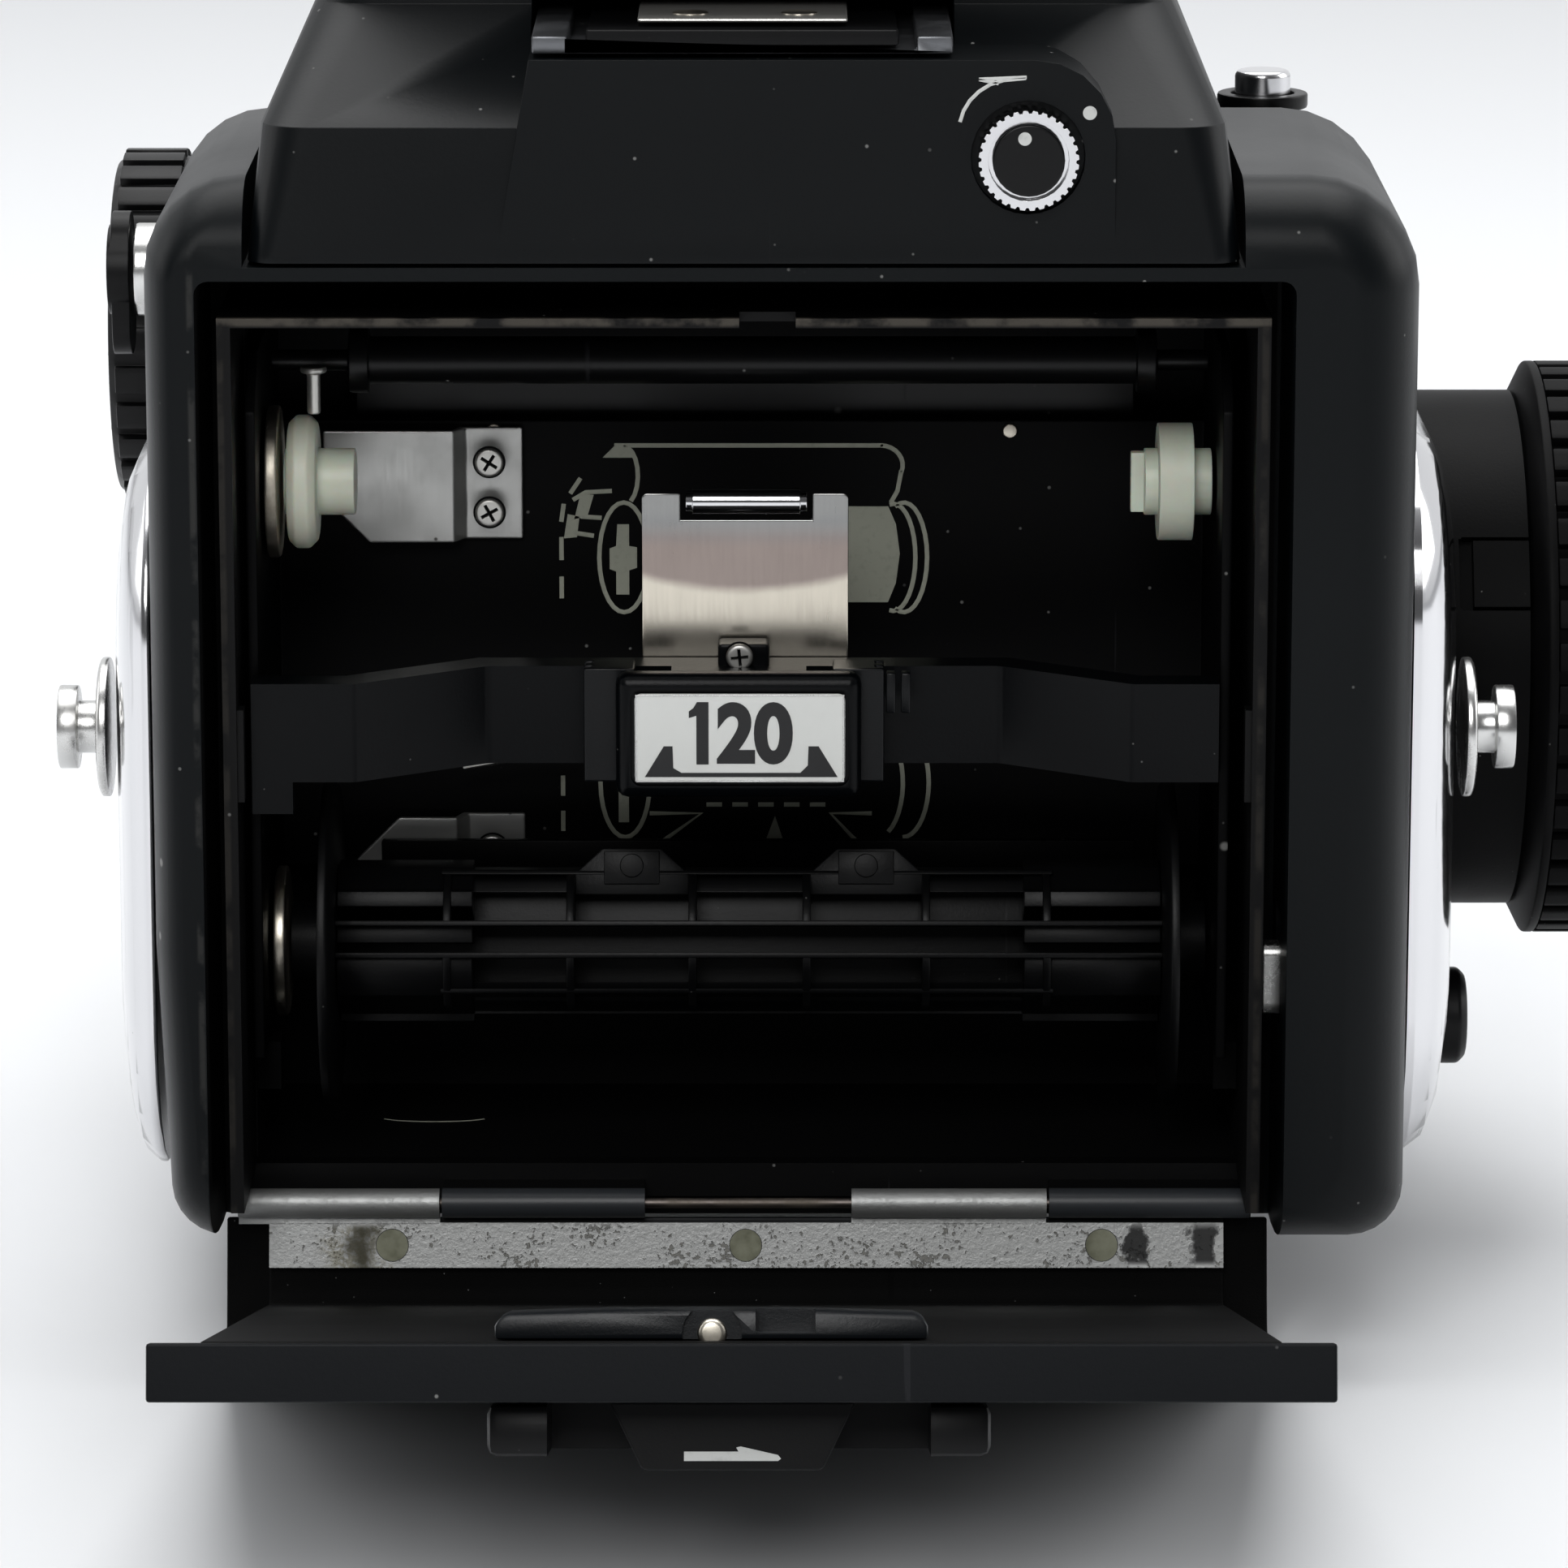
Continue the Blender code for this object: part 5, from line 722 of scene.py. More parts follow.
@dataclass(frozen=True)
class Glass(Finish):
    """Polished glass with a faint film of dust."""

    see_through: float = 1.0
    coating: float = 0.0
    dust_tone: Colour = (0.5, 0.5, 0.5)

    def lay(self, shader: Shader) -> None:
        """Clear body, with thin coating colours and a trace of dust.

        Args:
            shader: The material that the nodes go into.
        """
        dust = shader.specks(1300.0, 0.08, 0.03)
        film = shader.noise(70.0, 4.0)
        shader.dress(Base_Color=shader.mix(dust * 0.4, self.colour, self.dust_tone),
                     Roughness=self.roughness + film * 0.03 + dust * 0.3,
                     Transmission_Weight=self.see_through, IOR=1.6,
                     Thin_Film_Thickness=self.coating, Thin_Film_IOR=1.35)


@dataclass(frozen=True)
class Mirror(Finish):
    """Front-silvered mirror or a polished plate with dust on it."""

    dust_tone: Colour = (0.35, 0.35, 0.34)
    scratch_tone: Colour = (0.40, 0.40, 0.41)

    def lay(self, shader: Shader) -> None:
        """Polish, a cloudy wipe and dust.

        Args:
            shader: The material that the nodes go into.
        """
        dust = shader.specks(1200.0, 0.09, 0.06)
        wipe = shader.noise(46.0, 5.0)
        fine = shader.scratches(1700.0, 0.4, 0.73) + shader.scratches(1500.0, 1.9, 0.735)
        tone = shader.layers(self.colour, (dust * 0.5, self.dust_tone),
                             (fine * 0.25, self.scratch_tone))
        rough = self.roughness + wipe.above(0.52, 0.2) * 0.10 + dust * 0.3 + fine * 0.12
        shader.dress(Base_Color=tone, Metallic=1.0, Roughness=rough,
                     Normal=shader.bump(fine + shader.noise(900.0), 0.0000008))


@dataclass(frozen=True)
class Ink(Finish):
    """Printed or filled paint: flat colour that is a little thin in places."""

    thin: float = 0.25

    def lay(self, shader: Shader) -> None:
        """Colour with thin places and a matt tooth.

        Args:
            shader: The material that the nodes go into.
        """
        faint = shader.noise(1600.0, 4.0).above(0.60, 0.10) * self.thin
        under = tuple(part * 0.45 for part in self.colour)
        shader.dress(Base_Color=shader.mix(faint, self.colour, under),
                     Roughness=self.roughness + (shader.noise(500.0) - 0.5) * 0.1,
                     Normal=shader.bump(shader.noise(9000.0, 2.0), 0.000004))


@dataclass(frozen=True)
class Cloth(Finish):
    """Rubberised shutter cloth with a fine plain weave."""

    gap_tone: Colour = (0.008, 0.008, 0.008)

    def lay(self, shader: Shader) -> None:
        """Two crossing waves, a thread every 0.25 mm.

        Args:
            shader: The material that the nodes go into.
        """
        waves = [Value(shader, shader.node("ShaderNodeTexWave", {"bands_direction": way},
                                           {"Vector": shader.here, "Scale": 640.0,
                                            "Distortion": 0.4}).outputs["Fac"])
                 for way in ("X", "Z")]
        weave = waves[0].larger(waves[1])
        tone = shader.mix(weave, self.gap_tone, self.colour)
        shader.dress(Base_Color=tone, Roughness=self.roughness,
                     Normal=shader.bump(weave, 0.00003))


@dataclass(frozen=True)
class Paper(Finish):
    """Pale table top that the part stands on."""

    def lay(self, shader: Shader) -> None:
        """Plain pale sheet with the faintest cloud in it.

        Args:
            shader: The material that the nodes go into.
        """
        cloud = shader.noise(2.2, 3.0)
        shade = tuple(part * 0.965 for part in self.colour)
        shader.dress(Base_Color=shader.mix(cloud.above(0.5, 0.4), self.colour, shade),
                     Roughness=self.roughness, Specular_IOR_Level=0.2)


class Kit:
    """The finishes of this camera."""

    casing = CasingPaint("casing_paint", (0.0015, 0.0026, 0.0033), 0.40, gloss=0.15)
    finder = Enamel("finder_paint", (0.0012, 0.0020, 0.0026), 0.40, dust=0.10, gloss=0.17)
    door = DoorPaint("door_paint", (0.0046, 0.0054, 0.0066), 0.42, gloss=0.11)
    matt = Enamel("matt_black_paint", (0.0006, 0.0006, 0.0008), 0.50, chips=0.003, gloss=0.09)
    gloss = Enamel("smooth_black_paint", (0.0030, 0.0031, 0.0034), 0.30, peel=0.000003)
    dark_plastic = Moulding("dark_plastic", (0.0010, 0.0016, 0.0024), 0.36, gloss=0.26)
    spool_plastic = Moulding("spool_plastic", (0.0016, 0.0017, 0.0020), 0.40, gloss=0.20)
    satin_plastic = Moulding("satin_plastic", (0.0018, 0.0019, 0.0022), 0.38, grain=0.000006,
                             gloss=0.18)
    collar = Moulding("collar_plastic", (0.0012, 0.0012, 0.0013), 0.48, gloss=0.06)
    catch = Moulding("catch_plastic", (0.0048, 0.0060, 0.0076), 0.34, gloss=0.30)
    rubber = Rubber("ribbed_rubber", (0.0008, 0.0008, 0.0009), 0.52)
    trap = TrapPaint("trap_paint", (0.0013, 0.0013, 0.0015), 0.50, chips=0.003, gloss=0.18)
    chrome = Mirror("polished_chrome", (0.68, 0.68, 0.695), 0.09)
    turned = Metal("turned_alloy", (0.66, 0.66, 0.65), 0.24, stain=0.2)
    steel = Metal("bright_steel", (0.56, 0.54, 0.50), 0.26, (0.08, 1.0, 1.0), stain=0.45)
    pin_steel = Metal("dull_pin_steel", (0.15, 0.13, 0.12), 0.42, stain=0.6, specks=0.06)
    washer = Metal("plated_washer", (0.60, 0.56, 0.48), 0.30, stain=0.7, specks=0.08)
    strip = Metal("drawn_strip", (0.50, 0.50, 0.485), 0.36, (1.0, 1.0, 0.06), stain=0.22,
                  stain_colour=(0.34, 0.34, 0.33), shine=0.85)
    leaf = LeafMetal("spring_steel", (0.66, 0.61, 0.52), 0.24)
    hinge_rivet = Metal("hinge_rivet", (0.22, 0.225, 0.165), 0.52, stain=0.8, specks=0.22,
                        stain_colour=(0.09, 0.09, 0.05), shine=0.5)
    sleeve = Enamel("grey_sleeve", (0.030, 0.033, 0.037), 0.38, chips=0.003, gloss=0.35)
    bridge = Moulding("bridge_plastic", (0.0008, 0.0012, 0.0018), 0.34, gloss=0.13)
    hinge = HingeMetal("hinge_plating", (0.36, 0.365, 0.36), 0.45)
    label = Metal("label_alloy", (0.86, 0.87, 0.84), 0.50, (1.0, 1.0, 0.05), stain=0.06,
                  specks=0.012, stain_colour=(0.60, 0.60, 0.58), shine=0.45)
    rail = Metal("anodised_rail", (0.16, 0.165, 0.175), 0.36, (1.0, 0.05, 1.0), stain=0.3,
                 stain_colour=(0.07, 0.07, 0.075))
    nylon = MilkyPlastic("milky_nylon", (0.66, 0.69, 0.58), 0.42)
    lens_glass = Glass("coated_glass", (0.86, 0.90, 0.94), 0.02, 1.0, 320.0)
    window = Glass("eyepiece_window", (0.10, 0.11, 0.12), 0.04, 0.6, 240.0)
    screen = Glass("ground_screen", (0.62, 0.64, 0.62), 0.45, 0.5)
    mirror = Mirror("silvered_mirror", (0.90, 0.91, 0.92), 0.02)
    curtain = Cloth("curtain_cloth", (0.020, 0.020, 0.020), 0.85)
    white_ink = Ink("white_fill", (0.62, 0.63, 0.61), 0.50)
    label_ink = Ink("label_ink", (0.012, 0.012, 0.013), 0.45, 0.10)
    guide_ink = Ink("guide_ink", (0.40, 0.41, 0.335), 0.60, 0.20)
    paper = Paper("pale_table", (0.765, 0.775, 0.79), 0.55)


# --- piece making -------------------------------------------------------------------------


@dataclass(frozen=True)
class Softening:
    """Small radii on a solid's edges and smooth shading on its curves, by modifiers alone."""

    radius: float
    crease: float = math.radians(33.0)

    def smoothing(self) -> bpy.types.NodeTree:
        """Node group that shades faces smooth and keeps edges over the crease sharp.

        Returns:
            The group, made once and shared.
        """
        found = bpy.data.node_groups.get("smooth_curves")
        if found:
            return found
        tree = bpy.data.node_groups.new("smooth_curves", "GeometryNodeTree")
        for way in ("INPUT", "OUTPUT"):
            tree.interface.new_socket("Geometry", in_out=way, socket_type="NodeSocketGeometry")
        nodes = Nodes(tree)
        entry = nodes.node("NodeGroupInput")
        faces = nodes.node("GeometryNodeSetShadeSmooth", {}, {"Geometry": entry.outputs[0]})
        angle = nodes.node("GeometryNodeInputMeshEdgeAngle")
        steep = nodes.node("FunctionNodeCompare", {"operation": "GREATER_THAN"},
                           {"A": angle.outputs["Unsigned Angle"], "B": self.crease})
        edges = nodes.node("GeometryNodeSetShadeSmooth", {"domain": "EDGE"},
                           {"Geometry": faces.outputs[0], "Selection": steep.outputs[0],
                            "Shade Smooth": False})
        nodes.node("NodeGroupOutput", {}, [edges.outputs[0]])
        return tree

    def apply(self, solid: bpy.types.Object) -> None:
        """Add the modifiers, which leave the solid's own mesh as it is.

        Args:
            solid: The solid that is softened.
        """
        weld = solid.modifiers.new("weld", "WELD")
        weld.merge_threshold = 0.000002
        clean = solid.modifiers.new("clean", "DECIMATE")
        clean.decimate_type = "DISSOLVE"
        clean.angle_limit = math.radians(0.4)
        round_off = solid.modifiers.new("round_off", "BEVEL")
        round_off.width = self.radius
        round_off.segments = 2
        round_off.limit_method = "ANGLE"
        round_off.angle_limit = self.crease
        smooth = solid.modifiers.new("smooth", "NODES")
        smooth.node_group = self.smoothing()
        even = solid.modifiers.new("even", "WEIGHTED_NORMAL")
        even.keep_sharp = True
        even.weight = 80


class Bench:
    """Makes small pieces with mesh operators and fixes them to the bodies."""

    # Sharper edges than this stay sharp.
    crease = math.radians(35.0)
    # A figure's height as a share of the typeface's size.
    figure_share = 0.70

    @staticmethod
    def add(name: str, shape: Shape, finish: Finish, body: str, slot: str) -> bpy.types.Object:
        """Turn a finished shape into a piece of the camera.

        Args:
            name: The piece's name.
            shape: The shape, in place; it is freed.
            finish: What the piece is finished in.
            body: The body that it rides on.
            slot: Not used.

        Returns:
            The piece.
        """
        bmesh.ops.recalc_face_normals(shape, faces=shape.faces)
        mesh = bpy.data.meshes.new(name)
        shape.to_mesh(mesh)
        shape.free()
        mesh.shade_smooth()
        mesh.set_sharp_from_angle(angle=Bench.crease)
        mesh.materials.append(finish.material())
        piece = placed(name, mesh)
        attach(piece, body)
        LOG.info("%s: %d faces, rides on %s", name, len(mesh.polygons), body)
        return piece

    @staticmethod
    def coat(finish: Finish, node: str, radius: float) -> None:
        """Give a carried-over solid its finish and its small edge radii.

        Args:
            finish: What the solid is finished in.
            node: The solid's name.
            radius: The radius on its edges, in metres.
        """
        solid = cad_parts[node]
        Softening(radius).apply(solid)
        for held in solid.material_slots:
            held.material = finish.material()
        if not solid.material_slots:
            solid.data.materials.append(finish.material())
        LOG.info("%s: finished in %s", node, finish.name)

    @staticmethod
    def laid(shape: Shape, seat: Matrix) -> Shape:
        """The same shape, moved onto a seat."""
        bmesh.ops.transform(shape, matrix=seat, verts=shape.verts)
        return shape

    @staticmethod
    def raised(shape: Shape, faces: list[bmesh.types.BMFace],
               height: float) -> list[bmesh.types.BMVert]:
        """Draw flat faces up into a solid.

        Args:
            shape: The shape that the faces are in.
            faces: The faces, flat in X and Y.
            height: How far they are drawn up.

        Returns:
            The upper corners.
        """
        drawn = bmesh.ops.extrude_face_region(shape, geom=faces)["geom"]
        tops = [item for item in drawn if isinstance(item, bmesh.types.BMVert)]
        bmesh.ops.translate(shape, vec=(0.0, 0.0, height), verts=tops)
        return tops

    @classmethod
    def disc(cls, radius: float, height: float, seat: Matrix, bevel: float = 0.0,
             sides: int = 32) -> Shape:
        """Round flat piece that stands on its seat.

        Args:
            radius: Its radius.
            height: Its height.
            seat: Where the middle of its foot goes.
            bevel: The bevel of its upper edge.
            sides: How many sides stand for the round.

        Returns:
            The shape.
        """
        shape = bmesh.new()
        bmesh.ops.create_circle(shape, cap_ends=True, radius=radius, segments=sides)
        tops = set(cls.raised(shape, list(shape.faces), height))
        if bevel > 0.0:
            ring = [edge for edge in shape.edges if all(end in tops for end in edge.verts)]
            bmesh.ops.bevel(shape, geom=ring, offset=bevel, offset_type="OFFSET", segments=4,
                            profile=0.5, affect="EDGES", material=-1, clamp_overlap=True)
        return cls.laid(shape, seat)

    @classmethod
    def plate(cls, outline: list[Spot], height: float, seat: Matrix) -> Shape:
        """Flat piece with a drawn outline, raised from its seat.

        Args:
            outline: The corners of the outline, in metres.
            height: How far the piece stands up.
            seat: Where the drawing's own origin goes.

        Returns:
            The shape.
        """
        shape = bmesh.new()
        face = shape.faces.new([shape.verts.new((u, v, 0.0)) for u, v in outline])
        cls.raised(shape, [face], height)
        return cls.laid(shape, seat)

    @staticmethod
    def block(size: Place | Vector, centre: Place | Vector) -> Shape:
        """Upright block.

        Args:
            size: Its size along X, Y and Z.
            centre: Its middle.

        Returns:
            The shape.
        """
        shape = bmesh.new()
        bmesh.ops.create_cube(shape, size=1.0)
        bmesh.ops.scale(shape, vec=size, verts=shape.verts)
        bmesh.ops.translate(shape, vec=centre, verts=shape.verts)
        return shape

    @classmethod
    def from_curve(cls, curve: bpy.types.Curve, squeeze: Matrix) -> Shape:
        """Mesh of a curve or of text; the curve itself is thrown away.

        Args:
            curve: The curve or the text.
            squeeze: The matrix that flattens the mesh and seats it.

        Returns:
            The shape.
        """
        holder = placed(curve.name, curve)
        mesh = baked(holder)
        shape = bmesh.new()
        shape.from_mesh(mesh)
        bpy.data.objects.remove(holder)
        bpy.data.curves.remove(curve)
        bpy.data.meshes.remove(mesh)
        bmesh.ops.remove_doubles(shape, verts=shape.verts, dist=SAME_SPOT)
        return cls.laid(shape, squeeze)

    @classmethod
    def strokes(cls, lines: list[list[Spot]], width: float, seat: Matrix,
                height: float = FILM) -> Shape:
        """Drawn lines of one width, laid flat on a seat.

        Args:
            lines: The points of each line, in metres.
            width: The width of every line.
            seat: Where the drawing's own origin goes.
            height: How far the lines stand up.

        Returns:
            The shape.
        """
        curve = bpy.data.curves.new("strokes", "CURVE")
        curve.dimensions = "3D"
        curve.bevel_depth = width / 2
        curve.bevel_resolution = 1
        curve.use_fill_caps = True
        for points in lines:
            spline = curve.splines.new("POLY")
            spline.points.add(len(points) - 1)
            for knot, (u, v) in zip(spline.points, points):
                knot.co = (u, v, 0.0, 1.0)
        flat = Matrix.Diagonal((1.0, 1.0, 2 * height / width, 1.0))
        return cls.from_curve(curve, seat @ flat)

    @classmethod
    def lettering(cls, text: str, tall: float, seat: Matrix, narrow: float = 1.0,
                  bold: float = 0.0) -> Shape:
        """Figures centred on a seat.

        Args:
            text: The figures.
            tall: The height of a figure in metres.
            seat: Where the middle of the text goes.
            narrow: Width as a share of the face's own width.
            bold: How much the strokes are thickened, as a share of the height.

        Returns:
            The shape.
        """
        curve = bpy.data.curves.new("lettering", "FONT")
        curve.body = text
        curve.align_x = "CENTER"
        curve.align_y = "CENTER"
        curve.offset = bold
        curve.resolution_u = 8
        curve.extrude = 0.5
        size = tall / cls.figure_share
        squeeze = Matrix.Diagonal((size * narrow, size, FILM, 1.0))
        return cls.from_curve(curve, seat @ Matrix.Translation((0.0, 0.0, FILM / 2)) @ squeeze)

    @staticmethod
    def joined(*shapes: Shape) -> Shape:
        """Put several shapes together as one.

        Args:
            shapes: The shapes; all but the first are freed.

        Returns:
            The first shape, with the others in it.
        """
        whole, *others = shapes
        for other in others:
            spare = bpy.data.meshes.new("spare")
            other.to_mesh(spare)
            other.free()
            whole.from_mesh(spare)
            bpy.data.meshes.remove(spare)
        return whole

    @staticmethod
    def turned(profile: list[Spot], seat: Matrix, steps: int = 96) -> Shape:
        """Turned shape.

        Args:
            profile: Points as (radius, height), from axis to axis or in a closed line.
            seat: Where the foot of the axis goes.
            steps: How many steps stand for the full turn.

        Returns:
            The shape.
        """
        shape = bmesh.new()
        knots = [shape.verts.new((radius, 0.0, height)) for radius, height in profile]
        line = [shape.edges.new(pair) for pair in zip(knots, knots[1:])]
        bmesh.ops.spin(shape, geom=knots + line, axis=(0.0, 0.0, 1.0), cent=(0.0, 0.0, 0.0),
                       steps=steps, angle=2 * math.pi, use_merge=True)
        bmesh.ops.remove_doubles(shape, verts=shape.verts, dist=SAME_SPOT)
        bmesh.ops.recalc_face_normals(shape, faces=shape.faces)
        return Bench.laid(shape, seat)

    @staticmethod
    def rib(shape: Shape, seat: Matrix, band: Spot, count: int, wide: float,
            rise: float) -> None:
        """Raise ribs round a turned shape.

        Args:
            shape: The turned shape, in place on its seat.
            seat: The seat it was turned on.
            band: Lowest and highest height of the ribs.
            count: How many ribs there are.
            wide: The width of a rib as a share of its pitch.
            rise: How far the ribs stand up, as a share of the radius.
        """
        Bench.laid(shape, seat.inverted())
        chosen = []
        for face in shape.faces:
            middle = face.calc_center_median()
            turn = (math.atan2(middle.y, middle.x) / (2 * math.pi) * count) % 1.0
            outward = face.normal.to_2d().length > 0.9
            if outward and band[0] < middle.z < band[1] and turn < wide:
                chosen.append(face)
        raised = bmesh.ops.extrude_face_region(shape, geom=chosen)["geom"]
        bmesh.ops.delete(shape, geom=chosen, context="FACES_ONLY")
        tops = [item for item in raised if isinstance(item, bmesh.types.BMVert)]
        bmesh.ops.scale(shape, vec=(1.0 + rise, 1.0 + rise, 1.0), verts=tops)
        Bench.laid(shape, seat)

    @staticmethod
    def ease(shape: Shape, radius: float, steep: float = 33.0) -> None:
        """Round off the sharp edges of a shape.

        Args:
            shape: The shape.
            radius: The radius on its edges.
            steep: Edges sharper than this, in degrees, are rounded off.
        """
        bmesh.ops.recalc_face_normals(shape, faces=shape.faces)
        sharp = [edge for edge in shape.edges
                 if len(edge.link_faces) == 2 and edge.calc_face_angle() > math.radians(steep)]
        bmesh.ops.bevel(shape, geom=sharp, offset=radius, offset_type="OFFSET", segments=2,
                        profile=0.5, affect="EDGES", material=-1, clamp_overlap=True)

    @classmethod
    def screw(cls, name: str, seat: Matrix, size: Spot, finish: Finish, fixing: Fixing,
              turn: float) -> None:
        """Cross-slotted screw with a rounded head, in a dark seat.

        Args:
            name: The screw's name; its seat's name is made from it.
            seat: Where the middle of the head's foot goes.
            size: The head's radius and height.
            finish: What the head is finished in.
            fixing: Its body and its material slot.
            turn: How far the cross is turned, in radians.
        """
        radius, height = size
        piece = cls.add(name, cls.disc(radius, height, seat, height * 0.5), finish, *fixing)
        for angle in (turn, turn + math.pi / 2):
            arm = cls.block((radius * 1.30, radius * 0.24, height * 3.0), (0.0, 0.0, 0.0))
            lift = Matrix.Translation((0.0, 0.0, height)) @ Matrix.Rotation(angle, 4, "Z")
            cls.carve(piece, cls.laid(arm, seat @ lift))
        cls.add(f"{name}_seat", cls.disc(radius * 1.14, 0.00005, seat), Kit.matt, *fixing)

    @staticmethod
    def carve(piece: bpy.types.Object, shape: Shape) -> None:
        """Cut a shape out of a piece's own mesh.

        Args:
            piece: The piece.
            shape: The shape, in place; it is freed.
        """
        bmesh.ops.recalc_face_normals(shape, faces=shape.faces)
        mesh = bpy.data.meshes.new("cutter")
        shape.to_mesh(mesh)
        shape.free()
        tool = placed("cutter", mesh)
        step = piece.modifiers.new("carve", "BOOLEAN")
        step.operation = "DIFFERENCE"
        step.solver = "EXACT"
        step.object = tool
        before = piece.data
        name = before.name
        piece.data = baked(piece)
        piece.modifiers.clear()
        bpy.data.objects.remove(tool)
        bpy.data.meshes.remove(mesh)
        bpy.data.meshes.remove(before)
        piece.data.name = name


def arc(u: float, v: float, wide: float, tall: float, start: float, end: float,
        steps: int = 16) -> list[Spot]:
    """Points on part of an ellipse about (u, v), in metres, from start to end degrees."""
    turns = [math.radians(start + (end - start) * step / steps) for step in range(steps + 1)]
    return [(u + wide * math.cos(turn), v + tall * math.sin(turn)) for turn in turns]


def in_mm(points: list[Spot]) -> list[Spot]:
    """Points given in millimetres, in metres."""
    return [(u * MM, v * MM) for u, v in points]


# --- sub-assemblies -----------------------------------------------------------------------


@dataclass
class Assembly:
    """Solids that are finished together, and the small pieces that lie on them."""

    finishes: ClassVar[dict[str, Finish]] = {}
    radii: ClassVar[dict[str, float]] = {}
    edge_radius: float = 0.00020

    def build(self) -> None:
        """Finish the solids, then add the small pieces."""
        for node, finish in self.finishes.items():
            Bench.coat(finish, node, self.radii.get(node, self.edge_radius))
        self.dress()

    def dress(self) -> None:
        """Add the small pieces; each sub-assembly has its own."""


@dataclass
class Casing(Assembly):
    """The casing with its light-trap frame, base plate and what lies behind the gate."""

    finishes: ClassVar[dict[str, Finish]] = {
        "body_shell": Kit.casing, "rear_frame": Kit.trap, "base_plate": Kit.gloss,
        "tripod_bush": Kit.turned, "hinge_pin": Kit.pin_steel, "shutter_curtain": Kit.curtain,
        "focusing_screen": Kit.screen, "mirror_glass": Kit.mirror, "mirror_frame": Kit.matt}
    rub_centre: Place = (-0.0241, -0.0100, 0.0050 + HEAD_LIFT)
    rub_size: Spot = (0.0041, 0.0012)
    rub_width: float = 0.00022
    screw_inset: float = 0.012
    screw_sunk: float = 0.0002
    screw_size: Spot = (0.0016, 0.00035)

    def dress(self) -> None:
        """Add the chamber's rub mark and the screws of the base plate."""
        self.chamber_mark()
        self.base_screws()

    def chamber_mark(self) -> None:
        """Worn arc on the chamber floor, where the spool's flange has rubbed."""
        lines = [arc(0.0, 0.0, *self.rub_size, 200.0, 340.0)]
        Bench.add("floor_rub_mark",
                  Bench.strokes(lines, self.rub_width, Side.TOP.seat(self.rub_centre)),
                  Kit.guide_ink, *ON_HOUSING)

    def base_screws(self) -> None:
        """Four screws that hold the base plate."""
        low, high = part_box("base_plate")
        middle = (low + high) / 2
        for index, (u, v) in enumerate(((-1, -1), (1, -1), (-1, 1), (1, 1))):
            place = (middle.x + u * (high.x - low.x - self.screw_inset) / 2,
                     middle.y + v * (high.y - low.y - self.screw_inset) / 2, low.z)
            seat = Side.UNDER.seat(place) @ Matrix.Translation((0.0, 0.0, -self.screw_sunk))
            Bench.screw(f"base_screw_{index}", seat, self.screw_size, Kit.turned, ON_HOUSING,
                        0.4 + index)


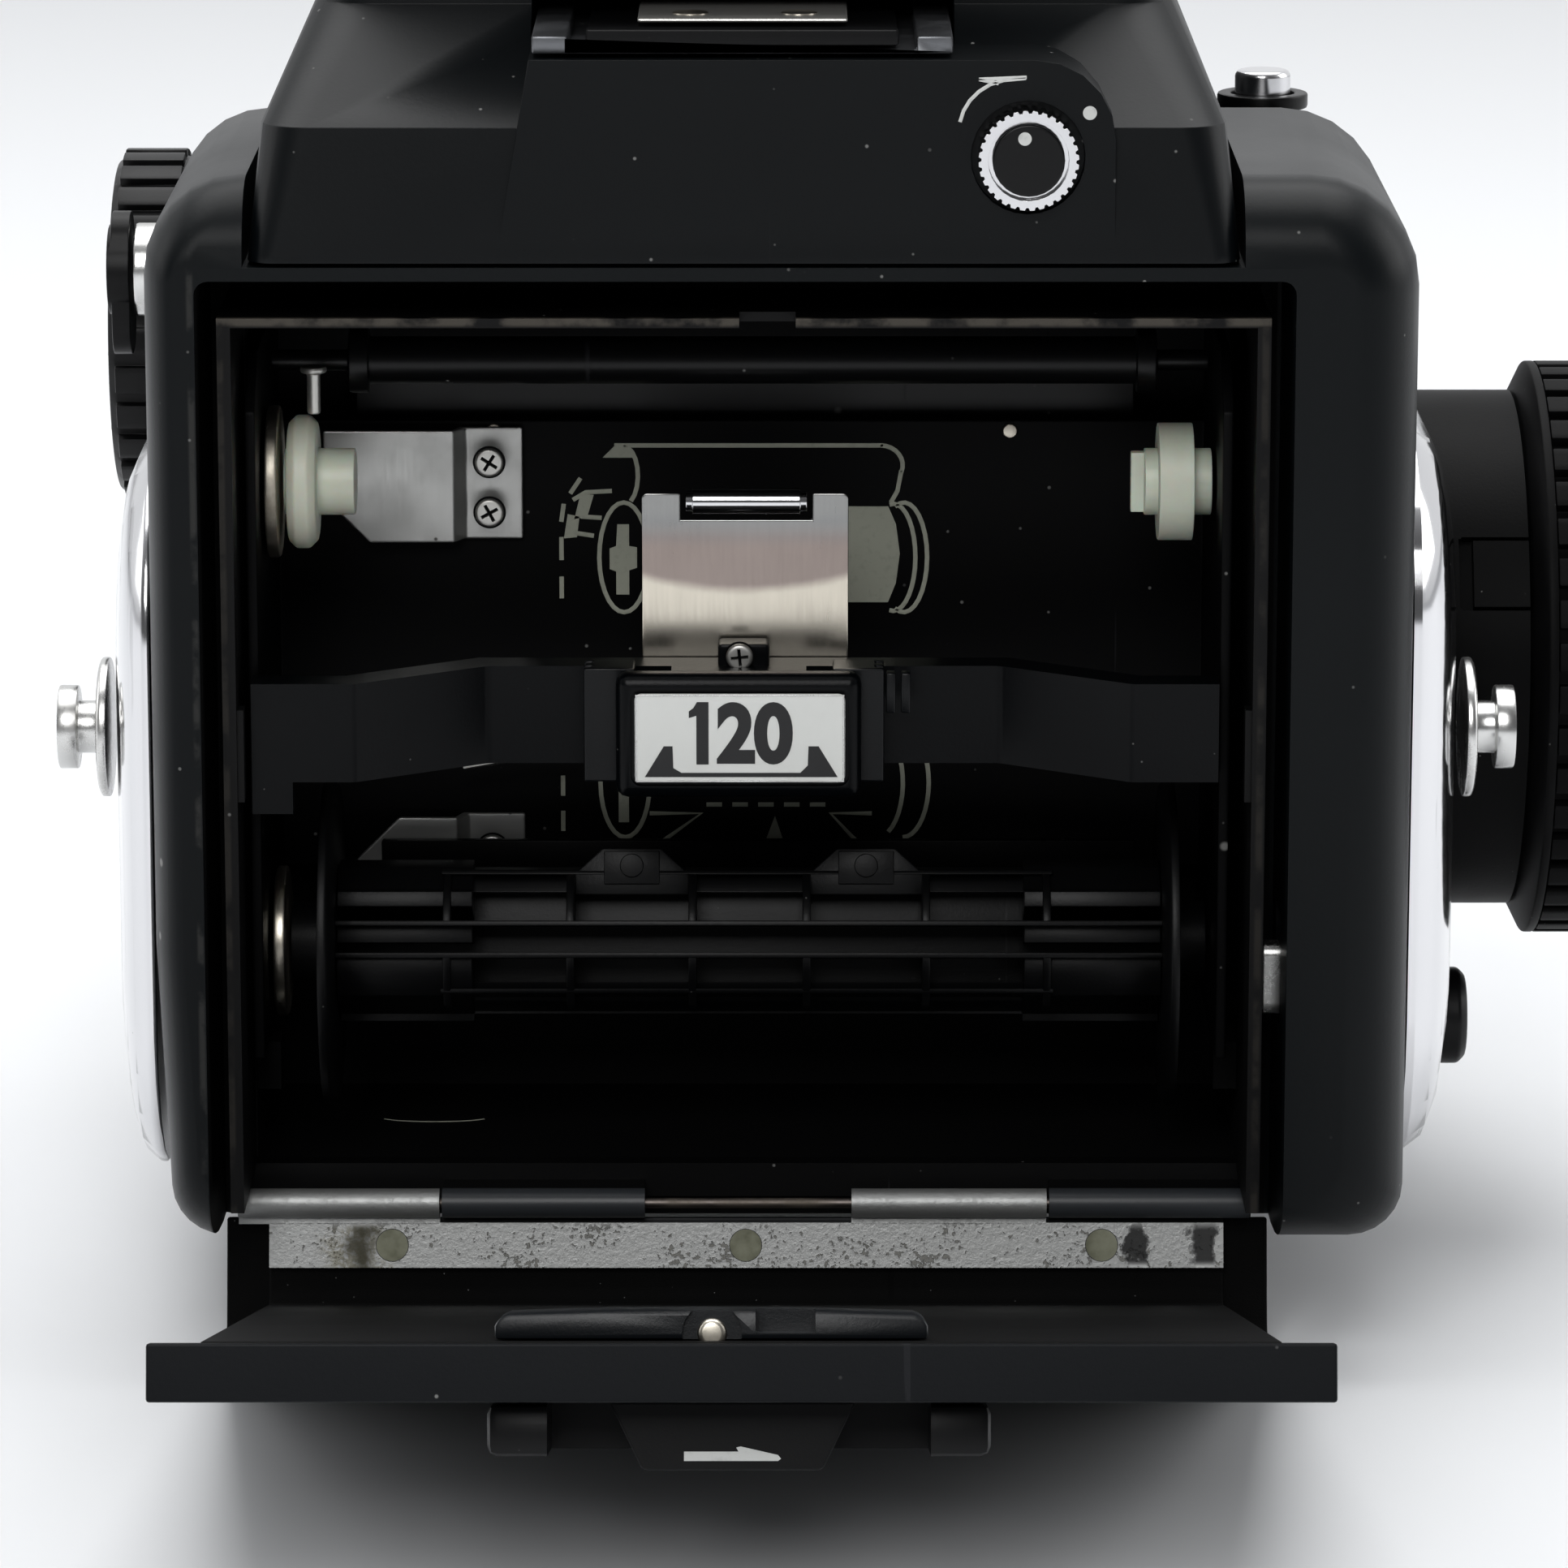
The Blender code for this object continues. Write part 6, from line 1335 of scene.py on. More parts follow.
@dataclass
class BackDoor(Assembly):
    """The open door with its hinge leaf and its latch, sized as they are when it is closed."""

    finishes: ClassVar[dict[str, Finish]] = {"door_shell": Kit.door,
                                             "latch_key": Kit.satin_plastic}
    leaf: tuple[Place, Place] = ((-0.0359, -0.0314, 0.0020), (0.0362, -0.0280, 0.0024))
    fold_edge: float = -28.1
    strap_radius: float = 0.0011
    straps: tuple[Spot, ...] = ((-0.0382, -0.0230), (0.0081, 0.0228))
    knuckle_radius: float = 0.00113
    knuckles: tuple[Spot, ...] = ((-0.0228, -0.0075), (0.0230, 0.0381))
    rivet_places: tuple[float, ...] = (-0.0266, 0.0001, 0.0270)
    rivet_depth: float = -0.0297
    rivet_radius: float = 0.0012
    rivet_height: float = 0.00004
    ring_width: float = 0.00010
    guard: tuple[Place, Place] = ((-0.0168, -0.0418, 0.0575), (0.0168, -0.0383, 0.0705))
    guard_radius: float = 0.0007
    guard_opening: tuple[Place, Place] = ((-0.0128, -0.0430, 0.0603),
                                          (0.0128, -0.0370, 0.0712))
    catch_foot: float = 0.0620
    catch_height: float = 0.0082
    catch_radius: float = 0.00025
    catch_notch: tuple[Place, Place] = ((0.0011, -0.0336, 0.0660), (0.0051, -0.0300, 0.0720))
    cup_place: Place = (-0.0018, -0.0336, 0.0697)
    cup_size: Spot = (0.0020, 0.0020)
    stud_size: Spot = (0.0010, 0.0009)
    arrow_place: Place = (-0.0004, -0.0419, 0.0674 + LIFT)

    def dress(self) -> None:
        """Add the hinge leaf, the latch's guard and catch, the rivets and the arrow."""
        self.hinge_leaf()
        self.latch_guard()
        self.catch_box()
        self.rivets()
        self.arrow()

    def hinge_leaf(self) -> None:
        """Bright leaf whose two straps fold flat round the pin, and the sleeves between."""
        _, deep, high = DOOR_HINGE
        foot, top = (corner[2] / MM for corner in self.leaf)
        fold = (in_mm([(self.fold_edge, top)])
                + arc(deep, high, self.strap_radius, self.strap_radius, 207.0, -125.0, 40)
                + in_mm([(self.fold_edge, foot)]))
        straps = [Bench.plate(fold, end - start, door_turn() @ self.bar_seat(start))
                  for start, end in self.straps]
        piece = Bench.add("hinge_leaf", Bench.joined(self.bar(self.leaf), *straps), Kit.hinge,
                          *ON_LEAF)
        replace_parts(piece, "door_leaf")
        sleeve = arc(deep, high, self.knuckle_radius, self.knuckle_radius, 0.0, 352.0, 44)
        for index, (start, end) in enumerate(self.knuckles):
            shape = Bench.plate(sleeve, end - start, self.bar_seat(start))
            Bench.add(f"hinge_sleeve_{index}", shape, Kit.sleeve, "camera_body", "black_metal")

    @staticmethod
    def bar_seat(start: float) -> Matrix:
        """Seat for a section drawn in (y, z) that runs along x from a place."""
        return Matrix.Translation((start, 0.0, 0.0)) @ ALONG_BAR

    @staticmethod
    def bar(corners: tuple[Place, Place], radius: float = 0.0) -> Shape:
        """Bar between two corners on the closed door, eased and then swung open.

        Args:
            corners: Its low and high corners.
            radius: The radius on its edges.

        Returns:
            The shape.
        """
        first, last = (Vector(corner) for corner in corners)
        shape = Bench.block(last - first, (first + last) / 2)
        if radius > 0.0:
            Bench.ease(shape, radius)
        return Bench.laid(shape, door_turn())

    def latch_guard(self) -> None:
        """Raised guard round the sliding key, open towards the door's free end."""
        piece = Bench.add("latch_guard", self.bar(self.guard, self.guard_radius),
                          Kit.satin_plastic, *ON_LATCH)
        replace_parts(piece, "latch_frame")
        Bench.carve(piece, self.bar(self.guard_opening))

    def catch_box(self) -> None:
        """Housing of the catch on the pan: a crowned block with a notch and a round cup."""
        outline = in_mm([(-16.3, -34.0), (12.6, -34.0), (12.6, -33.1), (12.3, -32.6),
                         (11.7, -32.35), (5.0, -32.15), (-1.8, -32.10), (-9.0, -32.15),
                         (-15.4, -32.35), (-16.0, -32.6), (-16.3, -33.1)])
        seat = door_turn() @ Matrix.Translation((0.0, 0.0, self.catch_foot))
        shape = Bench.plate(outline, self.catch_height, seat)
        Bench.ease(shape, self.catch_radius, 35.0)
        piece = Bench.add("catch_box", shape, Kit.catch, *ON_LATCH)
        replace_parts(piece, "catch_housing")
        Bench.carve(piece, self.bar(self.catch_notch))
        cup = door_turn() @ Side.TOP.seat(self.cup_place)
        Bench.carve(piece, Bench.disc(*self.cup_size, cup, 0.0, 40))
        stud = Bench.disc(*self.stud_size, cup @ Matrix.Translation((0.0, 0.0, -0.0004)), 0.0004)
        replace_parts(Bench.add("catch_stud", stud, Kit.washer, "back_door", "bright_steel"),
                    "catch_pin")

    def rivets(self) -> None:
        """Three flush rivets through the hinge leaf, each in a dark ring."""
        ring = arc(0.0, 0.0, self.rivet_radius, self.rivet_radius, 0.0, 360.0, 32)
        for index, along in enumerate(self.rivet_places):
            seat = door_turn() @ Side.TOP.seat((along, self.rivet_depth,
                                                self.leaf[1][2] + LIFT))
            Bench.add(f"leaf_rivet_{index}",
                      Bench.disc(self.rivet_radius, self.rivet_height, seat),
                      Kit.hinge_rivet, *ON_LEAF)
            Bench.add(f"rivet_ring_{index}",
                      Bench.strokes([ring], self.ring_width, seat, self.rivet_height),
                      Kit.label_ink, *ON_LEAF)

    def arrow(self) -> None:
        """White arrow on the end of the latch key, which points the way it slides."""
        outline = in_mm([(-3.3, -0.35), (3.0, -0.35), (3.2, -0.20), (3.0, 0.05), (0.5, 0.62),
                         (0.2, 0.55), (0.35, 0.28), (-3.3, 0.28)])
        seat = door_turn() @ Side.TOP.seat(self.arrow_place)
        Bench.add("key_arrow", Bench.plate(outline, FILM, seat), Kit.white_ink, "door_key",
                  "black_plastic")


@dataclass
class FilmInsert(Assembly):
    """The removable film insert: frame, bridge, rollers, pivots and spool."""

    finishes: ClassVar[dict[str, Finish]] = {
        "insert_frame": Kit.matt, "pressure_plate": Kit.gloss, "insert_bridge": Kit.bridge,
        "pinch_key_left": Kit.dark_plastic, "pinch_key_right": Kit.dark_plastic,
        "size_plate": Kit.label, "spring_leaf": Kit.leaf, "leaf_roller": Kit.chrome,
        "guide_roller": Kit.gloss, "supply_disc": Kit.washer, "take_up_disc": Kit.washer,
        "supply_wheel": Kit.nylon, "supply_key": Kit.nylon, "supply_post": Kit.steel,
        "supply_spring": Kit.strip, "take_up_spring": Kit.strip}
    plate_face: float = -0.0055
    guide_width: float = 0.00034
    border_inset: float = 0.00012
    border_width: float = 0.00018
    border_height: float = 0.00004
    pair_place: Place = (0.00110, 0.00040, 0.0)
    pair_size: Spot = (0.00560, 0.00470)
    catch_places: tuple[float, ...] = (0.0109, 0.0120)
    # Size and middle of the matt black bar that stands in for a dark band across the insert.
    dark_bar_size: Place = (0.0580, 0.0008, 0.0026)
    dark_bar_place: Place = (0.0010, -0.0087, 0.0256)
    spring_along: float = -0.0195
    spring_step: float = 0.00195
    spring_screw: Spot = (0.0011, 0.00045)
    core_rivets: tuple[float, ...] = (-0.0192, 0.0203)
    core_rivet_height: float = 0.0583
    core_rivet_size: Spot = (0.0006, 0.0003)
    clip_screw: Spot = (0.0010, 0.0005)

    def dress(self) -> None:
        """Add the label, the loading guide, the catch, the dark bar, the rod and the screws."""
        self.label()
        self.guide_upper()
        self.guide_lower()
        self.bridge_pocket()
        self.screws()

    def label(self) -> None:
        """Film size in figures over a plain bracket shape, on the label plate."""
        low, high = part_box("size_plate")
        wide, tall = high.x - low.x, high.z - low.z
        seat = Side.BACK.seat(((low.x + high.x) / 2, low.y - LIFT, (low.z + high.z) / 2))
        one = in_mm([(-3.15, 2.75), (-2.30, 2.75), (-2.30, -1.95), (-3.20, -1.95),
                     (-3.20, 1.72), (-3.75, 1.55), (-3.75, 2.05), (-3.42, 2.30)])
        pair = seat @ Matrix.Translation(self.pair_place)
        bracket = in_mm([(-7.0, -2.90), (7.2, -2.90), (5.8, -0.58), (5.05, -0.58),
                         (5.0, -2.02), (4.45, -2.58), (-4.3, -2.58), (-4.9, -2.22),
                         (-4.95, -0.58), (-5.6, -0.58)])
        shape = Bench.joined(Bench.plate(one, FILM, seat),
                             self.fitted("20", *self.pair_size, pair),
                             Bench.plate(bracket, FILM, seat))
        Bench.add("label_print", shape, Kit.label_ink, *ON_ALLOY)
        self.label_border(seat, wide / 2, tall / 2)

    @staticmethod
    def fitted(text: str, wide: float, tall: float, seat: Matrix) -> Shape:
        """Bold condensed figures of an exact width and height.

        Args:
            text: The figures.
            wide: Their width together, in metres.
            tall: Their height.
            seat: Where their middle goes.

        Returns:
            The shape.
        """
        shape = Bench.lettering(text, tall, AS_DRAWN, 0.62, 0.040)
        ends = [sorted(corner.co[axis] for corner in shape.verts) for axis in (0, 1)]
        (left, right), (foot, head) = ((line[0], line[-1]) for line in ends)
        scale = Matrix.Diagonal((wide / (right - left), tall / (head - foot), 1.0, 1.0))
        centre = Matrix.Translation((-(left + right) / 2, -(foot + head) / 2, 0.0))
        return Bench.laid(shape, seat @ scale @ centre)

    def label_border(self, seat: Matrix, wide: float, tall: float) -> None:
        """Fine raised border round the label plate.

        Args:
            seat: The middle of the plate.
            wide: Half the plate's width.
            tall: Half the plate's height.
        """
        u, v = wide - self.border_inset, tall - self.border_inset
        ring = [(-u, -v), (u, -v), (u, v), (-u, v), (-u, -v)]
        Bench.add("label_border",
                  Bench.strokes([ring], self.border_width, seat, self.border_height),
                  Kit.turned, *ON_ALLOY)

    def guide_upper(self) -> None:
        """Loading guide behind the leaf: a full roll, its paper end and a take-up roll."""
        lines = [in_mm([(-10.0, 57.15), (10.6, 57.15)]),
                 arc(0.0104, 0.0556, 0.0017, 0.00155, 90.0, -20.0, 8),
                 in_mm([(12.0, 55.2), (11.7, 53.6), (11.2, 52.7)]),
                 arc(-0.0093, 0.0548, 0.0011, 0.0023, 90.0, -60.0, 8),
                 arc(-0.0093, 0.0484, 0.0019, 0.0043, 0.0, 360.0, 28),
                 arc(0.0122, 0.0484, 0.0018, 0.0043, 112.0, -112.0, 18),
                 arc(0.0114, 0.0484, 0.0017, 0.0042, 100.0, -100.0, 18),
                 in_mm([(-12.6, 54.6), (-13.4, 53.4)]), in_mm([(-13.9, 52.6), (-14.1, 51.2)]),
                 in_mm([(-14.1, 50.0), (-14.1, 48.2)]), in_mm([(-14.1, 46.9), (-14.1, 45.2)]),
                 in_mm([(-13.2, 52.9), (-12.2, 53.5), (-10.2, 53.6)]),
                 in_mm([(-12.6, 51.6), (-11.0, 51.5)]), in_mm([(-12.9, 50.3), (-11.6, 50.1)])]
        cross = [(-0.5, -2.8), (0.5, -2.8), (0.5, -0.9), (1.1, -0.7), (1.1, 0.9), (0.5, 1.0),
                 (0.5, 2.7), (-0.4, 2.7), (-0.5, 1.0), (-1.0, 0.8), (-1.0, -0.8), (-0.5, -1.0)]
        fills = [in_mm([(u - 9.4, v + 48.3) for u, v in cross]),
                 in_mm([(6.6, 44.9), (11.0, 44.9), (11.6, 46.4), (11.9, 48.7), (11.6, 51.0),
                        (11.0, 52.4), (6.6, 52.4)]),
                 in_mm([(-10.9, 56.2), (-8.3, 56.2), (-8.9, 57.0), (-9.9, 57.2)]),
                 in_mm([(-13.1, 51.4), (-12.1, 51.6), (-11.6, 53.3), (-12.6, 53.4)]),
                 in_mm([(-13.9, 49.9), (-12.9, 50.0), (-12.7, 51.6), (-13.6, 51.8)])]
        self.guide("guide_print_upper", lines, fills)

    def guide_lower(self) -> None:
        """Loading guide under the bridge: the empty roll, its thread line and an arrow."""
        lines = [arc(-0.0093, 0.0306, 0.0019, 0.0043, 0.0, 360.0, 28),
                 arc(0.0122, 0.0306, 0.0020, 0.0043, 90.0, -90.0, 18),
                 arc(0.0102, 0.0306, 0.0020, 0.0043, 80.0, -64.0, 14),
                 in_mm([(-14.1, 34.0), (-14.1, 32.4)]), in_mm([(-14.1, 31.2), (-14.1, 29.6)]),
                 in_mm([(-14.1, 28.4), (-14.1, 26.8)]),
                 in_mm([(-7.4, 28.2), (-3.4, 28.2), (-6.4, 26.0)]),
                 in_mm([(9.8, 28.2), (6.6, 28.2), (8.6, 26.0)])]
        dashes = [in_mm([(start, 28.9), (start + 1.2, 28.9)])
                  for start in (-3.0, -1.0, 1.0, 3.0, 5.0)]
        cross = in_mm([(-9.8, 27.5), (-9.0, 27.5), (-9.0, 33.0), (-9.8, 33.0)])
        tip = in_mm([(1.4, 25.6), (3.1, 25.6), (2.3, 28.0)])
        self.guide("guide_print_lower", lines + dashes, [cross, tip])

    def guide(self, name: str, lines: list[list[Spot]], fills: list[list[Spot]]) -> None:
        """Print a part of the loading guide on the core plate.

        Args:
            name: The print's name.
            lines: Its lines.
            fills: The outlines of its filled shapes.
        """
        seat = Side.BACK.seat((0.0, self.plate_face - LIFT, 0.0))
        shape = Bench.joined(Bench.strokes(lines, self.guide_width, seat),
                             *(Bench.plate(fill, FILM, seat) for fill in fills))
        Bench.add(name, shape, Kit.guide_ink, *ON_PLASTIC)

    def bridge_pocket(self) -> None:
        """Ribbed catch on the bridge's right arm, a matt black bar across the insert and the bent
        rod behind.
        """
        outline = in_mm([(-0.35, -1.5), (0.35, -1.5), (0.35, 1.5), (-0.35, 1.5)])
        shapes = []
        for along in self.catch_places:
            shape = Bench.plate(outline, 0.0012, AS_DRAWN)
            Bench.ease(shape, 0.00012)
            shapes.append(Bench.laid(shape, Side.BACK.seat((along, -0.0290, 0.0431))))
        Bench.add("bridge_catch", Bench.joined(*shapes), Kit.dark_plastic, *ON_PLASTIC)
        # A matt black bar across the insert, put where a dark band hides the lower edge of the
        # loading guide; what makes that band is not known.
        dark_bar = Bench.block(self.dark_bar_size, self.dark_bar_place)
        Bench.ease(dark_bar, 0.00015)
        Bench.add("dark_band_bar", dark_bar, Kit.matt, *ON_PLASTIC)
        rod = Bench.strokes([in_mm([(-21.7, 32.6), (-19.0, 33.1), (-12.7, 33.7)])], 0.0008,
                            Side.BACK.seat((0.0, -0.0080, 0.0)), 0.0004)
        Bench.add("bridge_rod", rod, Kit.steel, *ON_STEEL)

    def screws(self) -> None:
        """Screws of the holder springs, rivets of the core plate and the clip's screw."""
        for spring, name, turns in (("supply_spring", "spring_screw", (0.5, 1.0)),
                                    ("take_up_spring", "holder_screw", (0.9, 1.3))):
            low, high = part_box(spring)
            middle = (low.z + high.z) / 2
            for index, (way, turn) in enumerate(zip((-1, 1), turns)):
                seat = Side.BACK.seat((self.spring_along, low.y - HEAD_LIFT,
                                       middle + way * self.spring_step))
                Bench.screw(f"{name}_{index}", seat, self.spring_screw, Kit.steel, ON_STEEL,
                            turn)
        for index, along in enumerate(self.core_rivets):
            seat = Side.BACK.seat((along, self.plate_face - HEAD_LIFT, self.core_rivet_height))
            Bench.add(f"core_rivet_{index}", Bench.disc(*self.core_rivet_size, seat, 0.00015),
                      Kit.washer, *ON_PLASTIC)
        _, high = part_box("insert_bridge")
        seat = Side.BACK.seat((-0.0003, -0.0265, high.z - 0.0009))
        Bench.screw("clip_screw", seat, self.clip_screw, Kit.steel, ON_STEEL, 0.1)


@dataclass
class TakeUpSpool(Assembly):
    """Moulded take-up spool: flanges, two long fins with the film slot between, and ribs.

    Sections are drawn in millimetres as (outward, up) from the spool's axis, with the slot's
    middle at up 0, and are turned to face the open back.
    """

    axis: Place = (0.0, -0.0184, 0.0213)
    slot_turn: float = math.radians(15.0)
    ends: Spot = (-0.0308, 0.0315)
    fins: Spot = (-0.0212, 0.0218)
    lips: Spot = (-0.0229, 0.0233)
    blocks: tuple[Spot, ...] = ((-0.0307, -0.0205), (0.0211, 0.0314))
    ribs: tuple[float, ...] = (-0.0224, -0.0131, -0.0039, 0.0047, 0.0137, 0.0228)
    rib_half: float = 0.0003
    tabs: tuple[float, ...] = (-0.0085, 0.0092)
    flange: tuple[Spot, ...] = ((0.0, 0.0), (0.0118, 0.0), (0.0125, 0.0004), (0.0125, 0.0010),
                                (0.0030, 0.0010))
    pivot_radius: float = 0.0030

    def dress(self) -> None:
        """Build both halves of the core and the flanges as one moulding."""
        bars = [([(0.0, 1.02), (6.15, 1.02), (6.10, 1.42), (0.0, 1.42)], self.ends),
                ([(0.0, -1.42), (6.10, -1.42), (6.15, -1.02), (0.0, -1.02)], self.ends),
                ([(0.0, 3.6), (3.1, 3.6), (2.3, 5.0), (0.0, 5.6)], self.fins),
                ([(0.0, -5.4), (2.6, -4.6), (3.4, -3.2), (0.0, -3.2)], self.fins),
                ([(1.6, 4.95), (3.75, 4.95), (3.55, 5.30), (1.6, 5.35)], self.lips),
                ([(2.0, -4.10), (4.9, -3.70), (4.75, -4.05), (2.0, -4.45)], self.lips)]
        for block in self.blocks:
            bars += [([(0.0, 1.3), (4.6, 2.45), (4.9, 2.50), (4.75, 3.65), (4.15, 3.80),
                       (2.7, 5.55), (0.0, 6.15)], block),
                     ([(0.0, -0.25), (4.7, -0.25), (4.7, 1.1), (0.0, 1.1)], block),
                     ([(0.0, -1.3), (5.35, -1.3), (5.2, -2.6), (4.2, -4.2), (0.0, -5.6)],
                      block)]
        rib = [(0.0, 1.2), (6.12, 1.2), (5.75, 2.3), (4.9, 3.8), (3.7, 5.0), (0.0, 5.2)]
        for along in self.ribs:
            for flip in (1, -1):
                outline = [(out, up * flip) for out, up in rib]
                bars.append((outline[::flip], (along - self.rib_half, along + self.rib_half)))
        bars.append(([(-0.1, -5.2), (0.6, -5.2), (0.6, 5.2), (-0.1, 5.2)], self.ends))
        core = Bench.joined(*(self.slab(*bar) for bar in bars))
        far = core.copy()
        bmesh.ops.rotate(far, cent=self.axis, matrix=Matrix.Rotation(math.pi, 3, "X"),
                         verts=far.verts)
        tabs = [self.tab(along) for along in self.tabs]
        shape = Bench.joined(core, far, *tabs, *self.flanges())
        piece = Bench.add("spool_moulding", shape, Kit.spool_plastic, "take_up",
                          "black_plastic")
        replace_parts(piece, "take_up_spool")

    def seat(self, along: float) -> Matrix:
        """Seat on the axis for a section.

        Args:
            along: Its place along the axis.

        Returns:
            The seat, with outward, up and along as its axes.
        """
        out = Vector((0.0, -math.cos(self.slot_turn), math.sin(self.slot_turn)))
        up = Vector((0.0, math.sin(self.slot_turn), math.cos(self.slot_turn)))
        turned = Matrix((out, up, out.cross(up))).transposed().to_4x4()
        return Matrix.Translation(Vector(self.axis) + Vector((along, 0.0, 0.0))) @ turned

    def slab(self, section: list[Spot], reach: Spot) -> Shape:
        """Section drawn out along the axis.

        Args:
            section: Its corners, in millimetres.
            reach: Where it starts and ends along the axis.

        Returns:
            The shape.
        """
        start, end = reach
        seat = self.seat(start)
        way = 1.0 if (seat.to_3x3() @ Vector((0.0, 0.0, 1.0))).x > 0 else -1.0
        shape = Bench.plate(in_mm(section), way * (end - start), AS_DRAWN)
        Bench.ease(shape, 0.00009)
        return Bench.laid(shape, seat)

    def tab(self, along: float) -> Shape:
        """Upright tab with cut shoulders that grips the paper, with a small boss on it.

        Args:
            along: Its place along the axis.

        Returns:
            The shape.
        """
        stand = (self.seat(along) @ Matrix.Translation((0.0030, 0.0, 0.0))
                 @ Matrix(((0, 0, 1, 0), (0, 1, 0, 0), (-1, 0, 0, 0), (0, 0, 0, 1))))
        outline = in_mm([(-4.3, 3.4), (4.3, 3.4), (4.3, 5.0), (2.2, 6.9), (-2.2, 6.9),
                         (-4.3, 5.0)])
        wall = Bench.plate(outline, 0.0006, AS_DRAWN)
        Bench.ease(wall, 0.00012)
        inner = Bench.plate(in_mm([(-2.1, 4.2), (2.1, 4.2), (2.1, 6.7), (-2.1, 6.7)]), 0.0003,
                            Matrix.Translation((0.0, 0.0, 0.0006)))
        Bench.ease(inner, 0.00009)
        boss = Bench.disc(0.0009, 0.00025, Matrix.Translation((0.0, 0.0056, 0.0009)), 0.00008,
                          24)
        return Bench.laid(Bench.joined(wall, inner, boss), stand)

    def flanges(self) -> list[Shape]:
        """Two turned flanges with their pivots.

        Returns:
            The left one and the right one.
        """
        made = []
        for side, start, tip in zip((Side.LEFT, Side.RIGHT), self.ends,
                                    (corner.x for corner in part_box("take_up_spool"))):
            reach = abs(tip - start)
            profile = [*self.flange, (self.pivot_radius, reach), (0.0, reach)]
            shape = Bench.turned(profile, side.seat((start, *self.axis[1:])))
            Bench.ease(shape, 0.00008)
            made.append(shape)
        return made


@dataclass
class Finder(Assembly):
    """The prism finder with its eyepiece, accessory channel and lock knob."""

    finishes: ClassVar[dict[str, Finish]] = {
        "finder_housing": Kit.finder, "eyepiece_frame": Kit.rubber,
        "eyepiece_glass": Kit.window, "shoe_rails": Kit.rail, "shoe_block": Kit.satin_plastic,
        "shoe_sheet": Kit.steel, "lock_knob": Kit.chrome, "lock_cap": Kit.gloss}
    radii: ClassVar[dict[str, float]] = {"finder_housing": 0.0012}
    rear_face: float = -0.0379
    index_place: Spot = (0.0202, 0.0857)
    index_radius: float = 0.00048
    dot_place: Spot = (0.0249, 0.0873)
    dot_radius: float = 0.00050
    mark_height: float = 0.00004
    arrow_width: float = 0.00026
    rivet_places: tuple[float, ...] = (-0.0038, 0.0041)
    rivet_inset: float = 0.0030
    rivet_size: Spot = (0.0013, 0.00012)

    def dress(self) -> None:
        """Add the index marks of the lock knob and the rivets of the shoe's sheet."""
        self.marks()
        self.sheet_rivets()

    def marks(self) -> None:
        """Index dots and the turning arrow of the lock knob."""
        low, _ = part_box("lock_cap")
        u, v = self.index_place
        index = Bench.disc(self.index_radius, self.mark_height,
                           Side.BACK.seat((u, low.y - LIFT, v)))
        Bench.add("lock_index", index, Kit.white_ink, "finder_lock", "black_plastic")
        seat = Side.BACK.seat((0.0, self.rear_face - LIFT, 0.0))
        dot = Bench.disc(self.dot_radius, self.mark_height,
                         seat @ Matrix.Translation((*self.dot_place, 0.0)))
        Bench.add("lock_dot", dot, Kit.white_ink, *ON_HOUSING)
        sweep = in_mm([(15.60, 86.65), (15.85, 87.45), (16.30, 88.20), (16.95, 88.85),
                       (17.75, 89.35), (18.70, 89.65), (20.30, 89.80)])
        barbs = [in_mm([(16.95, 89.72), (20.35, 89.86)]),
                 in_mm([(16.95, 89.72), (18.35, 89.42)])]
        shape = Bench.joined(Bench.strokes([sweep], self.arrow_width, seat),
                             Bench.strokes(barbs, self.arrow_width, seat))
        Bench.add("lock_arrow", shape, Kit.white_ink, *ON_HOUSING)

    def sheet_rivets(self) -> None:
        """Two flat rivets through the shoe's spring sheet."""
        low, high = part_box("shoe_sheet")
        for index, along in enumerate(self.rivet_places):
            seat = Side.TOP.seat((along, low.y + self.rivet_inset, high.z - LIFT))
            Bench.add(f"shoe_rivet_{index}", Bench.disc(*self.rivet_size, seat, 0.00006),
                      Kit.washer, *ON_STEEL)


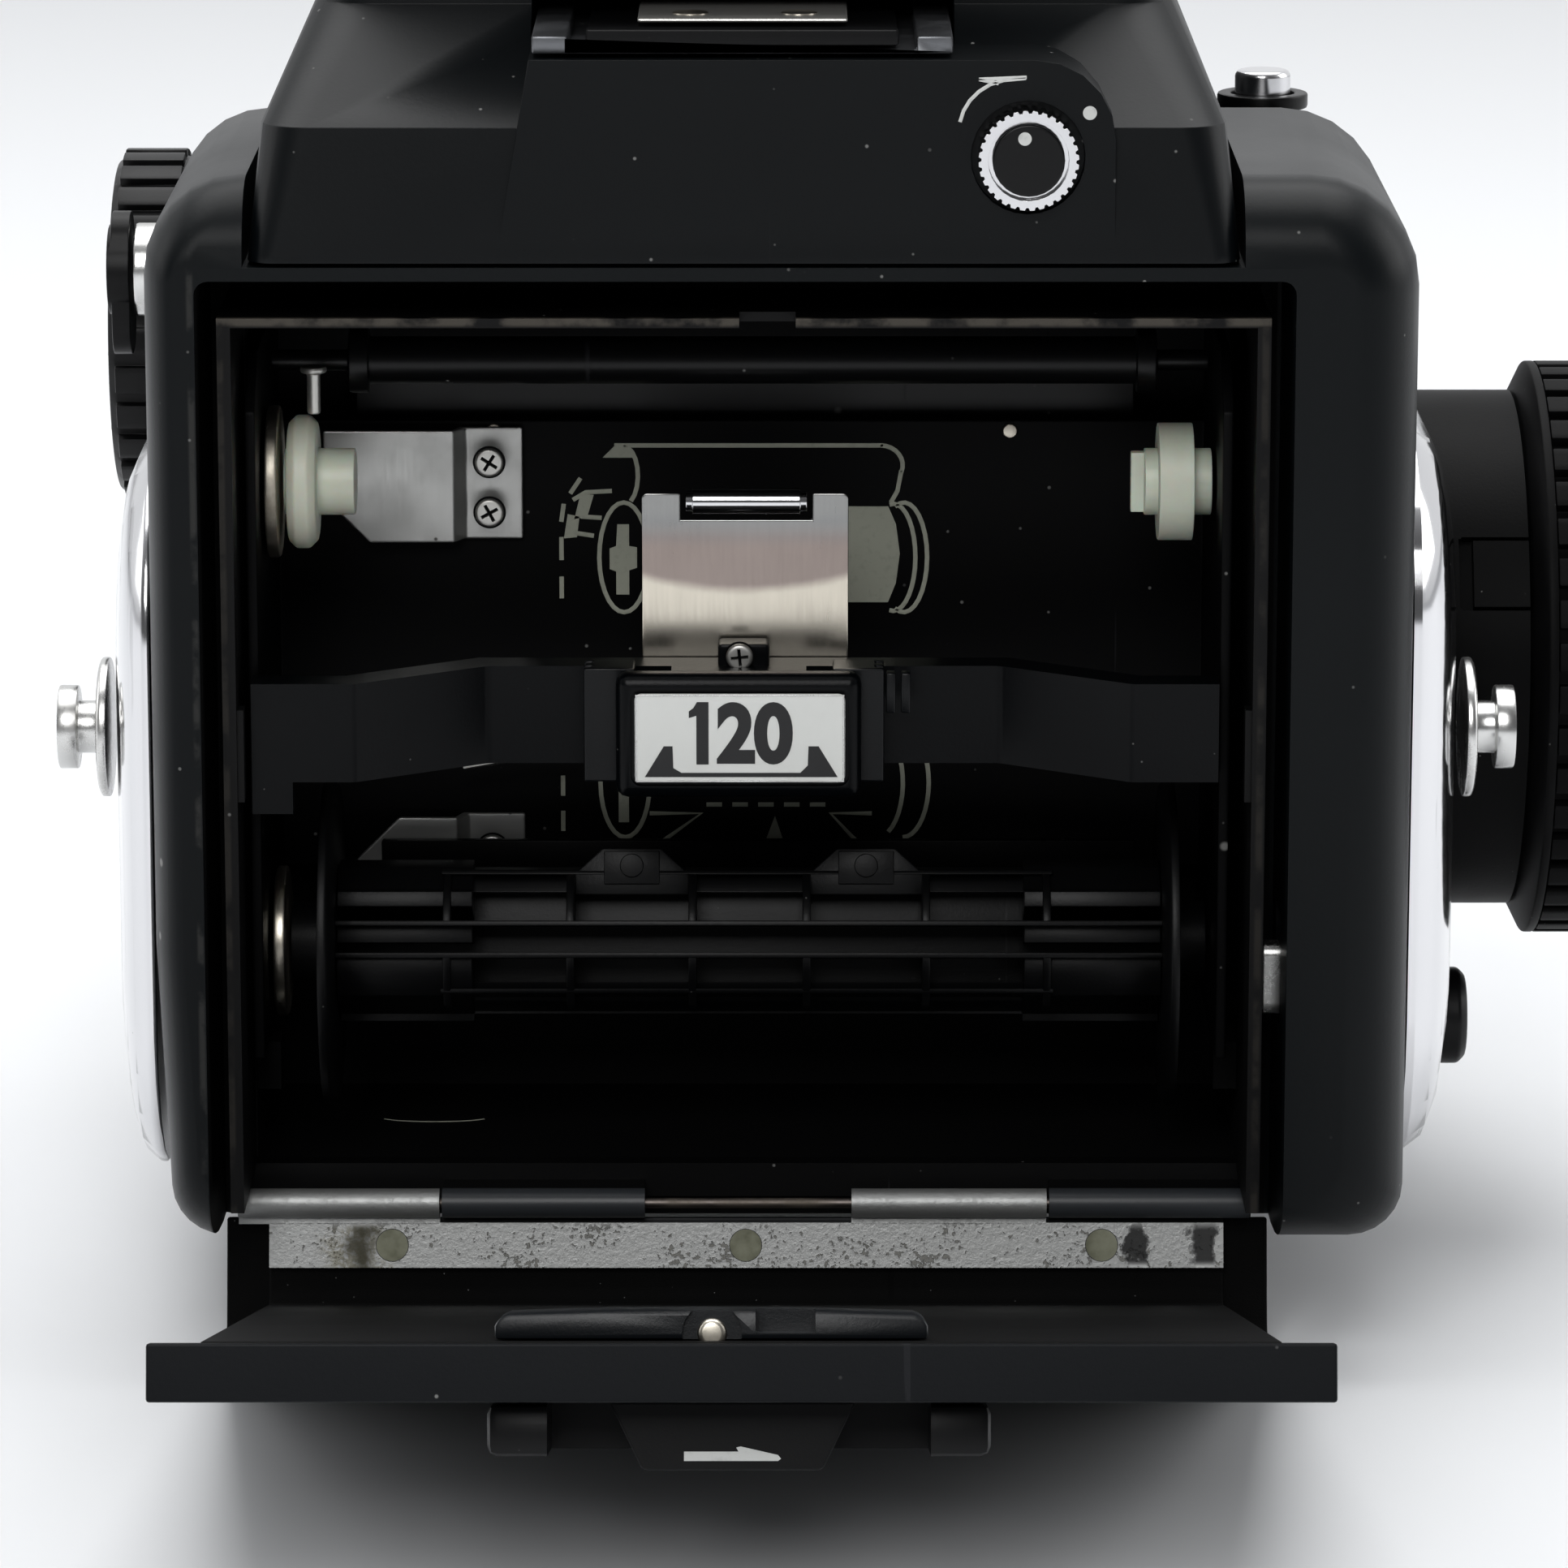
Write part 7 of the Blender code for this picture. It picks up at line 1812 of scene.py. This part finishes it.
@dataclass
class Sides(Assembly):
    """Side plates, strap lugs, dial, winding knob and buttons."""

    finishes: ClassVar[dict[str, Finish]] = {
        "side_plate_left": Kit.chrome, "side_plate_right": Kit.chrome,
        "release_button": Kit.chrome, "lever_collar": Kit.turned, "feeler_lever": Kit.turned,
        "mode_lever": Kit.satin_plastic, "stop_button": Kit.satin_plastic,
        "release_collar": Kit.satin_plastic}
    speeds: tuple[str, ...] = ("1", "2", "4", "8", "15", "30", "60", "125", "250", "500")
    figure_ring: float = 0.01205
    figure_height: float = 0.00115
    dial_ribs: int = 28
    dial_dish: tuple[float, float, float] = (0.0110, 0.0107, 0.0006)
    knob_ribs: int = 43
    knob_dish: tuple[float, float, float] = (0.0170, 0.0168, 0.0012)
    lug_neck: float = 0.0020
    collar_radius: float = 0.0204
    catch_turn: float = math.radians(-28.0)
    dial_cover: Spot = (0.0078, 0.0004)
    knob_cover: Spot = (0.0155, 0.0005)
    knob_screw: Spot = (0.0030, 0.0005)

    def dress(self) -> None:
        """Turn the round pieces, and add the figures, the covers and the screw."""
        self.lugs()
        self.dial()
        self.collar()
        self.knob()
        self.dial_figures()
        self.centres()

    @staticmethod
    def axis_seat(node: str, side: Side) -> tuple[Matrix, float, float]:
        """Seat on the inner end of a round solid that stands out of a side of the camera.

        Args:
            node: The solid.
            side: The side that it stands on.

        Returns:
            The seat, the solid's length and its radius.
        """
        low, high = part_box(node)
        middle = (low + high) / 2
        start = high.x if side is Side.LEFT else low.x
        return side.seat((start, middle.y, middle.z)), high.x - low.x, (high.z - low.z) / 2

    @staticmethod
    def face_seat(node: str, side: Side, sunk: float = 0.0) -> Matrix:
        """Seat on the outer face of a round solid that stands out of a side.

        Args:
            node: The solid.
            side: The side that it stands on.
            sunk: How far the face is dished in.

        Returns:
            The seat.
        """
        low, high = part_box(node)
        end = low.x + sunk if side is Side.LEFT else high.x - sunk
        return side.seat((end, (low.y + high.y) / 2, (low.z + high.z) / 2))

    def lugs(self) -> None:
        """Turned strap lugs: a base washer, a neck and a round head with eased edges."""
        for name, side in (("left", Side.LEFT), ("right", Side.RIGHT)):
            seat, length, base = self.axis_seat(f"strap_lug_{name}", side)
            head = base * 0.60
            shape = Bench.turned([(0.0, 0.0), (base, 0.0), (base, length * 0.16),
                                  (base * 0.93, length * 0.205), (self.lug_neck, length * 0.205),
                                  (self.lug_neck, length * 0.62), (head, length * 0.62),
                                  (head, length), (0.0, length)], seat)
            Bench.ease(shape, 0.00014)
            piece = Bench.add(f"lug_{name}", shape, Kit.turned, *ON_ALLOY)
            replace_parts(piece, f"strap_lug_{name}")

    def dial(self) -> None:
        """Ribbed dial with a shallow dished face."""
        seat, length, radius = self.axis_seat("speed_dial", Side.LEFT)
        root = radius * 0.953
        rim, dish, deep = self.dial_dish
        shape = Bench.turned([(0.0, 0.0), (root, 0.0), (root, length * 0.06),
                              (root, length * 0.90), (root * 0.97, length), (rim, length),
                              (dish, length - deep), (0.0, length - deep)], seat,
                             self.dial_ribs * 6)
        Bench.rib(shape, seat, (length * 0.05, length * 0.91), self.dial_ribs, 0.60,
                  radius / root - 1.0)
        Bench.ease(shape, 0.00010)
        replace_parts(Bench.add("dial_body", shape, Kit.satin_plastic, "dial", "black_plastic"),
                    "speed_dial")

    def collar(self) -> None:
        """Round collar under the winding knob, with a sunk catch tab on its rear."""
        seat, length, _ = self.axis_seat("winding_collar", Side.RIGHT)
        radius = self.collar_radius
        shape = Bench.turned([(0.0, 0.0), (radius, 0.0), (radius, length), (0.0, length)], seat,
                             120)
        piece = Bench.add("collar_body", shape, Kit.collar, *ON_PLASTIC)
        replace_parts(piece, "winding_collar")
        tab = seat @ Matrix.Rotation(self.catch_turn, 4, "Z")
        for at, tall, back, wide in ((0.0, 0.0056, 0.0054, 0.0011),
                                     (0.0028, 0.00030, 0.0052, 0.0060),
                                     (-0.0028, 0.00030, 0.0052, 0.0060)):
            slot = Bench.block((0.0030, tall, wide), (-radius, at, length - back + wide / 2))
            Bench.carve(piece, Bench.laid(slot, tab))

    def knob(self) -> None:
        """Winding knob: a plain chamfered rim, a ribbed band and a dished face."""
        seat, length, radius = self.axis_seat("winding_knob", Side.RIGHT)
        root = radius * 0.958
        rim, dish, deep = self.knob_dish
        shape = Bench.turned([(0.0, 0.0), (root * 0.95, 0.0), (radius, length * 0.10),
                              (radius, length * 0.17), (root, length * 0.175),
                              (root, length * 0.93), (root * 0.98, length), (rim, length),
                              (dish, length - deep), (0.0, length - deep)], seat,
                             self.knob_ribs * 6)
        Bench.rib(shape, seat, (length * 0.176, length * 0.929), self.knob_ribs, 0.62,
                  radius / root - 1.0)
        Bench.ease(shape, 0.00012)
        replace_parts(Bench.add("knob_body", shape, Kit.rubber, "winding", "black_plastic"),
                    "winding_knob")

    def dial_figures(self) -> None:
        """Shutter times round the dial's flat rim."""
        face = self.face_seat("speed_dial", Side.LEFT)
        spot = Matrix.Translation((0.0, self.figure_ring, LIFT))
        marks = []
        for index, text in enumerate(self.speeds):
            angle = math.radians(150.0 - index * 300.0 / len(self.speeds))
            seat = face @ Matrix.Rotation(-angle, 4, "Z") @ spot
            marks.append(Bench.lettering(text, self.figure_height, seat, 0.85, 0.01))
        Bench.add("dial_figures", Bench.joined(*marks), Kit.white_ink, "dial", "black_plastic")

    def centres(self) -> None:
        """Cover discs in the middle of the dial and of the knob, and the knob's screw."""
        seat = self.face_seat("speed_dial", Side.LEFT, self.dial_dish[2])
        Bench.add("dial_cover", Bench.disc(*self.dial_cover, seat, 0.0002, 48), Kit.turned,
                  "dial", "satin_alloy")
        seat = self.face_seat("winding_knob", Side.RIGHT, self.knob_dish[2])
        Bench.add("knob_cover", Bench.disc(*self.knob_cover, seat, 0.0002, 64), Kit.gloss,
                  "winding", "black_plastic")
        top = seat @ Matrix.Translation((0.0, 0.0, self.knob_cover[1]))
        Bench.screw("knob_screw", top, self.knob_screw, Kit.turned,
                    ("winding", "satin_alloy"), 0.6)


@dataclass
class Lens(Assembly):
    """The lens: mount ring, barrel, aperture and focus rings, and front group."""

    finishes: ClassVar[dict[str, Finish]] = {
        "lens_mount_ring": Kit.chrome, "lens_barrel": Kit.gloss, "front_cell": Kit.gloss,
        "aperture_ring": Kit.satin_plastic, "focus_ring": Kit.rubber,
        "front_glass": Kit.lens_glass}
    axis_height: float = 0.0400
    stops: tuple[str, ...] = ("2.8", "4", "5.6", "8", "11", "16", "22")
    distances: tuple[str, ...] = ("0.6", "0.7", "0.8", "1", "1.2", "1.5", "2", "3", "5", "10")
    scale_step: float = 11.0
    stop_radius: float = 0.03001
    distance_radius: float = 0.03251
    index_place: float = 0.0703
    index_size: Spot = (0.0006, 0.00004)
    sleeve_length: float = 0.0140
    sleeve_radii: Spot = (0.0211, 0.02345)

    def dress(self) -> None:
        """Add the inner tube and the scales."""
        self.sleeve()
        self.scales()

    def sleeve(self) -> None:
        """Inner tube of the front group, which slides in the barrel as the lens focuses."""
        low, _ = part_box("front_cell")
        inner, outer = self.sleeve_radii
        end = self.sleeve_length - HEAD_LIFT
        profile = [(inner, 0.0), (outer, 0.0), (outer, end), (inner, end), (inner, 0.0)]
        seat = Side.FRONT.seat((0.0, low.y - self.sleeve_length, self.axis_height))
        Bench.add("focus_sleeve", Bench.turned(profile, seat), Kit.gloss, "front_group",
                  "black_metal")

    def ring_text(self, texts: tuple[str, ...], radius: float, along: float, first: float,
                  tall: float) -> Shape:
        """Figures bent round the lens, read from behind the camera.

        Args:
            texts: The figures in order.
            radius: The radius that they lie on.
            along: Their place along the lens.
            first: Where the first one stands, in degrees from the top.
            tall: Their height.

        Returns:
            The shape.
        """
        marks = []
        for index, text in enumerate(texts):
            turn = Matrix.Rotation(math.radians(first + index * self.scale_step), 4, "Y")
            seat = (Matrix.Translation((0.0, 0.0, self.axis_height)) @ turn
                    @ Side.TOP.seat((0.0, along, radius)))
            marks.append(Bench.lettering(text, tall, seat, 0.9, 0.01))
        return Bench.joined(*marks)

    def scales(self) -> None:
        """Aperture and distance figures, and the index dot between them."""
        Bench.add("aperture_scale",
                  self.ring_text(self.stops, self.stop_radius, 0.0665, -33.0, 0.0022),
                  Kit.white_ink, *ON_HOUSING)
        Bench.add("distance_scale",
                  self.ring_text(self.distances, self.distance_radius, 0.1012, -50.0, 0.0020),
                  Kit.white_ink, "front_group", "plastic_housing")
        seat = Side.TOP.seat((0.0, self.index_place, self.axis_height + self.stop_radius))
        Bench.add("aperture_index", Bench.disc(*self.index_size, seat), Kit.white_ink,
                  *ON_HOUSING)


# --- floor, light and camera --------------------------------------------------------------


@dataclass(frozen=True)
class Lamp:
    """Square area lamp that faces the part."""

    name: str
    place: Place
    side: float
    power: float
    aim: Place = (0.0, 0.0, 0.05)

    def hang(self) -> None:
        """Hang the lamp in the scene."""
        data = bpy.data.lights.new(self.name, "AREA")
        data.shape = "SQUARE"
        data.size = self.side
        data.energy = self.power
        holder = placed(self.name, data)
        holder.location = self.place
        way = Vector(self.aim) - Vector(self.place)
        holder.rotation_euler = way.to_track_quat("-Z", "Y").to_euler()


@dataclass
class Studio:
    """Pale floor, soft light and the camera."""

    lamps: tuple[Lamp, ...] = (Lamp("overhead_lamp", (0.0, 0.20, 0.95), 0.95, 9.0),
                               Lamp("left_lamp", (-0.95, 0.10, 0.45), 0.70, 2.4),
                               Lamp("right_lamp", (0.95, 0.15, 0.45), 0.70, 3.5),
                               Lamp("front_lamp", (-0.10, -0.90, 0.62), 0.45, 4.4))
    room_colour: Colour = (0.97, 0.98, 1.0)
    room_light: Spot = (0.10, 0.62)
    room_turn: Spot = (-0.75, 0.10)
    backdrop: Colour = (0.885, 0.895, 0.91)
    backdrop_turn: Spot = (0.0, 0.5)
    camera_place: Place = (0.0030, -0.5806, 0.1633)
    camera_tilt: float = math.radians(77.0)
    camera_lens: float = 175.1
    floor_size: float = 4.0
    floor_gap: float = 0.0002

    def build(self) -> None:
        """Lay the floor, hang the lamps, light the world and set the camera."""
        low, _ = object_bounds()
        self.floor(low.z - self.floor_gap)
        for lamp in self.lamps:
            lamp.hang()
        self.world()
        self.camera()

    def floor(self, level: float) -> None:
        """Lay a wide pale floor.

        Args:
            level: Its height.
        """
        shape = bmesh.new()
        bmesh.ops.create_grid(shape, x_segments=8, y_segments=8, size=self.floor_size)
        bmesh.ops.translate(shape, vec=(0.0, 0.0, level), verts=shape.verts)
        mesh = bpy.data.meshes.new("floor")
        shape.to_mesh(mesh)
        shape.free()
        mesh.materials.append(Kit.paper.material())
        placed("floor", mesh)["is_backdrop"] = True

    def world(self) -> None:
        """Pale room that is darker behind the viewer; sharp reflections see the backdrop."""
        room = bpy.data.worlds.new("room")
        bpy.context.scene.world = room
        room.use_nodes = True
        room.node_tree.nodes.clear()
        nodes = Nodes(room.node_tree)
        _, ahead, _ = nodes.axes(nodes.node("ShaderNodeTexCoord").outputs["Generated"])
        level = nodes.node("ShaderNodeMapRange", {"interpolation_type": "SMOOTHSTEP"},
                           {"Value": ahead, "From Min": self.room_turn[0],
                            "From Max": self.room_turn[1], "To Min": self.room_light[0],
                            "To Max": self.room_light[1]})
        light = nodes.node("ShaderNodeBackground", {}, {"Color": self.room_colour,
                                                        "Strength": level.outputs[0]})
        plain = nodes.node("ShaderNodeBackground", {}, {"Color": self.backdrop})
        front = nodes.node("ShaderNodeMapRange", {},
                           {"Value": ahead, "From Min": self.backdrop_turn[0],
                            "From Max": self.backdrop_turn[1]})
        ray = nodes.node("ShaderNodeLightPath").outputs
        sharp = Value(nodes, ray["Is Glossy Ray"]) + Value(nodes, ray["Is Transmission Ray"])
        shown = nodes.node("ShaderNodeMath", {"operation": "MULTIPLY_ADD", "use_clamp": True},
                           [sharp, front.outputs[0], ray["Is Camera Ray"]])
        mix = nodes.node("ShaderNodeMixShader", {}, [shown.outputs[0], light.outputs[0],
                                                     plain.outputs[0]])
        nodes.node("ShaderNodeOutputWorld", {}, [mix.outputs[0]])

    def camera(self) -> None:
        """Camera behind and a little above the part."""
        data = bpy.data.cameras.new("camera")
        data.lens = self.camera_lens
        data.sensor_width = 36.0
        data.clip_start = 0.01
        data.clip_end = 20.0
        holder = placed("camera", data)
        holder.location = self.camera_place
        holder.rotation_euler = (self.camera_tilt, 0.0, 0.0)
        bpy.context.scene.camera = holder
        bpy.context.scene.view_settings.view_transform = "Standard"


def main() -> None:
    """Dress the camera, then light it."""
    logging.basicConfig(level=logging.INFO, format="%(name)s: %(message)s")
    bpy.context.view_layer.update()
    for part in (Casing(), BackDoor(), FilmInsert(), TakeUpSpool(), Finder(), Sides(), Lens()):
        part.build()
    Studio().build()


if __name__ == "__main__":
    main()
